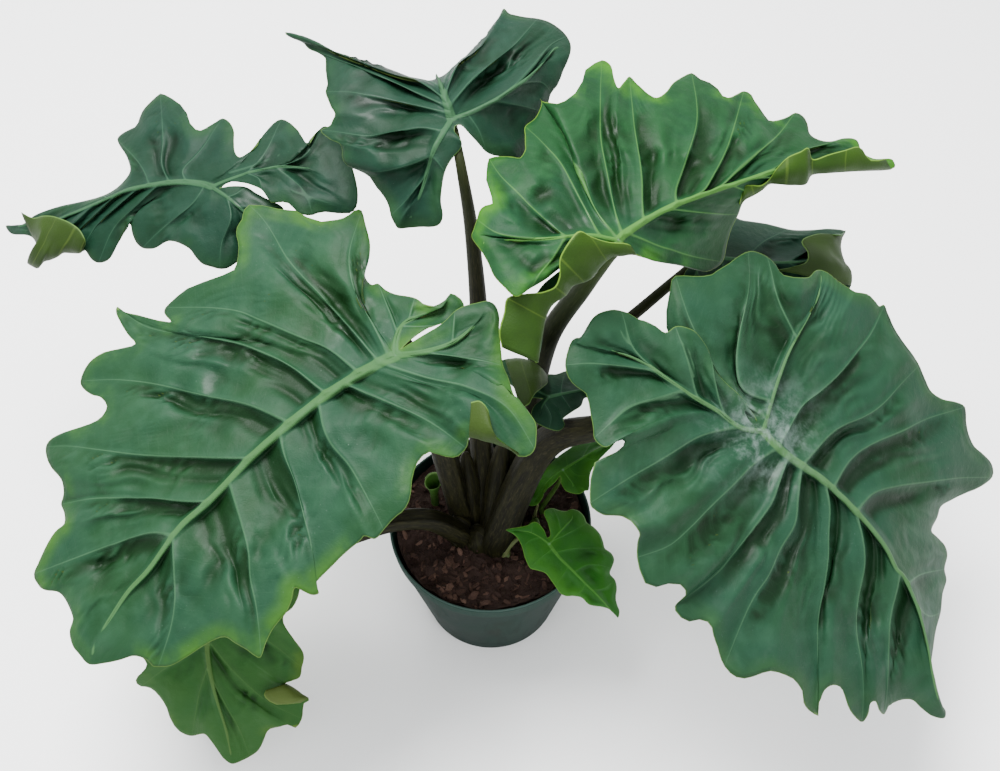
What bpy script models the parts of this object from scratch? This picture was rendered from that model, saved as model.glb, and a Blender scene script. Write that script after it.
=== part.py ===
"""A potted low rider alocasia: a nursery pot of bark mix, eleven leaves on their own stalks and a rolled shoot.

Metres, +Z up. The origin is the middle of the pot's underside, where it rests, and the viewer stands on -Y.

Every leaf is drawn the way a botanist plots one from a picture: a point of the leaf is a sight line from a
fixed eye through a place (across, down) on a picture 1000 wide and 771 high, and a lift, in metres, above the
leaf's own plane. That plane is set by two real heights, of the blade's foot and of its tip, and by a roll.
"""

import math

import bmesh
import bpy
import numpy as np
from mathutils import Vector, noise

# The eye and its sight lines
EYE = np.array([0.012, -0.734, 1.438])
EYE_PITCH = math.radians(53.0)
FOCAL = 1160.0
PICTURE_MIDDLE = (500.0, 385.5)

# The pot, a 25 cm nursery pot
POT_RIM_RADIUS = 0.125
POT_BASE_RADIUS = 0.087
POT_HEIGHT = 0.187
POT_WALL = 0.0025
POT_LIP_HEIGHT = 0.019
POT_LIP_OUT = 0.0035
POT_LIP_ROUND = 0.0012
POT_LIP_LEAN = 0.0014
POT_LIP_STEP = 0.002
POT_BASE_EDGE = 0.004
POT_BASE_ROUND = 0.0015
DRAIN_HOLES = 6
DRAIN_RADIUS = 0.006
DRAIN_RING = 0.060
DRAIN_SIDES = 16
DRAIN_CUT = 0.02
ROUND_STEPS = 36

# The soil
SOIL_TOP = 0.177
SOIL_LUMP = 0.0045
SOIL_LUMPS_PER_METRE = (38.0, 90.0)
SOIL_RINGS = 9
FIT_GAP = 0.0003
STALK_DEPTH = 0.030
STALK_UPRIGHT = 0.012
STALK_POINTS = 14
STALK_MIDDLE = 0.45
HOLE_SIDES = 20
HOLE_REACH = 0.06

# The blades
BLADE_THICKNESS = 0.0009
VEIN_FURROW = 0.0035
EDGE_RIDGE = 0.0030
FURROW_END = 0.62
RIDGE_START = 0.45
RIDGE_SPAN = 0.60
RELIEF_REACH = 120.0
HALF_ARCH = 0.006
ARCH_REACH = 100.0
FLAT_FOOT = 40.0
FLAT_SHARE = 0.3
PLAIN_ROWS = (0.0, 0.14, 0.40, 0.74, 1.0)
FLAP_ROWS = (0.0, 0.2, 0.55, 1.0)
FLAP_ROLL = 0.006
FLAP_WIDE = 25.0
SPINE_CROWDING = {"midrib": 1.5, "rear_left": 1.15, "rear_right": 1.15}
SPINE_REACH = {"midrib": 0.93, "rear_left": 0.80, "rear_right": 0.80}
LAST_ROOT = 0.98
COLUMNS_PER_VEIN = 2
CURVE_STEPS = 400
VEIN_STEPS = 60

# Colours: base colour, roughness
COLOURS = {
    "pot": ((0.045, 0.075, 0.070, 1.0), 0.55),
    "soil": ((0.040, 0.022, 0.016, 1.0), 0.95),
    "petiole": ((0.050, 0.045, 0.025, 1.0), 0.45),
    "blade": ((0.060, 0.200, 0.105, 1.0), 0.35),
    "pup": ((0.050, 0.230, 0.060, 1.0), 0.35),
}

# Each blade: foot and tip in the picture with their heights, the roll about the line between them, the columns
# along each rib, the three main ribs as (across, down, lift), the edge in order from the notch behind the foot
# round by the left rear lobe, the tip and the right rear lobe, and the side veins. A vein is its section of the
# ribs, then its places from rib to edge. A flap is where the edge has curled up and over, as pairs of a place on
# the edge, which is then the crest of the curl, and the place and lift of the free edge.
# Sections: the rear left rib's inner and outer side (li, lo), the midrib's left and right side (ml, mr), the
# rear right rib's outer and inner side (ro, ri).
BLADES = {
    "blade_front_left": {
        "foot": (396, 356), "foot_height": 0.50, "tip": (90, 664), "tip_height": 0.33, "roll": 0.0,
        "columns": (32, 7, 8),
        "midrib": [(396, 356, 0), (370, 368, 0), (330, 392, .002), (290, 423, .004), (250, 458, .006),
                   (210, 500, .006), (180, 527, .004), (150, 568, 0), (128, 592, -.004), (110, 620, -.010),
                   (96, 646, -.016)],
        "rear_left": [(396, 356, 0), (396, 342, -.002), (401, 328, -.004), (410, 320, -.006),
                      (424, 315, -.008), (440, 309, -.012)],
        "rear_right": [(396, 356, 0), (425, 352, .001), (452, 343, .001), (471, 329, -.003), (483, 313, -.008)],
        "edge": [(401, 349, 0), (412, 339), (425, 330), (434, 326, -.004), (446, 322, -.012),
                 (456, 318, -.018), (464, 310, -.020), (462, 300), (451, 293, -.012), (445, 300),
                 (430, 307, -.004), (415, 298), (395, 294), (385, 289), (378, 283, -.012),
                 (372, 284),
                 (367, 279), (365, 273), (366, 270, 0), (369, 256), (370, 243), (366, 225, -.004),
                 (362, 211, -.010), (355, 211), (347, 217), (340, 220), (330, 221, -.002), (320, 221),
                 (305, 215),
                 (295, 209), (280, 208), (265, 206), (250, 206, -.012), (244, 213), (242, 220), (237, 227),
                 (236, 235), (238, 245), (237, 260), (234, 270, 0), (220, 277), (200, 284), (185, 290),
                 (175, 298), (165, 307, -.012), (164, 313), (170, 321, -.002), (160, 320), (140, 315),
                 (125, 312),
                 (118, 307, -.014), (116, 312), (120, 322), (127, 334), (134, 343, -.001), (120, 348),
                 (105, 352),
                 (93, 360), (86, 370), (82, 382, -.013), (84, 389), (92, 395), (100, 397), (106, 406, -.002),
                 (101, 417), (90, 424), (75, 429), (60, 434), (50, 440), (46, 447, -.016), (47, 457), (52, 468),
                 (61, 479, -.004), (63, 490), (62, 498), (60, 504, -.016), (63, 512), (63, 523, -.006),
                 (55, 530),
                 (48, 540), (42, 552), (38, 562), (34, 574, -.020), (38, 584), (45, 590), (58, 592), (66, 600),
                 (73, 615, -.012), (73, 622), (70, 632), (73, 645), (80, 654), (90, 664, -.022), (105, 663),
                 (120, 660), (134, 656, -.014), (146, 660), (152, 666), (158, 667, -.020), (170, 666),
                 (185, 658),
                 (200, 648), (212, 641), (225, 637, -.010), (235, 643), (247, 650), (255, 656),
                 (261, 657, -.018),
                 (266, 643), (273, 629), (282, 618), (287, 612), (292, 600), (295, 588, -.006), (303, 591),
                 (312, 595), (319, 593, -.016), (315, 585), (320, 578), (330, 568), (345, 553), (360, 541),
                 (365, 536, -.004), (375, 539), (384, 530, -.012), (395, 518), (403, 512), (408, 505),
                 (411, 495),
                 (412, 480), (415, 468), (420, 458), (429, 452, -.002), (440, 455), (450, 457), (458, 456),
                 (466, 448, -.014), (469, 438, -.004), (476, 438), (484, 440, .002), (494, 442),
                 (504, 445, -.002), (512, 449),
                 (521, 456, -.012), (529, 455),
                 (534, 449), (536, 440), (536, 423), (528, 412), (520, 405), (513, 397, -.004), (508, 380),
                 (503, 366, -.010), (501, 350), (499, 330), (499, 316), (495, 305), (487, 301, -.004),
                 (476, 303), (464, 306), (455, 311, .004), (446, 320), (437, 327, .002), (425, 334),
                 (412, 342)],
        "veins": [("li", (401, 328), (418, 327), (434, 326)), ("lo", (412, 319), (415, 298)),
                  ("lo", (398, 333), (388, 308), (378, 283)),
                  ("ml", (385, 350), (376, 330), (355, 290), (350, 262), (357, 230), (362, 211)),
                  ("ml", (375, 352), (330, 305), (290, 262), (265, 222), (250, 206)),
                  ("ml", (355, 370), (330, 350), (300, 337), (260, 320), (230, 310), (165, 307)),
                  ("ml", (327, 388), (290, 366), (250, 347), (210, 337), (172, 332), (140, 323), (118, 307)),
                  ("ml", (285, 413), (250, 405), (200, 395), (160, 385), (120, 380), (82, 382)),
                  ("ml", (243, 459), (200, 457), (160, 456), (110, 452), (70, 447), (46, 447)),
                  ("ml", (205, 503), (150, 499), (100, 498), (60, 504)),
                  ("ml", (178, 530), (150, 533), (110, 545), (70, 560), (34, 574)),
                  ("mr", (173, 540), (174, 570), (175, 600), (170, 630), (158, 667)),
                  ("mr", (230, 482), (240, 520), (248, 550), (253, 580), (258, 610), (261, 657)),
                  ("mr", (280, 441), (285, 460), (295, 490), (305, 520), (313, 550), (319, 593)),
                  ("mr", (320, 407), (330, 440), (350, 467), (368, 498), (384, 530)),
                  ("mr", (350, 384), (390, 403), (430, 422), (466, 448)),
                  ("mr", (385, 368), (425, 377), (470, 388), (508, 408), (534, 449)),
                  ("ro", (425, 354), (465, 358), (503, 366)), ("ri", (460, 340), (455, 311))],
        "notches": [(430, 307), (366, 270), (330, 221), (234, 270), (170, 321), (134, 343), (106, 406),
                    (61, 479), (63, 523), (73, 615), (134, 656), (225, 637), (295, 588), (365, 536), (429, 452),
                    (480, 439), (513, 397), (499, 330)],
        "flaps": [[((469, 438), (471, 402, .014)), ((476, 438), (480, 401, .016)),
                 ((484, 440), (487, 408, .016)), ((494, 442), (490, 418, .014)),
                 ((504, 445), (489, 429, .012)), ((512, 449), (499, 440, .004)),
                 ((521, 456), (521, 456, -.012))]],
    },
    "blade_front_right": {
        "foot": (763, 432), "foot_height": 0.44, "tip": (944, 718), "tip_height": 0.20, "roll": 0.0,
        "columns": (30, 10, 14),
        "midrib": [(763, 432, 0), (777, 447, .001), (801, 465, .003), (822, 479, .005), (837, 493, .006),
                   (848, 503, .007), (871, 528, .008), (887, 549, .007), (897, 569, .005), (905, 578, .004),
                   (918, 607, .001), (928, 644, -.003), (934, 680, -.008), (940, 706, -.014)],
        "rear_left": [(763, 432, 0), (739, 427, .001), (716, 410, .001), (692, 396, 0), (664, 377, -.004),
                      (638, 360, -.010), (610, 350, -.018), (582, 344, -.028)],
        "rear_right": [(763, 432, 0), (771, 403, .001), (780, 375, 0), (790, 350, -.003), (806, 322, -.009),
                       (817, 300, -.014), (821, 279, -.020)],
        "edge": [(757, 421, 0), (754, 415), (740, 396, 0), (725, 382), (713, 367), (709, 353, .006), (702, 341),
                 (694, 332), (685, 328), (675, 327), (665, 333, -.004), (655, 326), (645, 321), (638, 319),
                 (630, 314), (621, 311, -.022), (612, 310), (600, 313), (593, 318), (588, 326, -.022),
                 (581, 337),
                 (576, 338), (571, 342, -.032), (567, 353), (565, 365, -.030), (568, 377), (574, 385),
                 (581, 390), (587, 396), (590, 412), (593, 427), (594, 438, -.018), (600, 445),
                 (607, 447, -.004), (614, 443), (621, 439, 0), (626, 441), (626, 446), (620, 452), (610, 456),
                 (600, 459), (594, 463, -.014), (592, 472), (590, 481), (590, 503, -.020), (595, 510),
                 (604, 515), (615, 516), (626, 517, -.010), (632, 520), (638, 528, 0), (641, 536, -.002),
                 (639, 544), (638, 558, -.016), (641, 573), (646, 584), (654, 587), (660, 586), (670, 583),
                 (679, 584), (685, 590, -.004), (685, 597), (680, 601), (675, 606, -.020), (676, 612),
                 (683, 619),
                 (691, 622), (700, 620), (708, 622), (713, 628, -.006), (715, 638), (718, 647), (720, 657),
                 (724, 666, -.020), (731, 674), (739, 678), (749, 678), (760, 674), (770, 671, -.006),
                 (780, 673),
                 (791, 678), (796, 684), (801, 691), (803, 702), (809, 710), (820, 717, -.030), (817, 708),
                 (821, 700), (825, 690), (833, 685, -.014), (841, 688), (845, 698, -.022), (849, 709),
                 (855, 717),
                 (862, 722, -.034), (867, 716), (869, 705), (873, 700, -.022), (878, 710), (884, 714, -.034),
                 (889, 705), (900, 700), (912, 700, -.026), (921, 708), (932, 716), (944, 718, -.024),
                 (945, 710), (939, 704), (937, 691), (932, 680), (930, 669, -.020), (933, 648), (936, 630),
                 (941, 612, -.030), (943, 594), (947, 580), (945, 569, -.045), (948, 555), (945, 545),
                 (937, 537),
                 (931, 530, -.034), (937, 517), (941, 506), (953, 500), (966, 494), (980, 487),
                 (993, 477, -.050), (992, 464), (983, 454), (974, 446), (969, 434, -.030), (967, 422),
                 (966, 407, -.032), (957, 402), (945, 399), (934, 391, -.014), (927, 379), (920, 365, -.014),
                 (912, 353, -.010), (904, 342), (896, 329), (890, 316), (885, 305, -.018), (880, 306),
                 (876, 301),
                 (869, 294), (858, 291, -.006), (851, 287), (839, 280), (829, 273), (821, 270, -.024),
                 (815, 271),
                 (809, 277), (801, 278, -.008), (789, 277), (781, 274), (779, 270), (775, 263), (768, 256),
                 (758, 251, -.022), (749, 251), (739, 256), (727, 265, -.020), (718, 270), (711, 275),
                 (700, 276, -.016), (688, 275), (676, 275, -.022), (671, 281), (670, 291, -.024),
                 (667, 304), (666, 318, -.026), (668, 335), (677, 351, -.028), (691, 368), (707, 385, -.024),
                 (725, 402), (740, 415, -.014), (752, 423, -.005)],
        "veins": [("li", (722, 416), (718, 395), (709, 353)), ("li", (692, 396), (690, 377), (684, 356),
                  (675, 327)),
                  ("li", (640, 361), (632, 346), (621, 311)),
                  ("lo", (630, 356), (600, 364), (565, 365)),
                  ("lo", (678, 387), (650, 400), (626, 410), (594, 438)),
                  ("lo", (742, 427), (700, 437), (657, 462), (626, 480), (590, 503)),
                  ("ml", (778, 447), (749, 467), (728, 488), (710, 506), (688, 528), (667, 546), (638, 558)),
                  ("ml", (790, 457), (777, 485), (769, 503), (751, 530), (733, 555), (715, 576), (675, 606)),
                  ("ml", (800, 464), (797, 497), (793, 524), (778, 549), (767, 576), (751, 603), (724, 666)),
                  ("ml", (827, 484), (830, 508), (829, 535), (827, 567), (823, 598), (819, 632), (820, 717)),
                  ("ml", (858, 513), (862, 537), (863, 564), (858, 598), (857, 632), (860, 666), (862, 722)),
                  ("ml", (894, 568), (896, 598), (889, 632), (884, 670), (884, 714)),
                  ("mr", (920, 615), (930, 616), (941, 612)), ("mr", (905, 578), (922, 574), (945, 569)),
                  ("mr", (855, 509), (873, 494), (896, 486), (923, 482), (955, 478), (993, 477)),
                  ("mr", (829, 486), (851, 460), (879, 441), (905, 429), (934, 417), (966, 407)),
                  ("mr", (801, 464), (834, 431), (865, 417), (882, 405), (900, 384), (920, 365)),
                  ("mr", (777, 446), (801, 410), (822, 389), (846, 363), (870, 335), (885, 305)),
                  ("ri", (798, 336), (778, 300), (768, 256)),
                  ("ri", (770, 405), (744, 390), (738, 365), (740, 335), (748, 289), (749, 251)),
                  ("ri", (766, 420), (736, 396), (706, 352), (688, 318), (676, 275))],
        "notches": [(665, 333), (607, 447), (626, 517), (685, 590), (713, 628), (770, 671), (833, 685),
                    (873, 700), (931, 530), (969, 434), (934, 391), (858, 291), (801, 278)],
    },
    "blade_top": {
        "foot": (452, 119), "foot_height": 0.64, "tip": (438, 92), "tip_height": 0.48, "roll": 0.0,
        "level": True,
        "columns": (14, 9, 10),
        "midrib": [(452, 119, 0), (446, 100, .010), (439, 80, .010), (436, 74, -.015), (436, 78, -.070),
                   (437, 86, -.130)],
        "rear_left": [(452, 119, 0), (443, 133, .001), (434, 150, -.008), (428, 170, -.028), (420, 195, -.048),
                      (412, 213, -.068)],
        "rear_right": [(452, 119, 0), (475, 110, .004), (500, 97, .004), (525, 80, 0), (545, 62, -.006),
                       (556, 48, -.012)],
        "edge": [(455, 126, .002), (455, 132), (461, 140, -.002), (461, 148), (451, 160), (445, 172, -.024),
                 (442, 188), (441, 202, -.050), (443, 215), (440, 224, -.070), (432, 227), (422, 227),
                 (410, 228, -.082), (399, 229), (394, 224), (390, 216, -.070), (388, 207), (385, 200),
                 (380, 193),
                 (374, 186, -.058), (369, 178), (361, 173), (352, 169, -.046), (345, 164), (342, 157),
                 (342, 150), (340, 144, -.030), (334, 141), (328, 138), (321, 131, -.036), (330, 126),
                 (333, 120),
                 (335, 114, -.020), (331, 107), (328, 100), (325, 91, -.020), (327, 84), (326, 76), (325, 67),
                 (325, 58, -.016), (318, 53), (309, 49, -.020), (303, 42), (292, 37), (285, 33, -.016),
                 (299, 34),
                 (312, 42), (330, 55, -.050), (350, 67, -.080), (372, 79, -.110), (395, 90, -.135),
                 (420, 97, -.150), (438, 98, -.160), (452, 92, -.150), (467, 81, -.130), (482, 66, -.100),
                 (494, 48, -.070), (498, 26, -.034), (503, 9, -.012), (511, 14), (523, 16), (538, 17, -.010),
                 (550, 20), (560, 27), (567, 36, -.020), (571, 46), (569, 58, -.020), (563, 71), (558, 84),
                 (551, 93, -.036), (548, 103), (546, 114, -.050), (540, 130, -.056), (531, 148, -.058),
                 (518, 160), (508, 157, -.046), (496, 156), (486, 152, -.030), (478, 143), (470, 134, -.004),
                 (461, 125, .001)],
        "veins": [("li", (432, 155), (438, 162), (445, 172)), ("lo", (424, 184), (408, 198), (390, 216)),
                  ("lo", (432, 158), (405, 166), (378, 172), (352, 169)),
                  ("lo", (444, 131), (421, 128), (398, 131), (371, 135), (321, 131)),
                  ("ml", (451, 115), (413, 105), (380, 98), (350, 93), (325, 91)),
                  ("ml", (449, 108), (415, 92), (380, 76), (345, 62), (309, 49)),
                  ("ml", (446, 100), (420, 82), (385, 72), (345, 56), (312, 41), (285, 33)),
                  ("ml", (441, 86), (424, 80), (402, 77), (382, 75), (372, 79)),
                  ("mr", (441, 86), (452, 68), (468, 55), (480, 57), (482, 66)),
                  ("mr", (444, 95), (456, 68), (475, 45), (490, 27), (503, 9)),
                  ("mr", (448, 106), (472, 80), (497, 59), (514, 45), (528, 30), (538, 17)),
                  ("ro", (512, 90), (533, 66), (550, 46), (567, 36)), ("ri", (520, 84), (540, 82), (551, 93)),
                  ("ri", (490, 103), (523, 106), (546, 114)), ("ri", (468, 113), (478, 130), (486, 152))],
        "notches": [(441, 202), (340, 144), (335, 114), (325, 58), (569, 58), (540, 130)],
    },
    "blade_upper_left": {
        "foot": (212, 187), "foot_height": 0.465, "tip": (6, 226), "tip_height": 0.355, "roll": -20.0,
        "columns": (18, 7, 7),
        "midrib": [(212, 187, 0), (202, 184, .001), (185, 182, .003), (165, 183, .004), (146, 186, .005),
                   (127, 190, .005), (108, 198, .003), (88, 207, -.002), (66, 216, -.008), (48, 222, -.014),
                   (28, 226, -.022)],
        "rear_left": [(212, 187, 0), (227, 197, -.001), (238, 206, -.006), (249, 216, -.014),
                      (259, 226, -.024)],
        "rear_right": [(212, 187, 0), (231, 179, .001), (256, 171, .001), (283, 167, -.004), (310, 169, -.014),
                       (332, 178, -.028)],
        "edge": [(220, 188, 0), (232, 186, -.002), (246, 187, -.006), (256, 193), (267, 199, -.016),
                 (281, 206, -.024), (284, 213, -.028), (279, 224, -.034), (270, 235), (260, 245, -.036),
                 (251, 252), (243, 257, -.034), (237, 262, -.028), (228, 268, -.024), (220, 269),
                 (212, 267), (203, 264), (196, 257),
                 (190, 249), (179, 243, -.006), (170, 241), (164, 243), (156, 248), (149, 249),
                 (142, 248, -.016),
                 (136, 243), (132, 234), (130, 224, -.006), (126, 228), (121, 238), (116, 250), (107, 260),
                 (97, 263, -.020), (90, 259), (84, 250, -.012), (79, 253), (71, 253), (63, 253),
                 (57, 257, -.018), (50, 260),
                 (43, 262), (38, 268, -.024), (32, 266), (27, 262), (33, 256), (38, 250, -.020), (36, 243),
                 (33, 238),
                 (26, 235, -.022), (12, 234), (6, 226, -.030), (14, 226), (24, 224, -.026), (36, 215),
                 (58, 207, -.014), (80, 202), (99, 197, -.008),
                 (112, 191), (122, 183), (130, 172, -.004), (129, 162), (125, 153), (120, 146),
                 (117, 139, -.018),
                 (121, 134), (128, 130), (136, 126), (139, 119), (142, 111), (147, 105), (154, 98),
                 (160, 93, -.018),
                 (166, 95), (173, 99), (181, 105), (187, 113), (190, 123), (196, 130, -.003), (202, 131),
                 (209, 127), (216, 123), (223, 119, -.016), (230, 123), (234, 131), (234, 142), (235, 152),
                 (240, 157, -.001), (250, 151), (258, 146), (260, 138), (265, 131), (273, 122),
                 (281, 118, -.018),
                 (290, 122), (299, 131), (304, 140), (309, 145, -.004), (314, 138), (318, 131),
                 (325, 126, -.022),
                 (335, 133), (346, 148), (352, 166), (357, 185, -.030), (358, 199), (355, 209),
                 (346, 214, -.030),
                 (323, 212), (313, 215), (304, 215, -.014), (296, 211), (290, 204), (281, 202, -.006),
                 (272, 203), (267, 197), (262, 190, .002), (254, 186), (244, 183, .002), (230, 182)],
        "veins": [("li", (226, 197), (236, 194), (246, 187)), ("li", (240, 206), (258, 208), (281, 206)),
                  ("lo", (229, 199), (231, 218), (222, 243), (220, 269)),
                  ("ml", (205, 185), (192, 204), (168, 224), (142, 248)),
                  ("ml", (160, 184), (138, 204), (114, 228), (97, 263)),
                  ("ml", (118, 193), (100, 222), (79, 253)), ("ml", (100, 202), (78, 232), (57, 257)),
                  ("ml", (80, 210), (58, 240), (32, 266)), ("ml", (58, 219), (46, 230), (33, 238)),
                  ("mr", (110, 197), (105, 197), (99, 197)), ("mr", (146, 186), (140, 164), (117, 139)),
                  ("mr", (160, 184), (162, 164), (164, 142), (163, 119), (160, 93)),
                  ("mr", (175, 182), (183, 170), (196, 156), (208, 142), (223, 119)),
                  ("ro", (246, 174), (264, 154), (281, 118)), ("ro", (276, 168), (304, 156), (325, 126)),
                  ("ri", (285, 167), (303, 190), (313, 215)), ("ri", (256, 171), (259, 179), (262, 190))],
        "notches": [(250, 250), (179, 243), (130, 224), (84, 250), (130, 172), (196, 130), (240, 157),
                    (309, 145)],
        "flaps": [[((84, 250), (84, 249, -.006)), ((79, 253), (85, 239, .002)), ((63, 253), (80, 230, .006)),
                 ((50, 260), (71, 223, .008)), ((38, 268), (62, 219, .008)), ((27, 262), (52, 216, .006)),
                 ((38, 250), (42, 216, .002)), ((36, 243), (33, 218, -.004)), ((33, 238), (21, 212, -.010))]],
    },
    "blade_upper_right": {
        "foot": (618, 241), "foot_height": 0.60, "tip": (893, 162), "tip_height": 0.53, "roll": 12.0,
        "columns": (24, 9, 9),
        "midrib": [(618, 241, 0), (626, 233, .001), (650, 218, .004), (673, 206, .007), (697, 197, .009),
                   (716, 190, .010), (740, 182, .010), (768, 173, .008), (800, 165, .004), (835, 161, -.002),
                   (862, 161, -.008), (878, 162, -.012)],
        "rear_left": [(618, 241, 0), (607, 238, .001), (585, 235, .001), (560, 238, -.002), (535, 240, -.008),
                      (510, 240, -.018), (488, 239, -.030)],
        "rear_right": [(618, 241, 0), (611, 249, -.003), (601, 257, -.009), (588, 266, -.016),
                       (575, 274, -.024),
                       (560, 287, -.034), (548, 301, -.045), (540, 318, -.055), (536, 340, -.064),
                       (536, 356, -.070)],
        "edge": [(612, 243, -.002), (603, 246), (590, 252, -.008), (574, 260), (560, 268, -.012), (545, 279),
                 (528, 289, -.018), (516, 297, -.022), (504, 287), (494, 276), (488, 263), (481, 251),
                 (472, 238, -.040), (474, 229), (477, 220), (480, 210), (486, 205), (492, 203, -.020),
                 (490, 192),
                 (486, 180), (487, 168), (489, 159, -.034), (500, 157), (512, 157), (520, 158, -.014),
                 (525, 151),
                 (525, 145), (525, 137), (525, 127, -.024), (535, 119), (541, 108), (542, 100, -.026),
                 (548, 103),
                 (557, 105, -.010), (567, 101), (576, 93), (582, 82), (584, 71), (591, 65), (602, 60, -.024),
                 (611, 66), (614, 78), (618, 88, -.006), (623, 83), (629, 78, -.016), (638, 86), (647, 93),
                 (657, 97, -.003), (666, 92), (673, 83), (683, 76), (692, 72, -.016), (697, 76), (704, 82),
                 (715, 85), (720, 94), (728, 98, -.003), (737, 94), (744, 91, -.012), (751, 94), (755, 101),
                 (763, 112), (769, 120, -.003), (777, 120), (787, 117), (795, 113, -.014), (803, 116),
                 (808, 123), (811, 133, -.004), (820, 139), (831, 141), (844, 139, -.010), (856, 141),
                 (862, 152), (874, 158), (889, 158, -.012), (894, 161, -.014), (894, 168, -.016),
                 (871, 170, -.012), (858, 171), (845, 172, -.008), (828, 173), (812, 175, -.006), (806, 184),
                 (796, 185, -.010), (786, 185), (776, 184, -.010), (769, 184), (762, 190, -.010), (754, 195),
                 (745, 200, -.012), (741, 206), (738, 214),
                 (731, 229), (727, 244), (723, 262, -.070), (711, 271), (702, 272), (692, 270, -.056),
                 (680, 267), (668, 265), (654, 262, -.030), (645, 258), (637, 254, -.008),
                 (631, 254), (622, 256, -.007), (614, 256), (607, 261, -.012), (600, 268), (592, 278, -.022),
                 (584, 282), (573, 286, -.030), (566, 295), (557, 301, -.042), (551, 307), (546, 319, -.052),
                 (543, 335), (541, 345, -.064), (538, 363, -.074), (532, 357), (529, 345, -.066), (526, 325),
                 (528, 310, -.056), (533, 298), (545, 283, -.040), (558, 272), (572, 262, -.022), (588, 253),
                 (601, 247, -.008), (610, 243, -.003)],
        "veins": [("li", (560, 238), (550, 262), (528, 290)), ("lo", (520, 240), (500, 234), (477, 220)),
                  ("lo", (560, 238), (540, 215), (517, 191), (500, 175), (489, 159)),
                  ("lo", (595, 236), (583, 205), (560, 165), (540, 142), (525, 127)),
                  ("lo", (607, 238), (593, 205), (571, 150), (556, 122), (542, 100)),
                  ("ml", (622, 237), (615, 211), (609, 183), (603, 149), (600, 109), (602, 60)),
                  ("ml", (645, 221), (641, 183), (639, 152), (634, 121), (629, 78)),
                  ("ml", (673, 206), (676, 187), (687, 157), (697, 120), (692, 72)),
                  ("ml", (697, 197), (709, 183), (728, 145), (744, 91)),
                  ("ml", (716, 190), (744, 164), (775, 138), (795, 113)),
                  ("ml", (768, 173), (800, 152), (844, 139)),
                  ("mr", (840, 161), (845, 166), (845, 172)), ("mr", (800, 165), (807, 170), (812, 175)),
                  ("mr", (762, 175), (776, 178), (786, 185)), ("mr", (728, 186), (745, 191), (754, 195)),
                  ("mr", (670, 208), (700, 212), (722, 214), (738, 214)),
                  ("mr", (626, 233), (661, 246), (692, 256), (723, 262)),
                  ("ro", (603, 256), (607, 259), (607, 261)), ("ro", (580, 271), (583, 276), (584, 282)),
                  ("ro", (558, 289), (562, 293), (566, 295)), ("ro", (541, 314), (544, 317), (546, 319)),
                  ("ri", (550, 298), (540, 292), (533, 298)), ("ri", (588, 266), (580, 262), (572, 262))],
        "notches": [(492, 203), (520, 158), (557, 105), (618, 88), (657, 97), (728, 98), (769, 120), (811, 133),
                    (654, 262)],
        "flaps": [[((894, 168), (890, 158, -.002)), ((871, 170), (869, 160, .006)),
                   ((858, 171), (860, 147, .014)), ((845, 172), (846, 150, .014)),
                   ((828, 173), (828, 155, .014)), ((812, 175), (813, 159, .012)),
                   ((806, 184), (808, 148, .024)), ((796, 185), (800, 152, .024)),
                   ((786, 185), (787, 158, .020)), ((776, 184), (778, 168, .012)),
                   ((769, 184), (770, 178, .002)), ((762, 190), (761, 185, 0)),
                   ((754, 195), (751, 185, .002)), ((745, 200), (744, 187, .002)),
                   ((741, 206), (740, 204, -.010))],
                  [((637, 254), (631, 246, .000)), ((631, 254), (624, 244, .006)),
                 ((622, 256), (612, 243, .012)), ((614, 256), (602, 240, .018)),
                 ((607, 261), (590, 236, .024)), ((600, 268), (579, 231, .028)),
                 ((592, 278), (569, 241, .022)), ((584, 282), (560, 258, .010)),
                 ((573, 286), (559, 275, -.002)), ((566, 295), (555, 287, -.010)),
                 ((557, 301), (543, 292, -.020)), ((551, 307), (524, 294, -.028)),
                 ((546, 319), (507, 298, -.036)), ((543, 335), (504, 313, -.046)),
                 ((541, 345), (499, 332, -.056)), ((538, 363), (502, 348, -.066))]],
    },
    "blade_back_right": {
        "foot": (702, 256), "foot_height": 0.42, "tip": (850, 262), "tip_height": 0.375, "roll": 0.0,
        "columns": (10, 5, 5),
        "midrib": [(702, 256, 0), (722, 258, .001), (745, 260, .003), (770, 262, .004), (800, 262, .002),
                   (830, 258, -.004)],
        "rear_left": [(702, 256, 0), (690, 244, -.002), (676, 228, -.010), (664, 214, -.020)],
        "rear_right": [(702, 256, 0), (698, 268, -.004), (694, 281, -.012), (691, 294, -.022)],
        "edge": [(693, 258, -.001), (684, 257), (672, 248, -.008), (656, 232), (648, 214, -.024), (652, 200),
                 (664, 197, -.026), (678, 204), (692, 211, -.010), (704, 206), (716, 206, -.014), (728, 212),
                 (740, 219, -.004), (752, 221), (768, 223), (789, 228, -.008), (800, 229), (815, 229, -.004),
                 (830, 228), (845, 230, -.012), (842, 238), (841, 248, -.012), (845, 262),
                 (850, 268, -.014), (852, 275),
                 (851, 286, -.020),
                 (842, 300, -.030), (828, 306), (812, 302, -.022), (796, 308), (780, 314, -.034), (764, 308),
                 (752, 300, -.022), (740, 306), (726, 312, -.034), (714, 306), (707, 296, -.020), (701, 303),
                 (693, 306, -.030), (685, 298), (682, 286, -.022), (684, 274, -.012), (690, 265)],
        "veins": [("li", (680, 232), (668, 236), (656, 232)), ("lo", (683, 236), (674, 216), (664, 197)),
                  ("ml", (712, 257), (714, 232), (716, 206)), ("ml", (742, 260), (763, 242), (789, 228)),
                  ("ml", (790, 262), (820, 245), (845, 230)), ("mr", (800, 262), (822, 280), (842, 300)),
                  ("mr", (756, 261), (770, 288), (780, 314)), ("mr", (720, 258), (725, 286), (726, 312)),
                  ("ro", (696, 274), (704, 284), (707, 296))],
        "notches": [(692, 211), (740, 219), (815, 229), (812, 302), (752, 300)],
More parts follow.
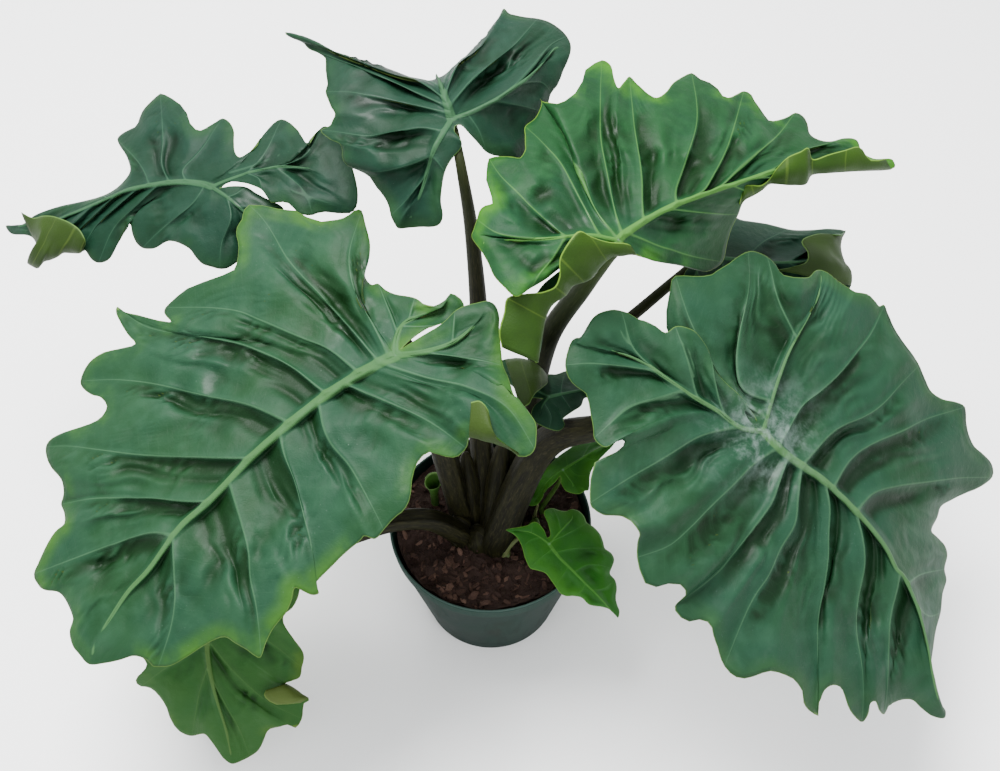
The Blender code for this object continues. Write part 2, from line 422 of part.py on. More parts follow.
        "flaps": [[((845, 230), (842, 236, .004)), ((842, 238), (820, 234, .008)),
                 ((841, 248), (802, 240, .012)), ((845, 262), (807, 251, .014)),
                 ((850, 268), (806, 262, .012)), ((852, 275), (793, 267, .010)),
                 ((851, 286), (775, 270, .008))]],
    },
    "blade_low_left": {
        "foot": (214, 602), "foot_height": 0.205, "tip": (232, 764), "tip_height": 0.055, "roll": 0.0,
        "columns": (12, 6, 6),
        "midrib": [(214, 602, 0), (209, 622, .002), (207, 645, .004), (210, 672, .006), (217, 700, .005),
                   (225, 726, .001), (230, 750, -.006)],
        "rear_left": [(214, 602, 0), (238, 590, 0), (262, 580, -.006), (284, 576, -.014)],
        "rear_right": [(214, 602, 0), (192, 592, 0), (170, 580, -.006), (150, 570, -.014)],
        "edge": [(215, 592, 0), (224, 584, 0), (236, 572, -.004), (256, 562, -.012), (278, 560, -.020),
                 (295, 568, -.024), (300, 582, -.020), (298, 597), (292, 608, -.012), (284, 615, -.004),
                 (284, 624, 0), (294, 639), (302, 650, -.012), (304, 658), (302, 667, -.014), (300, 677),
                 (292, 681, -.008), (285, 684, -.004), (291, 687), (297, 691), (302, 695, -.008), (306, 697),
                 (310, 700, -.012), (304, 704), (303, 712), (302, 719, -.014), (296, 728), (288, 725),
                 (280, 727, -.006), (270, 729), (266, 734), (263, 742), (258, 751), (250, 757, -.018),
                 (242, 761),
                 (232, 764, -.012), (224, 759), (218, 751), (211, 741), (204, 734, -.004), (192, 736, -.014),
                 (184, 734), (177, 729), (171, 720), (167, 708, -.008), (162, 699), (155, 691), (149, 687),
                 (141, 686, -.018), (136, 682), (137, 677), (142, 672), (147, 664, -.006), (138, 652),
                 (122, 638), (112, 620, -.020), (118, 600), (126, 588, -.012), (122, 574), (128, 560, -.024),
                 (146, 556, -.026), (166, 562), (182, 570, -.010), (198, 580, -.002), (208, 588)],
        "veins": [("li", (250, 585), (253, 574), (256, 562)), ("lo", (262, 580), (280, 590), (298, 597)),
                  ("ml", (213, 606), (240, 624), (268, 640), (302, 667)),
                  ("ml", (208, 640), (235, 672), (266, 700), (302, 719)),
                  ("ml", (211, 676), (226, 705), (240, 730), (250, 757)),
                  ("mr", (208, 664), (200, 690), (196, 712), (192, 736)),
                  ("mr", (208, 636), (185, 655), (162, 670), (141, 686)),
                  ("mr", (211, 612), (180, 612), (145, 614), (112, 620)),
                  ("ro", (185, 589), (150, 597), (118, 600)), ("ri", (180, 586), (174, 575), (166, 562))],
        "notches": [(284, 624), (285, 684), (280, 727), (204, 734), (167, 708), (147, 664), (126, 588)],
        "flaps": [[((285, 684), (266, 690, .008)), ((291, 687), (264, 695, .010)),
                 ((297, 691), (268, 700, .010)), ((302, 695), (277, 704, .008)),
                 ((306, 697), (293, 704, .002)), ((310, 700), (310, 700, -.012))]],
    },
    "blade_centre": {
        "foot": (549, 397), "foot_height": 0.415, "tip": (612, 386), "tip_height": 0.39, "roll": 0.0,
        "columns": (8, 4, 6),
        "midrib": [(549, 397, 0), (562, 394, .002), (576, 391, .003), (590, 389, .002), (604, 387, -.002)],
        "rear_left": [(549, 397, 0), (545, 402, -.001), (541, 409, -.004), (540, 416, -.008)],
        "rear_right": [(549, 397, 0), (540, 392, -.001), (528, 386, -.004), (518, 380, -.010),
                       (508, 372, -.018)],
        "edge": [(543, 398, -.001), (540, 401), (534, 406, -.005), (531, 414), (533, 421, -.008), (540, 425),
                 (549, 429, -.008), (559, 431), (565, 425, -.006), (563, 419, -.002), (572, 412), (581, 406),
                 (585, 398, -.004), (596, 399), (606, 394), (612, 386, -.006), (606, 380), (598, 376, -.006),
                 (588, 371), (576, 369), (565, 371, -.002), (556, 374), (549, 374), (547, 377, -.001),
                 (545, 373, 0), (540, 367),
                 (531, 361, 0), (520, 358), (512, 358, -.006), (503, 360, -.014), (500, 370, -.020),
                 (506, 380, -.024), (516, 389), (528, 397, -.012), (536, 398)],
        "veins": [("lo", (545, 403), (551, 416), (549, 429)), ("ml", (562, 394), (566, 402), (572, 412)),
                  ("mr", (588, 389), (590, 382), (588, 371)), ("mr", (560, 395), (562, 384), (565, 371)),
                  ("ro", (535, 390), (538, 380), (540, 367)),
                  ("ro", (522, 382), (521, 372), (520, 358)), ("ri", (524, 384), (520, 388), (516, 389))],
        "notches": [(563, 419), (598, 376)],
        "flaps": [[((547, 377), (547, 378, .001)), ((545, 373), (546, 384, .008)),
                 ((540, 367), (541, 389, .012)), ((531, 361), (536, 393, .014)),
                 ((520, 358), (532, 399, .014)), ((512, 358), (529, 405, .012)),
                 ((503, 360), (518, 410, .008))]],
    },
    "blade_pup_right": {
        "foot": (563, 470), "foot_height": 0.262, "tip": (616, 440), "tip_height": 0.27, "roll": 0.0,
        "columns": (8, 4, 4),
        "midrib": [(563, 470, 0), (572, 464, .002), (582, 458, .003), (594, 451, .002), (608, 444, -.002)],
        "rear_left": [(563, 470, 0), (556, 474, -.001), (548, 481, -.004), (542, 489, -.010),
                      (536, 497, -.016)],
        "rear_right": [(563, 470, 0), (568, 477, -.001), (573, 485, -.005)],
        "edge": [(560, 476, -.001), (557, 480), (550, 487), (544, 490), (543, 497, -.010), (537, 505),
                 (530, 506, -.020), (525, 503), (528, 498), (533, 494), (534, 486, -.008), (538, 476),
                 (541, 471), (549, 465, -.004), (554, 460), (560, 455), (567, 450, -.003), (575, 445),
                 (584, 442),
                 (593, 440, -.006), (603, 439), (611, 438), (616, 440, -.008), (613, 446), (606, 453),
                 (599, 460, -.006), (594, 466), (590, 475), (589, 489, -.010), (585, 491), (579, 494),
                 (571, 493, -.010), (565, 490), (561, 483), (561, 479, -.002)],
        "veins": [("li", (550, 479), (549, 484), (544, 490)), ("lo", (552, 478), (544, 478), (534, 486)),
                  ("ml", (570, 466), (566, 458), (567, 450)), ("ml", (586, 456), (588, 448), (593, 440)),
                  ("mr", (585, 457), (591, 459), (599, 460)), ("mr", (567, 468), (577, 475), (590, 475))],
        "notches": [],
    },
    "blade_pup_front": {
        "foot": (549, 544), "foot_height": 0.255, "tip": (619, 618), "tip_height": 0.185, "roll": 0.0,
        "columns": (12, 7, 6),
        "midrib": [(549, 544, 0), (558, 556, .001), (570, 568, .002), (585, 583, .002), (600, 598, .001),
                   (610, 609, -.001)],
        "rear_left": [(549, 544, 0), (541, 538, 0), (532, 533, -.001), (524, 531, -.003), (514, 530, -.005)],
        "rear_right": [(549, 544, 0), (557, 535, 0), (565, 526, -.001), (572, 518, -.004)],
        "edge": [(547, 538, 0), (544, 530, .001), (538, 523), (533, 522, .001), (528, 525), (520, 527, -.003),
                 (512, 528), (506, 530, -.008), (513, 534), (518, 539), (522, 547, -.003), (525, 558),
                 (530, 568, -.006), (536, 570), (545, 573), (550, 579), (555, 586, -.003), (560, 593),
                 (566, 596, -.005), (574, 596), (582, 598), (588, 604, -.003), (594, 606), (602, 607),
                 (610, 610),
                 (618, 618, -.005), (620, 611), (618, 606), (616, 598), (617, 588), (615, 580, -.005),
                 (610, 574),
                 (611, 568, -.004), (613, 560), (610, 554), (604, 549, -.005), (602, 542), (599, 534),
                 (593, 527), (587, 523, -.005), (584, 516), (579, 511), (572, 509, -.008), (566, 511),
                 (559, 510),
                 (553, 508, -.008), (547, 509), (544, 513, -.003), (547, 521), (550, 530, .001), (550, 536)],
        "veins": [("li", (532, 533), (532, 528), (533, 522)), ("lo", (538, 536), (530, 540), (522, 547)),
                  ("ml", (553, 550), (540, 558), (530, 568)), ("ml", (566, 564), (562, 576), (555, 586)),
                  ("ml", (585, 583), (582, 590), (574, 596)), ("mr", (593, 591), (604, 588), (615, 580)),
                  ("mr", (572, 570), (590, 564), (611, 568)), ("mr", (556, 553), (576, 548), (604, 549)),
                  ("ro", (553, 540), (570, 532), (587, 523)), ("ri", (565, 526), (558, 520), (553, 508))],
        "notches": [],
    },
}

# Each stalk: the blade it carries, its foot in the soil in metres, its radii at the soil, half way and at the
# blade, the places it passes as (across, down, height) and how far its end stands below the blade's plane
STALKS = {
    "petiole_front_left": ("blade_front_left", (-0.036, 0.010), (0.0150, 0.0150, 0.0060),
                           [(440, 440, 0.34), (420, 390, 0.44)], 0.0),
    "petiole_front_right": ("blade_front_right", (0.008, -0.026), (0.0210, 0.0180, 0.0065),
                            [(540, 450, 0.33), (596, 428, 0.40), (680, 424, 0.425)], 0.0003),
    "petiole_top": ("blade_top", (-0.003, 0.010), (0.0155, 0.0120, 0.0042),
                    [(478, 400, 0.32), (479, 320, 0.42), (472, 235, 0.53), (462, 172, 0.61)], -0.0003),
    "petiole_upper_left": ("blade_upper_left", (-0.020, 0.042), (0.0120, 0.0100, 0.0050),
                           [(440, 400, 0.26), (370, 300, 0.335), (290, 232, 0.390)], -0.0006),
    "petiole_upper_right": ("blade_upper_right", (0.029, 0.009), (0.0150, 0.0150, 0.0080),
                            [(526, 420, 0.31), (547, 340, 0.42), (584, 286, 0.51)], 0.0012),
    "petiole_back_right": ("blade_back_right", (0.024, 0.042), (0.0110, 0.0080, 0.0060),
                           [(552, 400, 0.29), (600, 345, 0.35), (655, 297, 0.39)], 0.0001),
    "petiole_low_left": ("blade_low_left", (-0.036, -0.022), (0.0140, 0.0120, 0.0050),
                         [(430, 520, 0.225), (391, 522, 0.222), (340, 540, 0.212), (290, 560, 0.195)], -0.0003),
    "petiole_centre": ("blade_centre", (0.057, 0.033), (0.0050, 0.0042, 0.0025),
                       [(545, 455, 0.27), (549, 425, 0.33)], 0.0003),
    "petiole_pup_right": ("blade_pup_right", (0.064, 0.016), (0.0035, 0.0030, 0.0018),
                          [(556, 487, 0.215), (560, 480, 0.240)], -0.0003),
    "petiole_pup_front": ("blade_pup_front", (0.050, -0.008), (0.0035, 0.0030, 0.0018),
                          [(536, 520, 0.205), (540, 532, 0.23)], 0.0006),
}
SPROUT_FOOT = (-0.070, 0.030)
SPROUT_RADIUS = 0.0052
SPROUT_HEIGHT = 0.052
SPROUT_SIDES = 16
SPROUT_OUTSIDE = ((0.0092, 0.0), (0.0110, 0.0008), (0.0115, -0.0026), (0.0105, -0.0104), (0.0076, -0.0230),
                  (SPROUT_RADIUS, -0.0320))
SPROUT_INSIDE = ((0.0, -0.0190), (0.0040, -0.0160), (0.0081, -0.0065), (0.0092, 0.0))


def sight_line(place):
    """The directions from the eye through places (..., 2) of the picture."""
    u = (place[..., 0] - PICTURE_MIDDLE[0]) / FOCAL
    v = (place[..., 1] - PICTURE_MIDDLE[1]) / FOCAL
    cosine, sine = math.cos(EYE_PITCH), math.sin(EYE_PITCH)
    return np.stack([u, cosine - sine * v, -sine - cosine * v], -1)


def at_height(across, down, height):
    """The point at that height on the sight line through a place of the picture."""
    line = sight_line(np.array([across, down], float))
    return EYE + line * (height - EYE[2]) / line[2]


def blade_plane(blade):
    """The foot of a blade and the unit normal of its plane, which faces up."""
    foot = at_height(*blade["foot"], blade["foot_height"])
    if blade.get("level"):
        return foot, np.array([0.0, 0.0, 1.0])
    along = at_height(*blade["tip"], blade["tip_height"]) - foot
    along /= np.linalg.norm(along)
    side = np.cross(along, (0.0, 0.0, 1.0))
    side /= np.linalg.norm(side)
    roll = math.radians(blade["roll"])
    return foot, np.cross(side, along) * math.cos(roll) + side * math.sin(roll)


def lifted(places, foot, normal):
    """Points for places (..., 3) of across, down and lift above the plane through foot."""
    line = sight_line(places[..., :2])
    reach = ((foot - EYE) @ normal + places[..., 2]) / (line @ normal)
    return EYE + line * reach[..., None]


def smooth_steps(x, y, at):
    """Monotone cubic through (x, y), where y is (n, ...) and x rises: it never swings past a given value."""
    x, at = np.asarray(x, float), np.asarray(at, float)
    shape = (-1,) + (1,) * (y.ndim - 1)
    gap = np.diff(x).reshape(shape)
    slope = np.diff(y, axis=0) / gap
    mild = np.where(slope[1:] * slope[:-1] > 0,
                    2 * slope[1:] * slope[:-1] / (slope[1:] + slope[:-1] + 1e-30 * np.sign(slope[1:])), 0)
    tangent = np.concatenate([slope[:1], mild, slope[-1:]])
    i = np.clip(np.searchsorted(x, at, side="right") - 1, 0, len(x) - 2)
    width = gap[i]
    t = ((at - x[i]) / np.diff(x)[i]).reshape(shape)
    return (y[i] * (2 * t**3 - 3 * t**2 + 1) + y[i + 1] * (3 * t**2 - 2 * t**3)
            + tangent[i] * width * (t**3 - 2 * t**2 + t) + tangent[i + 1] * width * (t**3 - t**2))


def curve_through(points, at):
    """Catmull-Rom curve through points (n, k), read at parameters from 0 to n - 1."""
    padded = np.concatenate([2 * points[:1] - points[1:2], points, 2 * points[-1:] - points[-2:-1]])
    i = np.clip(np.floor(at).astype(int), 0, len(points) - 2)
    t = (at - i)[:, None]
    a, b, c, d = (padded[i + k] for k in range(4))
    return b + 0.5 * t * (c - a + t * (2 * a - 5 * b + 4 * c - d + t * (3 * (b - c) + d - a)))


def travelled(points):
    """How far along a line of places each one is, from 0 to 1."""
    steps = np.linalg.norm(np.diff(points[:, :2], axis=0), axis=1)
    return np.concatenate([[0.0], np.cumsum(steps)]) / steps.sum()


def fraction_on(rib, place):
    """How far along a rib, from 0 to 1, a place lies."""
    at = np.linspace(0, len(rib) - 1, CURVE_STEPS)
    line = curve_through(rib, at)
    return travelled(line)[np.argmin(np.linalg.norm(line[:, :2] - np.array(place, float), axis=1))]


def point_on(rib, fraction):
    """The point of a rib at fractions of its length."""
    at = np.linspace(0, len(rib) - 1, CURVE_STEPS)
    line = curve_through(rib, at)
    return np.stack([np.interp(fraction, travelled(line), line[:, k]) for k in range(3)], -1)


def edge_with_lifts(edge):
    """The edge's places with every lift filled in between the given ones, the last place joined to the first."""
    edge = list(edge) + [edge[0]]
    count = np.arange(len(edge))
    given = [i for i, place in enumerate(edge) if len(place) == 3]
    lifts = np.interp(count, given, [edge[i][2] for i in given])
    return np.array([[*place[:2], lift] for place, lift in zip(edge, lifts)], float)


def section_columns(columns):
    """For each section, its rib, the column at the rib's foot and the step towards the rib's end."""
    middle, left, right = columns
    mid_foot, right_foot = 2 * left, 2 * left + 2 * middle
    return {
        "li": ("rear_left", 0, 1, left),
        "lo": ("rear_left", mid_foot, -1, left),
        "ml": ("midrib", mid_foot, 1, middle),
        "mr": ("midrib", right_foot, -1, middle),
        "ro": ("rear_right", right_foot, 1, right),
        "ri": ("rear_right", right_foot + 2 * right, -1, right),
    }


def rib_of_column(column, columns):
    """The rib that a column stands on and its fraction along it. The last column of a rib stands a little short
    of the rib's end, and leads on to the tip of its lobe."""
    for rib, foot, step, count in section_columns(columns).values():
        steps = (column - foot) * step
        if 0 <= steps <= count:
            return rib, SPINE_REACH[rib] * (steps / count) ** SPINE_CROWDING[rib]
    raise ValueError(column)


def edge_index(edge, place, after):
    """The index of the edge's place nearest to the given one, past an earlier index."""
    reach = np.linalg.norm(edge[:, :2] - np.array(place, float), axis=1)
    reach[:after + 1] = np.inf
    reach[-1] = np.inf
    return int(np.argmin(reach))


def blade_lines(blade):
    """The side veins of a blade in order: the column and the edge index of each, and its places from rib to
    edge. The ends of the ribs and the notch behind the foot are lines too, so that the blade closes."""
    columns = blade["columns"]
    sections = section_columns(columns)
    middle, left, right = columns
    total = 2 * sum(columns)
    edge = edge_with_lifts(blade["edge"])
    ends = [("rear_left", left), ("midrib", 2 * left + middle), ("rear_right", total - right)]
    entries = []
    for section, *places in blade["veins"]:
        rib, foot, step, count = sections[section]
        fraction = min(LAST_ROOT, fraction_on(np.array(blade[rib], float), places[0]) / SPINE_REACH[rib])
        column = foot + step * count * fraction ** (1 / SPINE_CROWDING[rib])
        entries.append((column, places))
    for rib, column in ends:
        last = blade[rib][-1]
        entries.append((column, [last, last, blade["tip"] if rib == "midrib" else last[:2]]))
    entries.sort(key=lambda entry: entry[0])
    wanted = np.array([entry[0] for entry in entries])
    fixed = {column for _, column in ends}
    placed = np.round(wanted)
    for i in range(1, len(placed)):
        if wanted[i] not in fixed:
            placed[i] = max(placed[i], placed[i - 1] + COLUMNS_PER_VEIN)
    placed = np.minimum(placed, total - COLUMNS_PER_VEIN)
    for i in range(len(placed) - 2, -1, -1):
        if wanted[i] not in fixed:
            placed[i] = min(placed[i], placed[i + 1] - COLUMNS_PER_VEIN)
    lines, after = [], 0
    for column, (_, places) in zip(placed, entries):
        index = edge_index(edge, places[-1], after)
        lines.append((float(column), index, places[1:-1]))
        after = index
    return edge, lines, total


def blade_grid(blade, columns_at, rows):
    """The blade as a grid of points, a row of columns round the ribs for each step from rib to edge, in places
    and lifts, with the share of the way from one side vein to the next at each column."""
    edge, lines, total = blade_lines(blade)
    t = np.asarray(rows, float)[:, None]
    ribs = {name: np.array(blade[name], float) for name in SPINE_CROWDING}

    def on_spine(column):
        """The point of the ribs under a column."""
        rib, fraction = rib_of_column(column, blade["columns"])
        return point_on(ribs[rib], fraction)

    def bow(column, index, places):
        """How far a vein bends away from the straight way between its ends, at each row."""
        start, end = on_spine(column), edge[index]
        between = np.array([[*place[:2], 0.0] for place in places], float).reshape(-1, 3)
        points = np.concatenate([[start], between, [end]])
        dense = curve_through(points, np.linspace(0, len(points) - 1, VEIN_STEPS))
        line = np.stack([np.interp(t[:, 0], travelled(dense), dense[:, k]) for k in range(3)], -1)
        line[:, 2] = (start + (end - start) * t)[:, 2]
        arch = HALF_ARCH * min(1.0, np.linalg.norm(end[:2] - start[:2]) / ARCH_REACH)
        return line - (start + (end - start) * t) + t * (1 - t) * (0.0, 0.0, 4 * arch)

    every = [(0.0, 0, [])] + lines + [(float(total), len(edge) - 1, [])]
    at_lines = np.array([line[0] for line in every])
    marks = {column: index for column, index, _ in every}
    for place in blade["notches"]:
        index = edge_index(edge, place, 0)
        after = next(k for k, line in enumerate(every) if line[1] > index)
        if every[after - 1][1] < index:
            marks.setdefault(round((every[after - 1][0] + every[after][0]) / 2), index)
    order = sorted(marks)
    on_edge = smooth_steps(order, np.array([[marks[column]] for column in order], float), columns_at)[:, 0]
    spine = np.stack([on_spine(column) for column in columns_at])[:, None]
    rim = curve_through(edge, on_edge)[:, None]
    bows = np.stack([bow(*line) for line in every])
    grid = spine + (rim - spine) * t + smooth_steps(at_lines, bows, columns_at)
    share = np.interp(columns_at, at_lines, np.arange(len(at_lines))) % 1.0
    return grid, share, on_edge


def blade_points(blade, columns_at, rows):
    """The blade's upper face in metres. Between two side veins it sinks into a furrow beside the midrib and
    rises into a ridge that runs out to the notch of the edge: both are sin(pi share)^2 wide."""
    foot, normal = blade_plane(blade)
    grid, share, on_edge = blade_grid(blade, columns_at, rows)
    rows = np.asarray(rows, float)[None, :]
    between = np.sin(np.pi * share)[:, None] ** 2
    reach = np.linalg.norm(grid[:, -1, :2] - grid[:, 0, :2], axis=1)[:, None]
    size = np.clip(reach / RELIEF_REACH, 0, 1)
    from_foot = np.linalg.norm(grid[..., :2] - blade["foot"], axis=-1)
    size = size * np.clip(from_foot / FLAT_FOOT - FLAT_SHARE, 0, 1)
    furrow = VEIN_FURROW * between * np.sin(np.pi * np.clip(rows / FURROW_END, 0, 1)) ** 2
    ridge = EDGE_RIDGE * between * np.sin(np.pi * np.clip((rows - RIDGE_START) / RIDGE_SPAN, 0, 1)) ** 2
    grid = grid.copy()
    grid[..., 2] += size * (ridge - furrow)
    return lifted(grid, foot, normal), on_edge


def flap_points(blade, flap, on_edge, rows):
    """The points of a flap: where the edge has curled up and over, the leaf goes on from its crest, the edge
    of the grid, back over the blade to its own free edge. It leaves the crest upwards and then bends over:
    the lift gains FLAP_ROLL 4 t (1 - t) and the way across goes with t^1.5. Only the columns whose place on the
    edge lies along the flap are given, with their numbers."""
    foot, normal = blade_plane(blade)
    edge = edge_with_lifts(blade["edge"])
    starts, after = [], 0
    for crest, _ in flap:
        after = edge_index(edge, crest, after)
        starts.append(after)
    free = np.array([place for _, place in flap], float)
    inside = np.nonzero((on_edge >= starts[0]) & (on_edge <= starts[-1]))[0]
    near = curve_through(edge, on_edge[inside])[:, None, :]
    far = curve_through(free, np.interp(on_edge[inside], starts, np.arange(len(free))))[:, None, :]
    t = np.asarray(rows, float)[None, :, None]
    points = near + (far - near) * t**1.5
    width = np.linalg.norm((far - near)[..., :2], axis=-1)
    t = t[..., 0]
    roll = FLAP_ROLL * np.clip(width / FLAP_WIDE, 0, 1)
    points[..., 2] = near[..., 2] + (far - near)[..., 2] * t + roll * 4 * t * (1 - t)
    return lifted(points, foot, normal), inside


def clear_scene():
    """An empty scene."""
    for thing in list(bpy.data.objects):
        bpy.data.objects.remove(thing, do_unlink=True)


def finish(name):
    """The named surface finish."""
    if name in bpy.data.materials:
        return bpy.data.materials[name]
    colour, roughness = COLOURS[name]
    material = bpy.data.materials.new(name)
    material.use_nodes = True
    shader = material.node_tree.nodes["Principled BSDF"]
    shader.inputs["Base Color"].default_value = colour
    shader.inputs["Roughness"].default_value = roughness
    shader.inputs["Metallic"].default_value = 0.0
    material.diffuse_color = colour
    return material


def add_object(name, data, surface, collection):
    """An object for the data, in the collection, with its finish."""
    thing = bpy.data.objects.new(name, data)
    collection.objects.link(thing)
    data.materials.append(finish(surface))
    return thing


def add_blade(name, collection):
    """A leaf blade: the grid round its ribs split into triangles, given its thickness downwards."""
    blade = BLADES[name]
    total = 2 * sum(blade["columns"])
    columns_at = np.arange(total, dtype=float)
    rows = PLAIN_ROWS
    points, on_edge = blade_points(blade, columns_at, rows)
    mesh = bmesh.new()
    on_rib = {}
    grid = []
    for column in range(total):
        key = rib_of_column(column, blade["columns"])
        key = key if key[1] > 0 else ("foot", 0.0)
        if key not in on_rib:
            on_rib[key] = mesh.verts.new(points[column, 0])
        grid.append([on_rib[key]] + [mesh.verts.new(point) for point in points[column, 1:]])
    for column in range(total):
        here, there = grid[column], grid[(column + 1) % total]
        for row in range(len(rows) - 1):
            a, b, c, d = here[row], here[row + 1], there[row + 1], there[row]
            for corners in ((a, b, c), (a, c, d)):
                if len(set(corners)) == 3:
                    mesh.faces.new(corners)
    for flap in blade.get("flaps", ()):
        beyond, inside = flap_points(blade, flap, on_edge, FLAP_ROWS)
        strips = [[grid[column][-1]] + [mesh.verts.new(point) for point in line[1:]]
                  for column, line in zip(inside, beyond)]
        for here, there in zip(strips, strips[1:]):
            for row in range(len(FLAP_ROWS) - 1):
                mesh.faces.new((here[row], here[row + 1], there[row + 1]))
                mesh.faces.new((here[row], there[row + 1], there[row]))
    if mesh.faces and sum(face.normal.z * face.calc_area() for face in mesh.faces) < 0:
        bmesh.ops.reverse_faces(mesh, faces=mesh.faces)
    data = bpy.data.meshes.new(name)
    mesh.to_mesh(data)
    mesh.free()
    data.shade_smooth()
    thing = add_object(name, data, "pup" if "pup" in name else "blade", collection)
    sheet = thing.modifiers.new("Thickness", "SOLIDIFY")
    sheet.thickness = BLADE_THICKNESS
    sheet.offset = -1.0
    split = thing.modifiers.new("Split", "TRIANGULATE")
    split.quad_method = "FIXED"
    return thing


def stalk_line(name):
    """The middle line of a stalk and its radii, from its foot down in the soil to just under the blade."""
    blade_name, (x, y), (foot_radius, mid_radius, top_radius), places, seat = STALKS[name]
    foot, normal = blade_plane(BLADES[blade_name])
    bed = np.array([x, y, SOIL_TOP - STALK_DEPTH])
    knots = [bed, bed + (0, 0, STALK_DEPTH + STALK_UPRIGHT)] + [at_height(*place) for place in places]
    arrive = foot - knots[-1]
    arrive /= np.linalg.norm(arrive)
    tilt = math.sqrt(max(0.0, 1 - (arrive @ normal) ** 2))
    end = foot - normal * (BLADE_THICKNESS + seat + top_radius * tilt)
    knots = np.array(knots + [end])
    upper = curve_through(knots[1:], np.linspace(0, len(knots) - 2, STALK_POINTS))
    line = np.concatenate([knots[:1], upper])
    steps = np.linalg.norm(np.diff(upper, axis=0), axis=1)
    share = np.concatenate([[0.0], np.cumsum(steps)]) / steps.sum()
    radii = np.interp(share, (0.0, STALK_MIDDLE, 1.0), (foot_radius, mid_radius, top_radius))
    return line, np.concatenate([[foot_radius], radii])


def add_stalk(name, collection):
    """A stalk as a tapered round curve with flat ends."""
    line, radii = stalk_line(name)
    data = bpy.data.curves.new(name, "CURVE")
    data.dimensions = "3D"
    data.bevel_depth = 1.0
    data.bevel_resolution = 2
    data.use_fill_caps = True
    spline = data.splines.new("POLY")
    spline.points.add(len(line) - 1)
    for point, place, radius in zip(spline.points, line, radii):
        point.co = (*place, 1.0)
        point.radius = radius
    return add_object(name, data, "pup" if "pup" in name else "petiole", collection)


def turned(name, profile, surface, collection, steps=ROUND_STEPS):
    """A shape turned about the z axis from its profile of (radius, height), which runs down the outer side."""
    mesh = bmesh.new()
    verts = [mesh.verts.new((radius, 0.0, height)) for radius, height in profile]
    for a, b in zip(verts, verts[1:]):
        mesh.edges.new((a, b))
    data = bpy.data.meshes.new(name)
    mesh.to_mesh(data)
    mesh.free()
    thing = add_object(name, data, surface, collection)
    screw = thing.modifiers.new("Turn", "SCREW")
    screw.steps = screw.render_steps = steps
    screw.use_merge_vertices = True
    screw.merge_threshold = 0.00001
    return thing


def cylinder(name, x, y, z, radius, depth, collection, sides):
    """An upright cutter whose lower end is at z."""
    mesh = bmesh.new()
    bmesh.ops.create_cone(mesh, cap_ends=True, segments=sides, radius1=radius, radius2=radius, depth=depth)
    bmesh.ops.translate(mesh, verts=mesh.verts, vec=(x, y, z + depth / 2))
    data = bpy.data.meshes.new(name)
    mesh.to_mesh(data)
    mesh.free()
    thing = bpy.data.objects.new(name, data)
    collection.objects.link(thing)
    thing.hide_render = True
    thing.display_type = "WIRE"
    return thing


def cut(thing, cutter):
    """Take the cutter away from the object."""
    step = thing.modifiers.new(cutter.name, "BOOLEAN")
    step.operation = "DIFFERENCE"
    step.solver = "EXACT"
    step.object = cutter


def pot_outer_radius(z):
    """The radius of the pot's outer wall at a height."""
    lip_foot = POT_HEIGHT - POT_LIP_HEIGHT
    return POT_BASE_RADIUS + (POT_RIM_RADIUS - POT_LIP_OUT - POT_BASE_RADIUS) * z / lip_foot


def pot_inner_radius(z):
    """The radius of the pot's inside at a height."""
    return pot_outer_radius(z) - POT_WALL


def add_pot(collection, cutters):
    """The pot: a thin turned wall with a lip band and a flat base with drain holes near its edge."""
    lip_foot = POT_HEIGHT - POT_LIP_HEIGHT
    rim = POT_RIM_RADIUS
    inner_lip = (rim - POT_WALL - POT_LIP_ROUND, POT_HEIGHT - POT_LIP_ROUND)
    profile = [
        inner_lip,
        (rim - POT_WALL, POT_HEIGHT),
        (rim - POT_LIP_ROUND, POT_HEIGHT),
        (rim, POT_HEIGHT - POT_LIP_ROUND),
        (rim - POT_LIP_LEAN, lip_foot + POT_LIP_ROUND / 2),
        (rim - POT_LIP_LEAN - POT_LIP_ROUND / 2, lip_foot),
        (pot_outer_radius(lip_foot), lip_foot - POT_LIP_ROUND / 2),
        (pot_outer_radius(POT_BASE_EDGE), POT_BASE_EDGE),
        (POT_BASE_RADIUS - POT_BASE_ROUND, 0.0),
        (0.0, 0.0),
        (0.0, POT_WALL),
        (pot_inner_radius(POT_WALL) - POT_BASE_ROUND, POT_WALL),
        (pot_inner_radius(POT_BASE_EDGE), POT_BASE_EDGE),
        (pot_inner_radius(lip_foot - POT_LIP_STEP), lip_foot - POT_LIP_STEP),
        (rim - POT_WALL - POT_LIP_STEP, lip_foot + POT_LIP_STEP),
        inner_lip,
    ]
    pot = turned("pot", profile, "pot", collection)
    pot.data.shade_smooth()
    for k in range(DRAIN_HOLES):
        angle = 2 * math.pi * (k + 0.5) / DRAIN_HOLES
        x, y = DRAIN_RING * math.cos(angle), DRAIN_RING * math.sin(angle)
        cut(pot, cylinder(f"drain_{k + 1}", x, y, -DRAIN_CUT / 2, DRAIN_RADIUS, DRAIN_CUT, cutters, DRAIN_SIDES))
    return pot


def soil_height(x, y):
    """The height of the lumpy soil over a place of the pot."""
    wide, fine = (noise.noise(Vector((x, y, 0.0)) * often) for often in SOIL_LUMPS_PER_METRE)
    return SOIL_TOP + SOIL_LUMP * (wide + fine / 2)


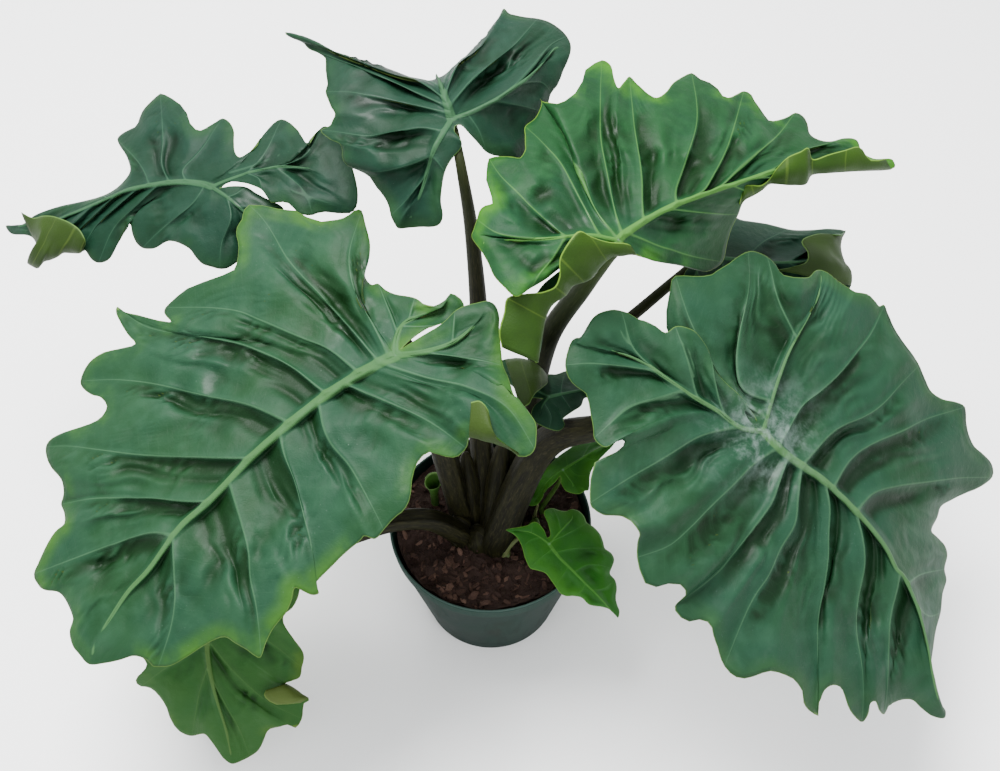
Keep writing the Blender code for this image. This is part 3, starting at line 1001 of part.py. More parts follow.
def add_soil(collection, cutters):
    """The soil: a turned plug that fills the pot, its top raised in lumps, with a plain hole for each stalk."""
    wall_gap = 1.5 * FIT_GAP
    shoulder = POT_HEIGHT - POT_LIP_HEIGHT - POT_LIP_STEP
    outline = [
        (pot_inner_radius(shoulder) - wall_gap, shoulder),
        (pot_inner_radius(POT_BASE_EDGE) - wall_gap, POT_BASE_EDGE + POT_BASE_ROUND / 2),
        (pot_inner_radius(POT_WALL) - POT_BASE_ROUND - 2 * wall_gap, POT_WALL + FIT_GAP),
    ]
    mesh = bmesh.new()

    def ring(radius, height=None):
        """A ring of points round the pot, on the lumpy top where no height is given."""
        angles = [2 * math.pi * k / ROUND_STEPS for k in range(ROUND_STEPS)]
        places = [(radius * math.cos(angle), radius * math.sin(angle)) for angle in angles]
        return [mesh.verts.new((x, y, soil_height(x, y) if height is None else height)) for x, y in places]

    loops = [ring(outline[0][0] * k / SOIL_RINGS) for k in range(1, SOIL_RINGS + 1)]
    loops += [ring(radius, height) for radius, height in outline]
    top = mesh.verts.new((0.0, 0.0, soil_height(0.0, 0.0)))
    bottom = mesh.verts.new((0.0, 0.0, outline[-1][1]))
    for k in range(ROUND_STEPS):
        after = (k + 1) % ROUND_STEPS
        mesh.faces.new((top, loops[0][k], loops[0][after]))
        mesh.faces.new((bottom, loops[-1][after], loops[-1][k]))
        for inner, outer in zip(loops, loops[1:]):
            mesh.faces.new((inner[k], outer[k], outer[after]))
            mesh.faces.new((inner[k], outer[after], inner[after]))
    data = bpy.data.meshes.new("soil")
    mesh.to_mesh(data)
    mesh.free()
    soil = add_object("soil", data, "soil", collection)
    stands = [(foot, radii[0]) for _, foot, radii, *_ in STALKS.values()] + [(SPROUT_FOOT, SPROUT_RADIUS)]
    for number, ((x, y), radius) in enumerate(stands, 1):
        low = SOIL_TOP - STALK_DEPTH - FIT_GAP
        hole = (radius + FIT_GAP) / math.cos(math.pi / HOLE_SIDES) + FIT_GAP
        cut(soil, cylinder(f"stalk_hole_{number}", x, y, low, hole, HOLE_REACH, cutters, HOLE_SIDES))
    return soil


def add_sprout(collection):
    """The rolled shoot: a short stalk that opens into a funnel with a thin lip."""
    low = SOIL_TOP - STALK_DEPTH
    lip = SOIL_TOP + SPROUT_HEIGHT
    outside = [(radius, lip + rise) for radius, rise in SPROUT_OUTSIDE]
    inside = [(radius, lip + rise) for radius, rise in SPROUT_INSIDE]
    profile = outside + [(SPROUT_RADIUS, low), (0.0, low)] + inside
    sprout = turned("sprout", profile, "pup", collection, steps=SPROUT_SIDES)
    sprout.location = (*SPROUT_FOOT, 0.0)
    sprout.data.shade_smooth()
    return sprout


def main():
    """Build the plant in its pot."""
    clear_scene()
    plant = bpy.data.collections.new("potted_low_rider_alocasia")
    cutters = bpy.data.collections.new("cutters")
    bpy.context.scene.collection.children.link(plant)
    bpy.context.scene.collection.children.link(cutters)
    add_pot(plant, cutters)
    add_soil(plant, cutters)
    for name in STALKS:
        add_stalk(name, plant)
    for name in BLADES:
        add_blade(name, plant)
    add_sprout(plant)


main()
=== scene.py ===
"""Looks for a potted low rider alocasia, laid out as an add-on and run as a script.

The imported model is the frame: +Z up, metres, the pot resting at the origin and the viewer on -Y. Every leaf is
drawn as the frame's own is, from places on a picture 1000 wide and 771 high seen by a fixed eye, with a lift in
metres above the leaf's plane, and then gets its veins, puckers, keels and margins.
"""

import math

import bpy
import numpy as np
from bpy.props import FloatProperty, FloatVectorProperty, IntProperty, PointerProperty
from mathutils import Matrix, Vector


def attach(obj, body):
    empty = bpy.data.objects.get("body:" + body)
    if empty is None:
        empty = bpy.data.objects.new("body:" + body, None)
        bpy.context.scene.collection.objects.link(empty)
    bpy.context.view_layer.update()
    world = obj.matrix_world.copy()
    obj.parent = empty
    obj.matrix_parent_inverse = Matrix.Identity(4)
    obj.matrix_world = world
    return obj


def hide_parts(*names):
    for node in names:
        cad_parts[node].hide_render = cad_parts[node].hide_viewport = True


bl_info = {
    "name": "Potted Low Rider Alocasia",
    "version": (1, 0, 0),
    "blender": (4, 5, 0),
    "location": "3D View > Sidebar > Alocasia",
    "description": "Builds the leaves, stalks, pot and bark mix of a potted low rider alocasia",
    "category": "Add Mesh",
}

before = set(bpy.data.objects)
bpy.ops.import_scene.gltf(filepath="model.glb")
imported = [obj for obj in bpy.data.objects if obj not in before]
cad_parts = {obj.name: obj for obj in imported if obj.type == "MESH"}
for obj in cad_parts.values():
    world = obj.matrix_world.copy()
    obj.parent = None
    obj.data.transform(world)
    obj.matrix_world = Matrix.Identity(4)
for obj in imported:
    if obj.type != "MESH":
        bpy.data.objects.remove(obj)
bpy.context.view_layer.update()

# The eye and its sight lines
EYE = np.array([0.012, -0.734, 1.438])
EYE_PITCH = math.radians(53.0)
FOCAL = 1160.0
PICTURE_MIDDLE = (500.0, 385.5)
PICTURE_WIDTH = 1000.0
SENSOR = 36.0
PAINT_STRENGTH = 0.37

# The frame's sizes that the pieces keep: the pot, the soil, how stalks leave it, and the blades' arching and
# flaps. FLAT_FOOT, ARCH_REACH, RELIEF_REACH and FLAP_WIDE are distances in the picture
POT_BASE_RADIUS = 0.087
POT_WALL = 0.0025
POT_LIP_HEIGHT = 0.019
POT_LIP_OUT = 0.0035
POT_LIP_LEAN = 0.0014
POT_BASE_EDGE = 0.004
DRAIN_HOLES = 6
DRAIN_RADIUS = 0.006
DRAIN_RING = 0.060
SOIL_TOP = 0.177
STALK_DEPTH = 0.030
STALK_UPRIGHT = 0.012
STALK_MIDDLE = 0.45
BLADE_THICKNESS = 0.0009
HALF_ARCH = 0.006
ARCH_REACH = 100.0
FLAT_FOOT = 40.0
FLAT_SHARE = 0.3
RELIEF_REACH = 120.0
FLAP_ROLL = 0.006
FLAP_WIDE = 25.0
FLAP_RIPPLE = 0.0006
SPROUT_LIP = 0.0112
SPROUT_DEEP = 0.034

# How the columns of a blade's grid stand on its ribs, and the steps along curves
SPINE_CROWDING = {"midrib": 1.5, "rear_left": 1.15, "rear_right": 1.15}
SPINE_REACH = {"midrib": 0.93, "rear_left": 0.80, "rear_right": 0.80}
LAST_ROOT = 0.98
COLUMNS_PER_VEIN = 2
CURVE_STEPS = 400
VEIN_STEPS = 60

# How the leaves are worked out. ROW_CROWD brings rows together at the ribs, FAR stands for out of reach, and
# EASE_ROUNDS and NORMAL_ROUNDS say how often the grid is eased and its normals are shared out. The relief's
# distances are in the picture: PANEL_WIDTH and PUCKER_WIDTHS are how wide the space between two veins is where its
# relief and its puckers are full, PLEAT_WIDTH is the width of a pleat, SHADE_REACH is how far a vein shades the leaf
# below it, SHADE_SIDE points to the shaded side, and RIB_CLEAR is how far from its rib a furrow begins.
# PANEL_SKEW moves the deepest place towards the upper vein and CREST_POWER narrows the crests
WAVE_COUNT = 16
FAR = 50.0
ROW_CROWD = 0.55
FLAP_COUNT = 16
EASE_ROUNDS = 60
NORMAL_ROUNDS = 4
PLACE_SIZE = 0.0011
PANEL_WIDTH = 20.0
PUCKER_WIDTHS = (6.0, 34.0)
PLEAT_WIDTH = 20.0
RIB_CLEAR = (2.0, 9.0)
SHADE_REACH = 38.0
SHADE_SIDE = (0.45, 1.0)
PANEL_SKEW = 0.58
CREST_POWER = 1.3
DENT_WIDTH = 0.10

# Ribs: points along each, half widths in metres at foot and tip, and the side ribs that fork off the drawn veins,
# as places, with the distance in the picture over which a fork fades
RIB_STEPS = 240
RIB_WIDTHS = {"midrib": (0.0042, 0.0010), "rear_left": (0.0024, 0.0007), "rear_right": (0.0024, 0.0007)}
FORKS = {
    "blade_front_right": ("692,377 690,358 683,344", "678,396 650,400 626,408 609,424", "628,344 619,330"),
    "blade_upper_left": ("230,173 253,166 276,156 298,148", "292,191 315,199 341,208"),
}
FORK_WIDTH = 1.3

# Each blade's looks: its size against the largest, the rows from rib to edge, a seed and its finish. Some have how
# wide their ribs are, how crumpled and how puckered they are, how strong their relief is for their size, and how
# far dust lies round their foot
LEAF_LOOKS = {
    "blade_front_left": {"size": 1.0, "rows": 62, "seed": 11, "finish": "big_leaf", "rib": 1.7},
    "blade_front_right": {"size": 1.0, "rows": 58, "seed": 23, "finish": "dark_leaf", "crumple": 0.55, "dust": 42.0},
    "blade_top": {"size": 0.85, "rows": 48, "seed": 31, "finish": "blue_leaf", "rib": 1.7},
    "blade_upper_left": {"size": 0.75, "rows": 44, "seed": 43, "finish": "blue_leaf", "rib": 1.4},
    "blade_upper_right": {"size": 0.9, "rows": 50, "seed": 57, "finish": "bright_leaf", "crumple": 1.7,
                          "pucker": 0.6},
    "blade_back_right": {"size": 0.7, "rows": 40, "seed": 61, "finish": "blue_leaf", "relief": 1.3},
    "blade_low_left": {"size": 0.8, "rows": 44, "seed": 71, "finish": "old_leaf", "relief": 0.65},
    "blade_centre": {"size": 0.5, "rows": 36, "seed": 83, "finish": "blue_leaf", "relief": 1.4},
    "blade_pup_right": {"size": 0.4, "rows": 30, "seed": 97, "finish": "young_leaf", "relief": 1.5},
    "blade_pup_front": {"size": 0.45, "rows": 34, "seed": 101, "finish": "young_leaf", "relief": 1.5},
}


def places(text):
    """The places of a text, their lifts in metres."""
    rows = ([float(n) for n in word.split(",")] for word in text.split())
    return [(*row[:2], *(n / 1000 for n in row[2:])) for row in rows]


def blade(midrib, rear_left, rear_right, edge, veins, notches="", flaps=(), level=False, **rest):
    """A blade's data, read from its texts."""
    return {
        **rest, "level": level, "edge": places(edge), "notches": places(notches),
        "midrib": places(midrib), "rear_left": places(rear_left), "rear_right": places(rear_right),
        "veins": [(line.split()[0], *places(line.strip()[2:])) for line in veins.split(";")],
        "flaps": [[tuple(places(pair)) for pair in flap.split(";")] for flap in flaps],
    }


# Each blade: foot and tip as (across, down) in the picture and their heights above the floor, roll of its plane
# in degrees, and numbers of columns on the two sides of its ribs. Ribs, the edge round to the foot, side veins by
# section, the notches and the flaps are texts of places: across,down or across,down,lift with the lift above the
# plane in millimetres. A flap's pairs are a place on the crest and the place above which its free edge stands
BLADES = {}
BLADES["blade_front_left"] = blade(
    foot=(396, 356), foot_height=0.5, tip=(90, 664), tip_height=0.33, roll=0.0, columns=(32, 7, 8),
    midrib="""
    396,356,0 370,368,0 330,392,2 290,423,4 250,458,6 210,500,6 180,527,4 150,568,0 128,592,-4 110,620,-10 96,646,-16
    """,
    rear_left="396,356,0 396,342,-2 401,328,-4 410,320,-6 424,315,-8 440,309,-12",
    rear_right="396,356,0 425,352,1 452,343,1 471,329,-3 483,313,-8",
    edge="""
    401,349,0 412,339 425,330 434,326,-4 446,322,-12 456,318,-18 464,310,-20 462,300 451,293,-12 445,300 430,307,-4
    415,298 395,294 385,289 378,283,-12 372,284 367,279 365,273 366,270,0 369,256 370,243 366,225,-4 362,211,-10
    355,211 347,217 340,220 330,221,-2 320,221 305,215 295,209 280,208 265,206 250,206,-12 244,213 242,220 237,227
    236,235 238,245 237,260 234,270,0 220,277 200,284 185,290 175,298 165,307,-12 164,313 170,321,-2 160,320 140,315
    125,312 118,307,-14 116,312 120,322 127,334 134,343,-1 120,348 105,352 93,360 86,370 82,382,-13 84,389 92,395
    100,397 106,406,-2 101,417 90,424 75,429 60,434 50,440 46,447,-16 47,457 52,468 61,479,-4 63,490 62,498 60,504,-16
    63,512 63,523,-6 55,530 48,540 42,552 38,562 34,574,-20 38,584 45,590 58,592 66,600 73,615,-12 73,622 70,632
    73,645 80,654 90,664,-22 105,663 120,660 134,656,-14 146,660 152,666 158,667,-20 170,666 185,658 200,648 212,641
    225,637,-10 235,643 247,650 255,656 261,657,-18 266,643 273,629 282,618 287,612 292,600 295,588,-6 303,591 312,595
    319,593,-16 315,585 320,578 330,568 345,553 360,541 365,536,-4 375,539 384,530,-12 395,518 403,512 408,505 411,495
    412,480 415,468 420,458 429,452,-2 440,455 450,457 458,456 466,448,-14 469,438,-4 476,438 484,440,2 494,442
    504,445,-2 512,449 521,456,-12 529,455 534,449 536,440 536,423 528,412 520,405 513,397,-4 508,380 503,366,-10
    501,350 499,330 499,316 495,305 487,301,-4 476,303 464,306 455,311,4 446,320 437,327,2 425,334 412,342
    """,
    veins="""
    li 401,328 418,327 434,326; lo 412,319 415,298; lo 398,333 388,308 378,283; ml 385,350 376,330 355,290 350,262
    357,230 362,211; ml 375,352 330,305 290,262 265,222 250,206; ml 355,370 330,350 300,337 260,320 230,310 165,307;
    ml 327,388 290,366 250,347 210,337 172,332 140,323 118,307; ml 285,413 250,405 200,395 160,385 120,380 82,382; ml
    243,459 200,457 160,456 110,452 70,447 46,447; ml 205,503 150,499 100,498 60,504; ml 178,530 150,533 110,545
    70,560 34,574; mr 173,540 174,570 175,600 170,630 158,667; mr 230,482 240,520 248,550 253,580 258,610 261,657; mr
    280,441 285,460 295,490 305,520 313,550 319,593; mr 320,407 330,440 350,467 368,498 384,530; mr 350,384 390,403
    430,422 466,448; mr 385,368 425,377 470,388 508,408 534,449; ro 425,354 465,358 503,366; ri 460,340 455,311
    """,
    notches="""
    430,307 366,270 330,221 234,270 170,321 134,343 106,406 61,479 63,523 73,615 134,656 225,637 295,588 365,536
    429,452 480,439 513,397 499,330
    """,
    flaps=(
    """
    469,438 471,402,14; 476,438 480,401,16; 484,440 487,408,16; 494,442 490,418,14; 504,445 489,429,12; 512,449
    499,440,4; 521,456 521,456,-12
    """,
    ),
)
BLADES["blade_front_right"] = blade(
    foot=(763, 432), foot_height=0.44, tip=(944, 718), tip_height=0.2, roll=0.0, columns=(30, 10, 14),
    midrib="""
    763,432,0 777,447,1 801,465,3 822,479,5 837,493,6 848,503,7 871,528,8 887,549,7 897,569,5 905,578,4 918,607,1
    928,644,-3 934,680,-8 940,706,-14
    """,
    rear_left="763,432,0 739,427,1 716,410,1 692,396,0 664,377,-4 638,360,-10 610,350,-18 582,344,-28",
    rear_right="763,432,0 771,403,1 780,375,0 790,350,-3 806,322,-9 817,300,-14 821,279,-20",
    edge="""
    757,421,0 754,415 740,396,0 725,382 713,367 709,353,6 702,341 694,332 685,328 675,327 665,333,-4 655,326 645,321
    638,319 630,314 621,311,-22 612,310 600,313 593,318 588,326,-22 581,337 576,338 571,342,-32 567,353 565,365,-30
    568,377 574,385 581,390 587,396 590,412 593,427 594,438,-18 600,445 607,447,-4 614,443 621,439,0 626,441 626,446
    620,452 610,456 600,459 594,463,-14 592,472 590,481 590,503,-20 595,510 604,515 615,516 626,517,-10 632,520
    638,528,0 641,536,-2 639,544 638,558,-16 641,573 646,584 654,587 660,586 670,583 679,584 685,590,-4 685,597
    680,601 675,606,-20 676,612 683,619 691,622 700,620 708,622 713,628,-6 715,638 718,647 720,657 724,666,-20 731,674
    739,678 749,678 760,674 770,671,-6 780,673 791,678 796,684 801,691 803,702 809,710 820,717,-30 817,708 821,700
    825,690 833,685,-14 841,688 845,698,-22 849,709 855,717 862,722,-34 867,716 869,705 873,700,-22 878,710
    884,714,-34 889,705 900,700 912,700,-26 921,708 932,716 944,718,-24 945,710 939,704 937,691 932,680 930,669,-20
    933,648 936,630 941,612,-30 943,594 947,580 945,569,-45 948,555 945,545 937,537 931,530,-34 937,517 941,506
    953,500 966,494 980,487 993,477,-50 992,464 983,454 974,446 969,434,-30 967,422 966,407,-32 957,402 945,399
    934,391,-14 927,379 920,365,-14 912,353,-10 904,342 896,329 890,316 885,305,-18 880,306 876,301 869,294 858,291,-6
    851,287 839,280 829,273 821,270,-24 815,271 809,277 801,278,-8 789,277 781,274 779,270 775,263 768,256 758,251,-22
    749,251 739,256 727,265,-20 718,270 711,275 700,276,-16 688,275 676,275,-22 671,281 670,291,-24 667,304
    666,318,-26 668,335 677,351,-28 691,368 707,385,-24 725,402 740,415,-14 752,423,-5
    """,
    veins="""
    li 722,416 718,395 709,353; li 692,396 690,377 684,356 675,327; li 640,361 632,346 621,311; lo 630,356 600,364
    565,365; lo 678,387 650,400 626,410 594,438; lo 742,427 700,437 657,462 626,480 590,503; ml 778,447 749,467
    728,488 710,506 688,528 667,546 638,558; ml 790,457 777,485 769,503 751,530 733,555 715,576 675,606; ml 800,464
    797,497 793,524 778,549 767,576 751,603 724,666; ml 827,484 830,508 829,535 827,567 823,598 819,632 820,717; ml
    858,513 862,537 863,564 858,598 857,632 860,666 862,722; ml 894,568 896,598 889,632 884,670 884,714; mr 920,615
    930,616 941,612; mr 905,578 922,574 945,569; mr 855,509 873,494 896,486 923,482 955,478 993,477; mr 829,486
    851,460 879,441 905,429 934,417 966,407; mr 801,464 834,431 865,417 882,405 900,384 920,365; mr 777,446 801,410
    822,389 846,363 870,335 885,305; ri 798,336 778,300 768,256; ri 770,405 744,390 738,365 740,335 748,289 749,251;
    ri 766,420 736,396 706,352 688,318 676,275
    """,
    notches="665,333 607,447 626,517 685,590 713,628 770,671 833,685 873,700 931,530 969,434 934,391 858,291 801,278",
)
BLADES["blade_top"] = blade(
    foot=(452, 119), foot_height=0.64, tip=(438, 92), tip_height=0.48, roll=0.0, columns=(14, 9, 10), level=True,
    midrib="452,119,0 446,100,10 439,80,10 436,74,-15 436,78,-70 437,86,-130",
    rear_left="452,119,0 443,133,1 434,150,-8 428,170,-28 420,195,-48 412,213,-68",
    rear_right="452,119,0 475,110,4 500,97,4 525,80,0 545,62,-6 556,48,-12",
    edge="""
    455,126,2 455,132 461,140,-2 461,148 451,160 445,172,-24 442,188 441,202,-50 443,215 440,224,-70 432,227 422,227
    410,228,-82 399,229 394,224 390,216,-70 388,207 385,200 380,193 374,186,-58 369,178 361,173 352,169,-46 345,164
    342,157 342,150 340,144,-30 334,141 328,138 321,131,-36 330,126 333,120 335,114,-20 331,107 328,100 325,91,-20
    327,84 326,76 325,67 325,58,-16 318,53 309,49,-20 303,42 292,37 285,33,-16 299,34 312,42 330,55,-50 350,67,-80
    372,79,-110 395,90,-135 420,97,-150 438,98,-160 452,92,-150 467,81,-130 482,66,-100 494,48,-70 498,26,-34
    503,9,-12 511,14 523,16 538,17,-10 550,20 560,27 567,36,-20 571,46 569,58,-20 563,71 558,84 551,93,-36 548,103
    546,114,-50 540,130,-56 531,148,-58 518,160 508,157,-46 496,156 486,152,-30 478,143 470,134,-4 461,125,1
    """,
    veins="""
    li 432,155 438,162 445,172; lo 424,184 408,198 390,216; lo 432,158 405,166 378,172 352,169; lo 444,131 421,128
    398,131 371,135 321,131; ml 451,115 413,105 380,98 350,93 325,91; ml 449,108 415,92 380,76 345,62 309,49; ml
    446,100 420,82 385,72 345,56 312,41 285,33; ml 441,86 424,80 402,77 382,75 372,79; mr 441,86 452,68 468,55 480,57
    482,66; mr 444,95 456,68 475,45 490,27 503,9; mr 448,106 472,80 497,59 514,45 528,30 538,17; ro 512,90 533,66
    550,46 567,36; ri 520,84 540,82 551,93; ri 490,103 523,106 546,114; ri 468,113 478,130 486,152
    """,
    notches="441,202 340,144 335,114 325,58 569,58 540,130",
)
BLADES["blade_upper_left"] = blade(
    foot=(212, 187), foot_height=0.465, tip=(6, 226), tip_height=0.355, roll=-20.0, columns=(18, 7, 7),
    midrib="""
    212,187,0 202,184,1 185,182,3 165,183,4 146,186,5 127,190,5 108,198,3 88,207,-2 66,216,-8 48,222,-14 28,226,-22
    """,
    rear_left="212,187,0 227,197,-1 238,206,-6 249,216,-14 259,226,-24",
    rear_right="212,187,0 231,179,1 256,171,1 283,167,-4 310,169,-14 332,178,-28",
    edge="""
    220,188,0 232,186,-2 246,187,-6 256,193 267,199,-16 281,206,-24 284,213,-28 279,224,-34 270,235 260,245,-36
    251,252 243,257,-34 237,262,-28 228,268,-24 220,269 212,267 203,264 196,257 190,249 179,243,-6 170,241 164,243
    156,248 149,249 142,248,-16 136,243 132,234 130,224,-6 126,228 121,238 116,250 107,260 97,263,-20 90,259
    84,250,-12 79,253 71,253 63,253 57,257,-18 50,260 43,262 38,268,-24 32,266 27,262 33,256 38,250,-20 36,243 33,238
    26,235,-22 12,234 6,226,-30 14,226 24,224,-26 36,215 58,207,-14 80,202 99,197,-8 112,191 122,183 130,172,-4
    129,162 125,153 120,146 117,139,-18 121,134 128,130 136,126 139,119 142,111 147,105 154,98 160,93,-18 166,95
    173,99 181,105 187,113 190,123 196,130,-3 202,131 209,127 216,123 223,119,-16 230,123 234,131 234,142 235,152
    240,157,-1 250,151 258,146 260,138 265,131 273,122 281,118,-18 290,122 299,131 304,140 309,145,-4 314,138 318,131
    325,126,-22 335,133 346,148 352,166 357,185,-30 358,199 355,209 346,214,-30 323,212 313,215 304,215,-14 296,211
    290,204 281,202,-6 272,203 267,197 262,190,2 254,186 244,183,2 230,182
    """,
    veins="""
    li 226,197 236,194 246,187; li 240,206 258,208 281,206; lo 229,199 231,218 222,243 220,269; ml 205,185 192,204
    168,224 142,248; ml 160,184 138,204 114,228 97,263; ml 118,193 100,222 79,253; ml 100,202 78,232 57,257; ml 80,210
    58,240 32,266; ml 58,219 46,230 33,238; mr 110,197 105,197 99,197; mr 146,186 140,164 117,139; mr 160,184 162,164
    164,142 163,119 160,93; mr 175,182 183,170 196,156 208,142 223,119; ro 246,174 264,154 281,118; ro 276,168 304,156
    325,126; ri 285,167 303,190 313,215; ri 256,171 259,179 262,190
    """,
    notches="250,250 179,243 130,224 84,250 130,172 196,130 240,157 309,145",
    flaps=(
    """
    84,250 84,249,-6; 79,253 85,239,2; 63,253 80,230,6; 50,260 71,223,8; 38,268 62,219,8; 27,262 52,216,6; 38,250
    42,216,2; 36,243 33,218,-4; 33,238 21,212,-10
    """,
    ),
)
BLADES["blade_upper_right"] = blade(
    foot=(618, 241), foot_height=0.6, tip=(893, 162), tip_height=0.53, roll=12.0, columns=(24, 9, 9),
    midrib="""
    618,241,0 626,233,1 650,218,4 673,206,7 697,197,9 716,190,10 740,182,10 768,173,8 800,165,4 835,161,-2 862,161,-8
    878,162,-12
    """,
    rear_left="618,241,0 607,238,1 585,235,1 560,238,-2 535,240,-8 510,240,-18 488,239,-30",
    rear_right="""
    618,241,0 611,249,-3 601,257,-9 588,266,-16 575,274,-24 560,287,-34 548,301,-45 540,318,-55 536,340,-64
    536,356,-70
    """,
    edge="""
    612,243,-2 603,246 590,252,-8 574,260 560,268,-12 545,279 528,289,-18 516,297,-22 504,287 494,276 488,263 481,251
    472,238,-40 474,229 477,220 480,210 486,205 492,203,-20 490,192 486,180 487,168 489,159,-34 500,157 512,157
    520,158,-14 525,151 525,145 525,137 525,127,-24 535,119 541,108 542,100,-26 548,103 557,105,-10 567,101 576,93
    582,82 584,71 591,65 602,60,-24 611,66 614,78 618,88,-6 623,83 629,78,-16 638,86 647,93 657,97,-3 666,92 673,83
    683,76 692,72,-16 697,76 704,82 715,85 720,94 728,98,-3 737,94 744,91,-12 751,94 755,101 763,112 769,120,-3
    777,120 787,117 795,113,-14 803,116 808,123 811,133,-4 820,139 831,141 844,139,-10 856,141 862,152 874,158
    889,158,-12 894,161,-14 894,168,-16 871,170,-12 858,171 845,172,-8 828,173 812,175,-6 806,184 796,185,-10 786,185
    776,184,-10 769,184 762,190,-10 754,195 745,200,-12 741,206 738,214 731,229 727,244 723,262,-70 711,271 702,272
    692,270,-56 680,267 668,265 654,262,-30 645,258 637,254,-8 631,254 622,256,-7 614,256 607,261,-12 600,268
    592,278,-22 584,282 573,286,-30 566,295 557,301,-42 551,307 546,319,-52 543,335 541,345,-64 538,363,-74 532,357
    529,345,-66 526,325 528,310,-56 533,298 545,283,-40 558,272 572,262,-22 588,253 601,247,-8 610,243,-3
    """,
    veins="""
    li 560,238 550,262 528,290; lo 520,240 500,234 477,220; lo 560,238 540,215 517,191 500,175 489,159; lo 595,236
    583,205 560,165 540,142 525,127; lo 607,238 593,205 571,150 556,122 542,100; ml 622,237 615,211 609,183 603,149
    600,109 602,60; ml 645,221 641,183 639,152 634,121 629,78; ml 673,206 676,187 687,157 697,120 692,72; ml 697,197
    709,183 728,145 744,91; ml 716,190 744,164 775,138 795,113; ml 768,173 800,152 844,139; mr 840,161 845,166
    845,172; mr 800,165 807,170 812,175; mr 762,175 776,178 786,185; mr 728,186 745,191 754,195; mr 670,208 700,212
    722,214 738,214; mr 626,233 661,246 692,256 723,262; ro 603,256 607,259 607,261; ro 580,271 583,276 584,282; ro
    558,289 562,293 566,295; ro 541,314 544,317 546,319; ri 550,298 540,292 533,298; ri 588,266 580,262 572,262
    """,
    notches="492,203 520,158 557,105 618,88 657,97 728,98 769,120 811,133 654,262",
    flaps=(
    """
    894,168 890,158,-2; 871,170 869,160,6; 858,171 860,147,14; 845,172 846,150,14; 828,173 828,155,14; 812,175
    813,159,12; 806,184 808,148,24; 796,185 800,152,24; 786,185 787,158,20; 776,184 778,168,12; 769,184 770,178,2;
    762,190 761,185,0; 754,195 751,185,2; 745,200 744,187,2; 741,206 740,204,-10
    """,
    """
    637,254 631,246,0; 631,254 624,244,6; 622,256 612,243,12; 614,256 602,240,18; 607,261 590,236,24; 600,268
    579,231,28; 592,278 569,241,22; 584,282 560,258,10; 573,286 559,275,-2; 566,295 555,287,-10; 557,301 543,292,-20;
    551,307 524,294,-28; 546,319 507,298,-36; 543,335 504,313,-46; 541,345 499,332,-56; 538,363 502,348,-66
    """,
    ),
)
BLADES["blade_back_right"] = blade(
    foot=(702, 256), foot_height=0.42, tip=(850, 262), tip_height=0.375, roll=0.0, columns=(10, 5, 5),
    midrib="702,256,0 722,258,1 745,260,3 770,262,4 800,262,2 830,258,-4",
    rear_left="702,256,0 690,244,-2 676,228,-10 664,214,-20",
    rear_right="702,256,0 698,268,-4 694,281,-12 691,294,-22",
    edge="""
    693,258,-1 684,257 672,248,-8 656,232 648,214,-24 652,200 664,197,-26 678,204 692,211,-10 704,206 716,206,-14
    728,212 740,219,-4 752,221 768,223 789,228,-8 800,229 815,229,-4 830,228 845,230,-12 842,238 841,248,-12 845,262
    850,268,-14 852,275 851,286,-20 842,300,-30 828,306 812,302,-22 796,308 780,314,-34 764,308 752,300,-22 740,306
    726,312,-34 714,306 707,296,-20 701,303 693,306,-30 685,298 682,286,-22 684,274,-12 690,265
    """,
    veins="""
    li 680,232 668,236 656,232; lo 683,236 674,216 664,197; ml 712,257 714,232 716,206; ml 742,260 763,242 789,228; ml
    790,262 820,245 845,230; mr 800,262 822,280 842,300; mr 756,261 770,288 780,314; mr 720,258 725,286 726,312; ro
    696,274 704,284 707,296
    """,
    notches="692,211 740,219 815,229 812,302 752,300",
    flaps=(
    """
    845,230 842,236,4; 842,238 820,234,8; 841,248 802,240,12; 845,262 807,251,14; 850,268 806,262,12; 852,275
    793,267,10; 851,286 775,270,8
    """,
    ),
)
BLADES["blade_low_left"] = blade(
    foot=(214, 602), foot_height=0.205, tip=(232, 764), tip_height=0.055, roll=0.0, columns=(12, 6, 6),
    midrib="214,602,0 209,622,2 207,645,4 210,672,6 217,700,5 225,726,1 230,750,-6",
    rear_left="214,602,0 238,590,0 262,580,-6 284,576,-14",
    rear_right="214,602,0 192,592,0 170,580,-6 150,570,-14",
    edge="""
    215,592,0 224,584,0 236,572,-4 256,562,-12 278,560,-20 295,568,-24 300,582,-20 298,597 292,608,-12 284,615,-4
    284,624,0 294,639 302,650,-12 304,658 302,667,-14 300,677 292,681,-8 285,684,-4 291,687 297,691 302,695,-8 306,697
    310,700,-12 304,704 303,712 302,719,-14 296,728 288,725 280,727,-6 270,729 266,734 263,742 258,751 250,757,-18
    242,761 232,764,-12 224,759 218,751 211,741 204,734,-4 192,736,-14 184,734 177,729 171,720 167,708,-8 162,699
    155,691 149,687 141,686,-18 136,682 137,677 142,672 147,664,-6 138,652 122,638 112,620,-20 118,600 126,588,-12
    122,574 128,560,-24 146,556,-26 166,562 182,570,-10 198,580,-2 208,588
    """,
    veins="""
    li 250,585 253,574 256,562; lo 262,580 280,590 298,597; ml 213,606 240,624 268,640 302,667; ml 208,640 235,672
    266,700 302,719; ml 211,676 226,705 240,730 250,757; mr 208,664 200,690 196,712 192,736; mr 208,636 185,655
    162,670 141,686; mr 211,612 180,612 145,614 112,620; ro 185,589 150,597 118,600; ri 180,586 174,575 166,562
    """,
    notches="284,624 285,684 280,727 204,734 167,708 147,664 126,588",
    flaps=(
    """
    285,684 266,690,8; 291,687 264,695,10; 297,691 268,700,10; 302,695 277,704,8; 306,697 293,704,2; 310,700
    310,700,-12
    """,
    ),
)
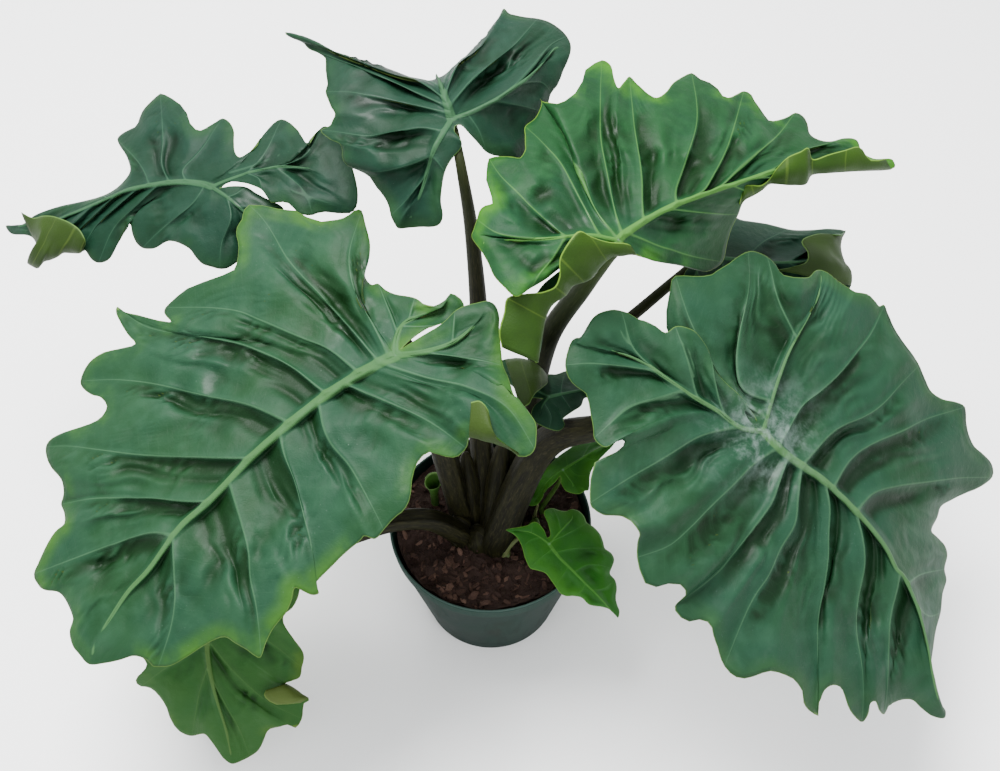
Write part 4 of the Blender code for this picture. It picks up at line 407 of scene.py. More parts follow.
BLADES["blade_centre"] = blade(
    foot=(549, 397), foot_height=0.415, tip=(612, 386), tip_height=0.39, roll=0.0, columns=(8, 4, 6),
    midrib="549,397,0 562,394,2 576,391,3 590,389,2 604,387,-2",
    rear_left="549,397,0 545,402,-1 541,409,-4 540,416,-8",
    rear_right="549,397,0 540,392,-1 528,386,-4 518,380,-10 508,372,-18",
    edge="""
    543,398,-1 540,401 534,406,-5 531,414 533,421,-8 540,425 549,429,-8 559,431 565,425,-6 563,419,-2 572,412 581,406
    585,398,-4 596,399 606,394 612,386,-6 606,380 598,376,-6 588,371 576,369 565,371,-2 556,374 549,374 547,377,-1
    545,373,0 540,367 531,361,0 520,358 512,358,-6 503,360,-14 500,370,-20 506,380,-24 516,389 528,397,-12 536,398
    """,
    veins="""
    lo 545,403 551,416 549,429; ml 562,394 566,402 572,412; mr 588,389 590,382 588,371; mr 560,395 562,384 565,371; ro
    535,390 538,380 540,367; ro 522,382 521,372 520,358; ri 524,384 520,388 516,389
    """,
    notches="563,419 598,376",
    flaps=(
    """
    547,377 547,378,1; 545,373 546,384,8; 540,367 541,389,12; 531,361 536,393,14; 520,358 532,399,14; 512,358
    529,405,12; 503,360 518,410,8
    """,
    ),
)
BLADES["blade_pup_right"] = blade(
    foot=(563, 470), foot_height=0.262, tip=(616, 440), tip_height=0.27, roll=0.0, columns=(8, 4, 4),
    midrib="563,470,0 572,464,2 582,458,3 594,451,2 608,444,-2",
    rear_left="563,470,0 556,474,-1 548,481,-4 542,489,-10 536,497,-16",
    rear_right="563,470,0 568,477,-1 573,485,-5",
    edge="""
    560,476,-1 557,480 550,487 544,490 543,497,-10 537,505 530,506,-20 525,503 528,498 533,494 534,486,-8 538,476
    541,471 549,465,-4 554,460 560,455 567,450,-3 575,445 584,442 593,440,-6 603,439 611,438 616,440,-8 613,446
    606,453 599,460,-6 594,466 590,475 589,489,-10 585,491 579,494 571,493,-10 565,490 561,483 561,479,-2
    """,
    veins="""
    li 550,479 549,484 544,490; lo 552,478 544,478 534,486; ml 570,466 566,458 567,450; ml 586,456 588,448 593,440; mr
    585,457 591,459 599,460; mr 567,468 577,475 590,475
    """,
)
BLADES["blade_pup_front"] = blade(
    foot=(549, 544), foot_height=0.255, tip=(619, 618), tip_height=0.185, roll=0.0, columns=(12, 7, 6),
    midrib="549,544,0 558,556,1 570,568,2 585,583,2 600,598,1 610,609,-1",
    rear_left="549,544,0 541,538,0 532,533,-1 524,531,-3 514,530,-5",
    rear_right="549,544,0 557,535,0 565,526,-1 572,518,-4",
    edge="""
    547,538,0 544,530,1 538,523 533,522,1 528,525 520,527,-3 512,528 506,530,-8 513,534 518,539 522,547,-3 525,558
    530,568,-6 536,570 545,573 550,579 555,586,-3 560,593 566,596,-5 574,596 582,598 588,604,-3 594,606 602,607
    610,610 618,618,-5 620,611 618,606 616,598 617,588 615,580,-5 610,574 611,568,-4 613,560 610,554 604,549,-5
    602,542 599,534 593,527 587,523,-5 584,516 579,511 572,509,-8 566,511 559,510 553,508,-8 547,509 544,513,-3
    547,521 550,530,1 550,536
    """,
    veins="""
    li 532,533 532,528 533,522; lo 538,536 530,540 522,547; ml 553,550 540,558 530,568; ml 566,564 562,576 555,586; ml
    585,583 582,590 574,596; mr 593,591 604,588 615,580; mr 572,570 590,564 611,568; mr 556,553 576,548 604,549; ro
    553,540 570,532 587,523; ri 565,526 558,520 553,508
    """,
)

# Each stalk: the blade it carries, its foot in the soil in metres, its radii at the soil, half way and at the
# blade, the places it passes as (across, down, height) and how far its end stands below the blade's plane
STALKS = {
    "petiole_front_left": ("blade_front_left", (-0.036, 0.010), (0.0150, 0.0150, 0.0060),
                           [(440, 440, 0.34), (420, 390, 0.44)], 0.0),
    "petiole_front_right": ("blade_front_right", (0.008, -0.026), (0.0210, 0.0180, 0.0065),
                            [(540, 450, 0.33), (596, 428, 0.40), (680, 424, 0.425)], 0.0003),
    "petiole_top": ("blade_top", (-0.003, 0.010), (0.0155, 0.0120, 0.0042),
                    [(478, 400, 0.32), (479, 320, 0.42), (472, 235, 0.53), (462, 172, 0.61)], -0.0003),
    "petiole_upper_left": ("blade_upper_left", (-0.020, 0.042), (0.0120, 0.0100, 0.0050),
                           [(440, 400, 0.26), (370, 300, 0.335), (290, 232, 0.390)], -0.0006),
    "petiole_upper_right": ("blade_upper_right", (0.029, 0.009), (0.0150, 0.0150, 0.0080),
                            [(526, 420, 0.31), (547, 340, 0.42), (584, 286, 0.51)], 0.0012),
    "petiole_back_right": ("blade_back_right", (0.024, 0.042), (0.0110, 0.0080, 0.0060),
                           [(552, 400, 0.29), (600, 345, 0.35), (655, 297, 0.39)], 0.0001),
    "petiole_low_left": ("blade_low_left", (-0.036, -0.022), (0.0140, 0.0120, 0.0050),
                         [(430, 520, 0.225), (391, 522, 0.222), (340, 540, 0.212), (290, 560, 0.195)], -0.0003),
    "petiole_centre": ("blade_centre", (0.057, 0.033), (0.0050, 0.0042, 0.0025),
                       [(545, 455, 0.27), (549, 425, 0.33)], 0.0003),
    "petiole_pup_right": ("blade_pup_right", (0.064, 0.016), (0.0035, 0.0030, 0.0018),
                          [(556, 487, 0.215), (560, 480, 0.240)], -0.0003),
    "petiole_pup_front": ("blade_pup_front", (0.050, -0.008), (0.0035, 0.0030, 0.0018),
                          [(536, 520, 0.205), (540, 532, 0.23)], 0.0006),
}
SPROUT_FOOT = (-0.070, 0.030)
SPROUT_RADIUS = 0.0052
SPROUT_HEIGHT = 0.052


def sight_line(place):
    """The directions from the eye through places (..., 2) of the picture."""
    u = (place[..., 0] - PICTURE_MIDDLE[0]) / FOCAL
    v = (place[..., 1] - PICTURE_MIDDLE[1]) / FOCAL
    cosine, sine = math.cos(EYE_PITCH), math.sin(EYE_PITCH)
    return np.stack([u, cosine - sine * v, -sine - cosine * v], -1)


def at_height(across, down, height):
    """The point at that height on the sight line through a place of the picture."""
    line = sight_line(np.array([across, down], float))
    return EYE + line * (height - EYE[2]) / line[2]


def unit(vectors):
    """The vectors (..., 3) at length one."""
    return vectors / np.maximum(np.linalg.norm(vectors, axis=-1, keepdims=True), 1e-12)


def blade_plane(blade):
    """The foot of a blade and the unit normal of its plane, which faces up."""
    foot = at_height(*blade["foot"], blade["foot_height"])
    if blade.get("level"):
        return foot, np.array([0.0, 0.0, 1.0])
    along = unit(at_height(*blade["tip"], blade["tip_height"]) - foot)
    side = unit(np.cross(along, (0.0, 0.0, 1.0)))
    roll = math.radians(blade["roll"])
    return foot, np.cross(side, along) * math.cos(roll) + side * math.sin(roll)


def lifted(places, foot, normal):
    """Points for places (..., 3) of across, down and lift above the plane through foot: where the sight line
    through the place meets the plane raised by the lift."""
    line = sight_line(places[..., :2])
    reach = ((foot - EYE) @ normal + places[..., 2]) / (line @ normal)
    return EYE + line * reach[..., None]


def smooth_steps(x, y, at):
    """Monotone cubic through (x, y), where y is (n, ...) and x rises: it never swings past a given value."""
    x, at = np.asarray(x, float), np.asarray(at, float)
    shape = (-1,) + (1,) * (y.ndim - 1)
    gap = np.diff(x).reshape(shape)
    slope = np.diff(y, axis=0) / gap
    mild = np.where(slope[1:] * slope[:-1] > 0,
                    2 * slope[1:] * slope[:-1] / (slope[1:] + slope[:-1] + 1e-30 * np.sign(slope[1:])), 0)
    tangent = np.concatenate([slope[:1], mild, slope[-1:]])
    i = np.clip(np.searchsorted(x, at, side="right") - 1, 0, len(x) - 2)
    width = gap[i]
    t = ((at - x[i]) / np.diff(x)[i]).reshape(shape)
    return (y[i] * (2 * t**3 - 3 * t**2 + 1) + y[i + 1] * (3 * t**2 - 2 * t**3)
            + tangent[i] * width * (t**3 - 2 * t**2 + t) + tangent[i + 1] * width * (t**3 - t**2))


def curve_through(points, at):
    """Catmull-Rom curve through points (n, k), read at parameters from 0 to n - 1."""
    padded = np.concatenate([2 * points[:1] - points[1:2], points, 2 * points[-1:] - points[-2:-1]])
    i = np.clip(np.floor(at).astype(int), 0, len(points) - 2)
    t = (at - i)[:, None]
    a, b, c, d = (padded[i + k] for k in range(4))
    return b + 0.5 * t * (c - a + t * (2 * a - 5 * b + 4 * c - d + t * (3 * (b - c) + d - a)))


def travelled(points):
    """How far along a line each of its points is, from 0 to 1."""
    steps = np.linalg.norm(np.diff(points, axis=0), axis=1)
    return np.concatenate([[0.0], np.cumsum(steps)]) / steps.sum()


def fraction_on(rib, place):
    """How far along a rib, from 0 to 1, a place lies."""
    line = curve_through(rib, np.linspace(0, len(rib) - 1, CURVE_STEPS))[:, :2]
    return travelled(line)[np.argmin(np.linalg.norm(line - np.array(place, float), axis=1))]


def point_on(rib, fraction):
    """The points of a rib at fractions of its length."""
    line = curve_through(rib, np.linspace(0, len(rib) - 1, CURVE_STEPS))
    return np.stack([np.interp(fraction, travelled(line[:, :2]), line[:, k]) for k in range(3)], -1)


def edge_with_lifts(edge):
    """The edge's places with every lift filled in between the given ones, the last place joined to the first."""
    edge = list(edge) + [edge[0]]
    given = [i for i, place in enumerate(edge) if len(place) == 3]
    lifts = np.interp(np.arange(len(edge)), given, [edge[i][2] for i in given])
    return np.array([[*place[:2], lift] for place, lift in zip(edge, lifts)], float)


def section_columns(columns):
    """For each section, its rib, the column at the rib's foot and the step towards the rib's end."""
    middle, left, right = columns
    mid_foot, right_foot = 2 * left, 2 * left + 2 * middle
    return {
        "li": ("rear_left", 0, 1, left),
        "lo": ("rear_left", mid_foot, -1, left),
        "ml": ("midrib", mid_foot, 1, middle),
        "mr": ("midrib", right_foot, -1, middle),
        "ro": ("rear_right", right_foot, 1, right),
        "ri": ("rear_right", right_foot + 2 * right, -1, right),
    }


def spine_points(blade, columns_at):
    """The ribs' points under an array of columns: steps / count along the section, crowded towards the foot."""
    columns_at = np.asarray(columns_at, float)
    spine = np.zeros((len(columns_at), 3))
    for rib, foot, step, count in section_columns(blade["columns"]).values():
        steps = (columns_at - foot) * step
        here = (steps >= 0) & (steps <= count)
        fraction = SPINE_REACH[rib] * (steps[here] / count) ** SPINE_CROWDING[rib]
        spine[here] = point_on(np.array(blade[rib], float), fraction)
    return spine


def edge_index(edge, place, after):
    """The index of the edge's place nearest to the given one, past an earlier index."""
    reach = np.linalg.norm(edge[:, :2] - np.array(place, float), axis=1)
    reach[:after + 1] = np.inf
    reach[-1] = np.inf
    return int(np.argmin(reach))


def blade_lines(blade):
    """The edge of a blade with its lifts, its side veins and rib ends in order, each as the column, the edge index
    and the places between rib and edge, and the column at which each rib ends. Veins whose roots crowd on a rib
    are moved apart to COLUMNS_PER_VEIN columns."""
    columns = blade["columns"]
    sections = section_columns(columns)
    middle, left, right = columns
    total = 2 * sum(columns)
    edge = edge_with_lifts(blade["edge"])
    ends = {"rear_left": left, "midrib": 2 * left + middle, "rear_right": total - right}
    entries = []
    for section, *places in blade["veins"]:
        rib, foot, step, count = sections[section]
        fraction = min(LAST_ROOT, fraction_on(np.array(blade[rib], float), places[0]) / SPINE_REACH[rib])
        entries.append((foot + step * count * fraction ** (1 / SPINE_CROWDING[rib]), places))
    for rib, column in ends.items():
        last = blade[rib][-1]
        entries.append((column, [last, last, blade["tip"] if rib == "midrib" else last[:2]]))
    entries.sort(key=lambda entry: entry[0])
    wanted = np.array([entry[0] for entry in entries])
    placed = np.round(wanted)
    for i in range(1, len(placed)):
        if wanted[i] not in ends.values():
            placed[i] = max(placed[i], placed[i - 1] + COLUMNS_PER_VEIN)
    placed = np.minimum(placed, total - COLUMNS_PER_VEIN)
    for i in range(len(placed) - 2, -1, -1):
        if wanted[i] not in ends.values():
            placed[i] = min(placed[i], placed[i + 1] - COLUMNS_PER_VEIN)
    lines, after = [], 0
    for column, (_, places) in zip(placed, entries):
        index = edge_index(edge, places[-1], after)
        lines.append((float(column), index, places[1:-1]))
        after = index
    return edge, lines, ends


def blade_grid(blade, edge, lines, columns_at, rows):
    """The blade as a grid of places and lifts: columns go round the ribs and rows run straight from rib to edge,
    each bent as the side veins on both sides of it are. Also the share of the way from one side vein to the
    next, the place on the edge, and the columns of the veins."""
    t = np.asarray(rows, float)[:, None]

    def bow(column, index, places):
        """How far a vein bends away from the straight way between its ends, at each row."""
        start, end = spine_points(blade, [column])[0], edge[index]
        between = np.array([[*place[:2], 0.0] for place in places], float).reshape(-1, 3)
        points = np.concatenate([[start], between, [end]])
        dense = curve_through(points, np.linspace(0, len(points) - 1, VEIN_STEPS))
        line = np.stack([np.interp(t[:, 0], travelled(dense[:, :2]), dense[:, k]) for k in range(3)], -1)
        line[:, 2] = (start + (end - start) * t)[:, 2]
        arch = HALF_ARCH * min(1.0, np.linalg.norm(end[:2] - start[:2]) / ARCH_REACH)
        return line - (start + (end - start) * t) + t * (1 - t) * (0.0, 0.0, 4 * arch)

    every = [(0.0, 0, [])] + lines + [(2.0 * sum(blade["columns"]), len(edge) - 1, [])]
    at_lines = np.array([line[0] for line in every])
    marks = {column: index for column, index, _ in every}
    for place in blade["notches"]:
        index = edge_index(edge, place, 0)
        after = next(k for k, line in enumerate(every) if line[1] > index)
        if every[after - 1][1] < index:
            marks.setdefault(round((every[after - 1][0] + every[after][0]) / 2), index)
    order = sorted(marks)
    on_edge = smooth_steps(order, np.array([[marks[column]] for column in order], float), columns_at)[:, 0]
    spine = spine_points(blade, columns_at)[:, None]
    rim = curve_through(edge, on_edge)[:, None]
    bows = np.stack([bow(*line) for line in every])
    grid = spine + (rim - spine) * t + smooth_steps(at_lines, bows, columns_at)
    share = np.interp(columns_at, at_lines, np.arange(len(at_lines)))
    return grid, share, on_edge, at_lines


def flap_grid(flap, edge, on_edge, rows):
    """The places and lifts of a flap: where the edge has curled up and over, the leaf goes on from its crest
    back over the blade to its own free edge. The way across goes with t^1.5 and the lift gains
    FLAP_ROLL 4 t (1 - t). Also the numbers of the columns that lie along it."""
    starts, after = [], 0
    for crest, _ in flap:
        after = edge_index(edge, crest, after)
        starts.append(after)
    inside = np.nonzero((on_edge >= starts[0]) & (on_edge <= starts[-1]))[0]
    free = np.array([place for _, place in flap], float)
    near = curve_through(edge, on_edge[inside])[:, None, :]
    far = curve_through(free, np.interp(on_edge[inside], starts, np.arange(len(free))))[:, None, :]
    t = rows[None, :, None]
    points = near + (far - near) * t**1.5
    width = np.linalg.norm((far - near)[..., :2], axis=-1)
    t = t[..., 0]
    points[..., 2] = (near[..., 2] + (far - near)[..., 2] * t
                      + FLAP_ROLL * np.clip(width / FLAP_WIDE, 0, 1) * 4 * t * (1 - t))
    return points, inside


def waves(points, length, seed):
    """An irregular smooth field of about unit height: WAVE_COUNT sine waves in seeded directions, their lengths
    spread about the given one in metres, added up."""
    rng = np.random.default_rng(seed)
    turns = 2 * math.pi / (length * rng.uniform(0.7, 1.6, WAVE_COUNT))
    direction = unit(rng.normal(size=(WAVE_COUNT, 3))) * turns[:, None]
    phase = rng.uniform(0, 2 * math.pi, WAVE_COUNT)
    return np.sin(points @ direction.T + phase).sum(-1) / math.sqrt(WAVE_COUNT / 2)


def fade(value, start, end):
    """0 below start and 1 above end with a smooth s between, or the reverse where end is below start."""
    t = np.clip((value - start) / (end - start), 0, 1)
    return t * t * (3 - 2 * t)


def hump(value, start, end):
    """sin^2 from 0 at start over 1 half way to 0 at end."""
    return np.sin(np.pi * np.clip((value - start) / (end - start), 0, 1)) ** 2


def apart(first, second):
    """The distances between points (..., k)."""
    return np.linalg.norm(first - second, axis=-1)


def eased(grid):
    """The grid with no cell the wrong way round in the picture: the points about such cells move to the middle
    of their four neighbours, in rounds, while the ribs and the rim stay."""
    for _ in range(EASE_ROUNDS):
        after = np.roll(grid, -1, 0)
        first, second = after[:, 1:, :2] - grid[:, :-1, :2], grid[:, 1:, :2] - after[:, :-1, :2]
        area = first[..., 0] * second[..., 1] - first[..., 1] * second[..., 0]
        wrong = area * np.sign(area.sum()) < 0
        near = np.zeros(grid.shape[:2], bool)
        near[:, :-1] |= wrong
        near[:, 1:] |= wrong
        for _ in range(2):
            near = np.roll(near, 1, 0) | np.roll(near, -1, 0) | near
        middle = (after[:, 1:-1] + np.roll(grid, 1, 0)[:, 1:-1] + grid[:, 2:] + grid[:, :-2]) / 4
        grid[:, 1:-1] = np.where(near[:, 1:-1, None], middle, grid[:, 1:-1])
    return grid


def vein_dents(past, along, panel, count, seed):
    """Two long dents between each pair of side veins, from the midrib out: exp(-((past - middle) / width)^2)
    across, with seeded middles, depths and lengths."""
    chance = np.random.default_rng(seed).uniform(size=(6, count))[:, panel][..., None]
    total = 0.0
    for first, start, longest in ((0, 0.14, 0.75), (3, 0.42, 0.50)):
        middle, length = start + 0.16 * chance[first], longest * (0.45 + 0.55 * chance[first + 1])
        deep = 0.30 + 0.70 * chance[first + 2]
        total = total + (deep * np.exp(-((past - middle - 0.06 * along) / DENT_WIDTH) ** 2)
                         * fade(along, length, length - 0.18))
    return total


def corner_normals(points, quads):
    """The unit normal at every point: the normals of its quads, weighted by their area, added up, and then
    shared out among neighbours NORMAL_ROUNDS times, so that no sliver turns one over."""
    a, b, c, d = (points[quads[:, k]] for k in range(4))
    face = np.cross(c - a, d - b)
    for _ in range(NORMAL_ROUNDS):
        total = np.stack([np.bincount(quads.ravel(), np.repeat(face[:, k], 4), len(points)) for k in range(3)], -1)
        face = total[quads].sum(1)
    return unit(total)


def beside_line(points, line):
    """How far points (n, m, k) lie beside a line and how far along it, from 0 to 1. What runs past the line's
    ends is counted in."""
    line = line.astype(np.float32)
    spots = points.reshape(-1, points.shape[-1]).astype(np.float32)
    tangent = unit(np.gradient(line, axis=0))
    gaps = (spots**2).sum(-1)[:, None] + (line**2).sum(-1)[None, :] - 2 * spots @ line.T
    nearest = gaps.argmin(-1)
    away = spots - line[nearest]
    along = (away * tangent[nearest]).sum(-1)
    inner = (nearest > 0) & (nearest < len(line) - 1)
    beside = np.where(inner, apart(away, along[:, None] * tangent[nearest]), np.linalg.norm(away, axis=-1))
    return beside.reshape(points.shape[:-1]), (nearest / (len(line) - 1)).reshape(points.shape[:-1])


def quads_between(index, closed):
    """The quads (n, 4) of a grid of point numbers, its first column joined to its last where closed."""
    if closed:
        index = np.concatenate([index, index[:1]])
    return np.stack([index[:-1, :-1], index[:-1, 1:], index[1:, 1:], index[1:, :-1]], -1).reshape(-1, 4)


def closed_skin(top, bottom, quads):
    """The points and the faces of a closed skin: two faces on the same quads, and a wall between them along every
    side that only one quad has. The walls and the lower face stand for material slots of their own."""
    sides = np.stack([quads, np.roll(quads, -1, 1)], -1).reshape(-1, 2)
    key = np.sort(sides, 1)
    _, first, times = np.unique(key[:, 0] * np.int64(len(top)) + key[:, 1], return_index=True, return_counts=True)
    rim = sides[first[times == 1]]
    walls = np.stack([rim[:, 1], rim[:, 0], rim[:, 0] + len(top), rim[:, 1] + len(top)], -1)
    return np.concatenate([top, bottom]), [quads, quads[:, ::-1] + len(top), walls]


def add_piece(name, points, faces, slot, materials, nodes=(), marks=None, slots=None, flat=False):
    """A piece from arrays: points (n, 3) and a list of face arrays, with named numbers on the points and the
    material slot of each list of faces. It stands at the origin, rides on the one body and stands for its CAD
    nodes."""
    mesh = bpy.data.meshes.new(name)
    mesh.from_pydata(points.tolist(), [], [face for group in faces for face in group.tolist()])
    if slots:
        numbers = np.concatenate([np.full(len(group), number) for group, number in zip(faces, slots)])
        mesh.polygons.foreach_set("material_index", numbers.astype(np.int32))
    for key, values in (marks or {}).items():
        mesh.attributes.new(key, "FLOAT", "POINT").data.foreach_set("value", np.asarray(values, np.float32))
    if flat:
        mesh.shade_flat()
    else:
        mesh.shade_smooth()
    mesh.update()
    piece = bpy.data.objects.new(name, mesh)
    bpy.context.scene.collection.objects.link(piece)
    for material in materials:
        mesh.materials.append(material)
    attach(piece, "root")
    if nodes:
        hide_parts(*nodes)
    return piece


def rib_twins(columns, detail):
    """For each column of a blade's grid, the one whose point on the rib it shares: both sides of a rib start on
    the same points, and the ribs start on the foot."""
    middle, left, right = (part * detail for part in columns)
    count = 2 * (middle + left + right)
    number = np.arange(count)
    twin = np.select([(number > left) & (number <= 2 * left),
                      (number > 2 * left + middle) & (number <= 2 * left + 2 * middle),
                      number > count - right],
                     [2 * left - number, 4 * left + 2 * middle - number, 2 * (count - right) - number], number)
    return np.where((number == 2 * left) | (number == 2 * left + 2 * middle) | (twin == count), 0, twin)


class Leaf:
    """What a blade's grid says about itself: columns round its ribs, rows from rib to edge."""

    def __init__(self, name, settings):
        """The eased grid of places and lifts, the side veins' columns, and where each point lies in its panel,
        the space between two side veins."""
        self.blade, self.looks, self.settings = BLADES[name], LEAF_LOOKS[name], settings
        self.name, self.size = name, self.looks["size"]
        self.foot, self.normal = blade_plane(self.blade)
        self.edge, lines, self.ends = blade_lines(self.blade)
        self.index_at = {column: index for column, index, _ in lines}
        columns_at = np.arange(2 * sum(self.blade["columns"]) * settings.detail) / settings.detail
        x = np.linspace(0, 1, self.looks["rows"])
        self.rows = ROW_CROWD * x**2.2 + (1 - ROW_CROWD) * x
        self.along = self.rows[None, :]
        self.grid, share, self.on_edge, self.at_lines = blade_grid(
            self.blade, self.edge, lines, columns_at, self.rows)
        eased(self.grid)
        self.past = (share % 1.0)[:, None]
        self.before = np.clip(np.floor(share).astype(int), 0, len(self.at_lines) - 2)
        self.line_at = (self.at_lines * settings.detail).astype(int) % len(columns_at)
        self.from_foot = apart(self.grid[..., :2], self.blade["foot"])
        self.off_rib = fade(apart(self.grid[..., :2], self.grid[:, :1, :2]), *RIB_CLEAR)

    def seeded(self, points, length, number):
        """Waves with one of the leaf's own seeds."""
        return waves(points, length, self.looks["seed"] + number)

    def raise_panels(self):
        """Lift the grid by its broad relief: the leaf sinks beside the midrib between the side veins, rises
        towards the notches, and has dents, pleats and soft crumples. Keeps what the fine relief and the colours
        need: the panels' width, the side below each vein where shade is painted, the strength, and low, the
        painted shade and light of the relief: darker in the dents, furrows and crumples and on that side of the
        veins, lighter on ridges and pleats."""
        grid, along, past, before = self.grid, self.along, self.past, self.before
        across = (grid[self.line_at[before + 1]] - grid[self.line_at[before]])[..., :2]
        self.width = np.linalg.norm(across, axis=-1)
        down = fade((across @ np.array(SHADE_SIDE)).mean(1), -10.0, 10.0)[:, None]

        def falling(profile):
            """A profile of the share from the upper of the two veins in the picture to the lower one."""
            return down * profile(past) + (1 - down) * profile(1 - past)

        between = falling(lambda q: np.abs(np.sin(np.pi * q**PANEL_SKEW)) ** CREST_POWER)
        # shaded: the side below each vein that faces away from the light in the picture, where the colour gets
        # painted shade; it also makes the puckers stronger there
        self.shaded = falling(
            lambda q: fade(q, 0.0, 0.09) * fade(q, 0.75, 0.20) * fade(q * self.width, SHADE_REACH, 10.0))
        reach = apart(grid[:, -1, :2], grid[:, 0, :2])[:, None]
        near_foot = np.clip(self.from_foot / FLAT_FOOT - FLAT_SHARE, 0, 1)
        self.strength = (np.clip(reach * self.looks.get("relief", 1.0) / RELIEF_REACH, 0, 1) * near_foot
                         * fade(self.width, 3.0, PANEL_WIDTH))
        furrow = between * self.off_rib * fade(along, 1.0, 0.35)
        ridge = between * hump(along, 0.45, 1.05)
        dents = self.off_rib * falling(
            lambda q: vein_dents(q, along, before, len(self.at_lines), self.looks["seed"] + 5))
        field = np.concatenate([grid[..., :2] * PLACE_SIZE, 0 * grid[..., :1]], -1)
        wander = self.seeded(field, 0.05, 6)
        folds = np.clip(np.round(self.width.mean(1, keepdims=True) / PLEAT_WIDTH), 1, 3) + 0.5
        pleats = between * np.cos(2 * math.pi * (folds * past + 0.30 * wander)) * hump(along, 0.02, 1.0)
        crumples = (self.looks.get("crumple", 1.0) * self.seeded(field, 0.030, 7) * hump(along, 0.02, 1.0)
                    * np.clip(0.6 + self.seeded(field, 0.08, 8), 0, 1.2))
        settings = self.settings
        grid[..., 2] += self.strength * (
            settings.ridge_height * ridge - settings.furrow_depth * furrow - settings.dent_depth * dents
            + settings.pleat_height * pleats - settings.crumple_depth * crumples)
        # low is painted shade and light: it darkens the colour in the dents, furrows and crumples and on the shaded
        # side below each vein, and lightens it on ridges and pleats
        self.low = 0.22 + self.strength * fade(along, 1.05, 0.7) * self.off_rib * (
            0.52 * self.shaded * (0.65 + 0.35 * np.clip(wander, -1, 1)) + 0.42 * dents + 0.18 * furrow
            - 0.16 * pleats) - 0.16 * ridge + 0.12 * crumples

    def join_flaps(self):
        """The points of the blade and, after them, of its flaps, and the quads between them all, facing the way
        of the plane's normal. Also the points and columns of each flap."""
        self.points = lifted(self.grid, self.foot, self.normal)
        index = np.arange(self.points[..., 0].size).reshape(self.points.shape[:2])
        index[:, 0] = index[rib_twins(self.blade["columns"], self.settings.detail), 0]
        flat, quads = self.points.reshape(-1, 3), [quads_between(index, True)]
        self.flaps = []
        for flap in self.blade["flaps"]:
            places, inside = flap_grid(flap, self.edge, self.on_edge, np.linspace(0, 1, FLAP_COUNT))
            self.flaps.append((lifted(places, self.foot, self.normal), inside))
            flap_index = len(flat) + np.arange(len(inside) * FLAP_COUNT).reshape(-1, FLAP_COUNT)
            flap_index[:, 0] = index[inside, -1]
            quads.append(quads_between(flap_index, False))
            flat = np.concatenate([flat, self.flaps[-1][0].reshape(-1, 3)])
        quads = np.concatenate(quads)
        a, b, c, d = (flat[quads[:, k]] for k in range(4))
        return flat, quads if (np.cross(c - a, d - b) @ self.normal).sum() >= 0 else quads[:, ::-1]

    def find_veins(self):
        """How far each point lies beside the nearest side vein, in metres and in half widths of the vein, and
        beside the nearest rib in its half widths, with how far along that rib. A vein's half width goes with
        1.2 + 1.3 exp(-row / 0.05) - 0.75 row, and forks count as veins that fade towards their ends."""
        points, grid, looks = self.points, self.grid, self.looks
        is_vein = np.array([column not in self.ends.values() for column in self.at_lines])
        is_vein[0] = is_vein[-1] = False
        tangent = unit(np.gradient(points, axis=1))

        def beside(which):
            """The distance from each column's points to the vein before or after it, along the row."""
            vein = self.line_at[which]
            away = points - points[vein]
            away = away - (away * tangent[vein]).sum(-1, keepdims=True) * tangent[vein]
            return np.where(is_vein[which][:, None], np.linalg.norm(away, axis=-1), FAR)

        self.gap = np.minimum(beside(self.before), beside(self.before + 1))
        width = self.settings.vein_width * self.size * (1.2 + 1.3 * np.exp(-self.rows / 0.05) - 0.75 * self.rows)
        self.vein = self.gap / width[None, :]
        self.rib, self.rib_share = np.full(points.shape[:2], FAR), np.zeros(points.shape[:2])
        for rib, (wide, narrow) in RIB_WIDTHS.items():
            path = np.array(self.blade[rib], float)
            tip = self.blade["tip"] if rib == "midrib" else self.edge[self.index_at[self.ends[rib]]]
            path = np.concatenate([path, [[*tip[:2], path[-1, 2]]]])
            line = lifted(point_on(path, np.linspace(0, 1, RIB_STEPS)), self.foot, self.normal)
            gap, way = beside_line(points, line)
            ratio = gap / (self.size * looks.get("rib", 1.2) * (wide + (narrow - wide) * way**0.8))
            nearer = ratio < self.rib
            self.rib = np.where(nearer, ratio, self.rib)
            self.rib_share = np.where(nearer, way, self.rib_share)
        for path in FORKS.get(self.name, ()):
            line = curve_through(np.array(places(path)), np.linspace(0, len(path.split()) - 1, RIB_STEPS))
            gap, way = beside_line(grid[..., :2], line)
            self.vein = np.minimum(self.vein, gap / FORK_WIDTH + 0.9 * way**3)

    def fine_relief(self):
        """How far the upper and the lower face leave the grid along the normals, and how deep the keels stand
        out below. Chevron puckers, sin(2 pi (travel - 0.9 gap) / length) with a finer set across them, run from
        vein to vein where the panel is wide, veins and ribs stand up, and slow waves carry both faces."""
        settings, size, along = self.settings, self.size, self.along
        steps = apart(self.points[:, 1:], self.points[:, :-1])
        self.travel = np.concatenate([np.zeros((len(steps), 1)), np.cumsum(steps, axis=1)], 1)
        rough = 0.5 + 0.5 * np.clip(self.seeded(self.points, 0.060, 0), -1, 1)
        warp = self.seeded(self.points, 0.045, 1)
        length = settings.pucker_length
        chevron = np.sin(2 * math.pi * (self.travel - 0.9 * self.gap) / length + 1.6 * warp)
        second = np.sin(2 * math.pi * (self.travel + 0.5 * self.gap) / (0.62 * length) + 2.1 * warp)
        panel = fade(self.gap, 0.001, 0.007) * hump(along, 0.02, 1.2) * self.strength
        crumple = self.looks.get("pucker", self.looks.get("crumple", 1.0))
        pucker = (settings.pucker_height * crumple * rough * panel * (0.35 + 0.9 * self.shaded)
                  * fade(self.width, *PUCKER_WIDTHS) * (chevron + 0.4 * second))
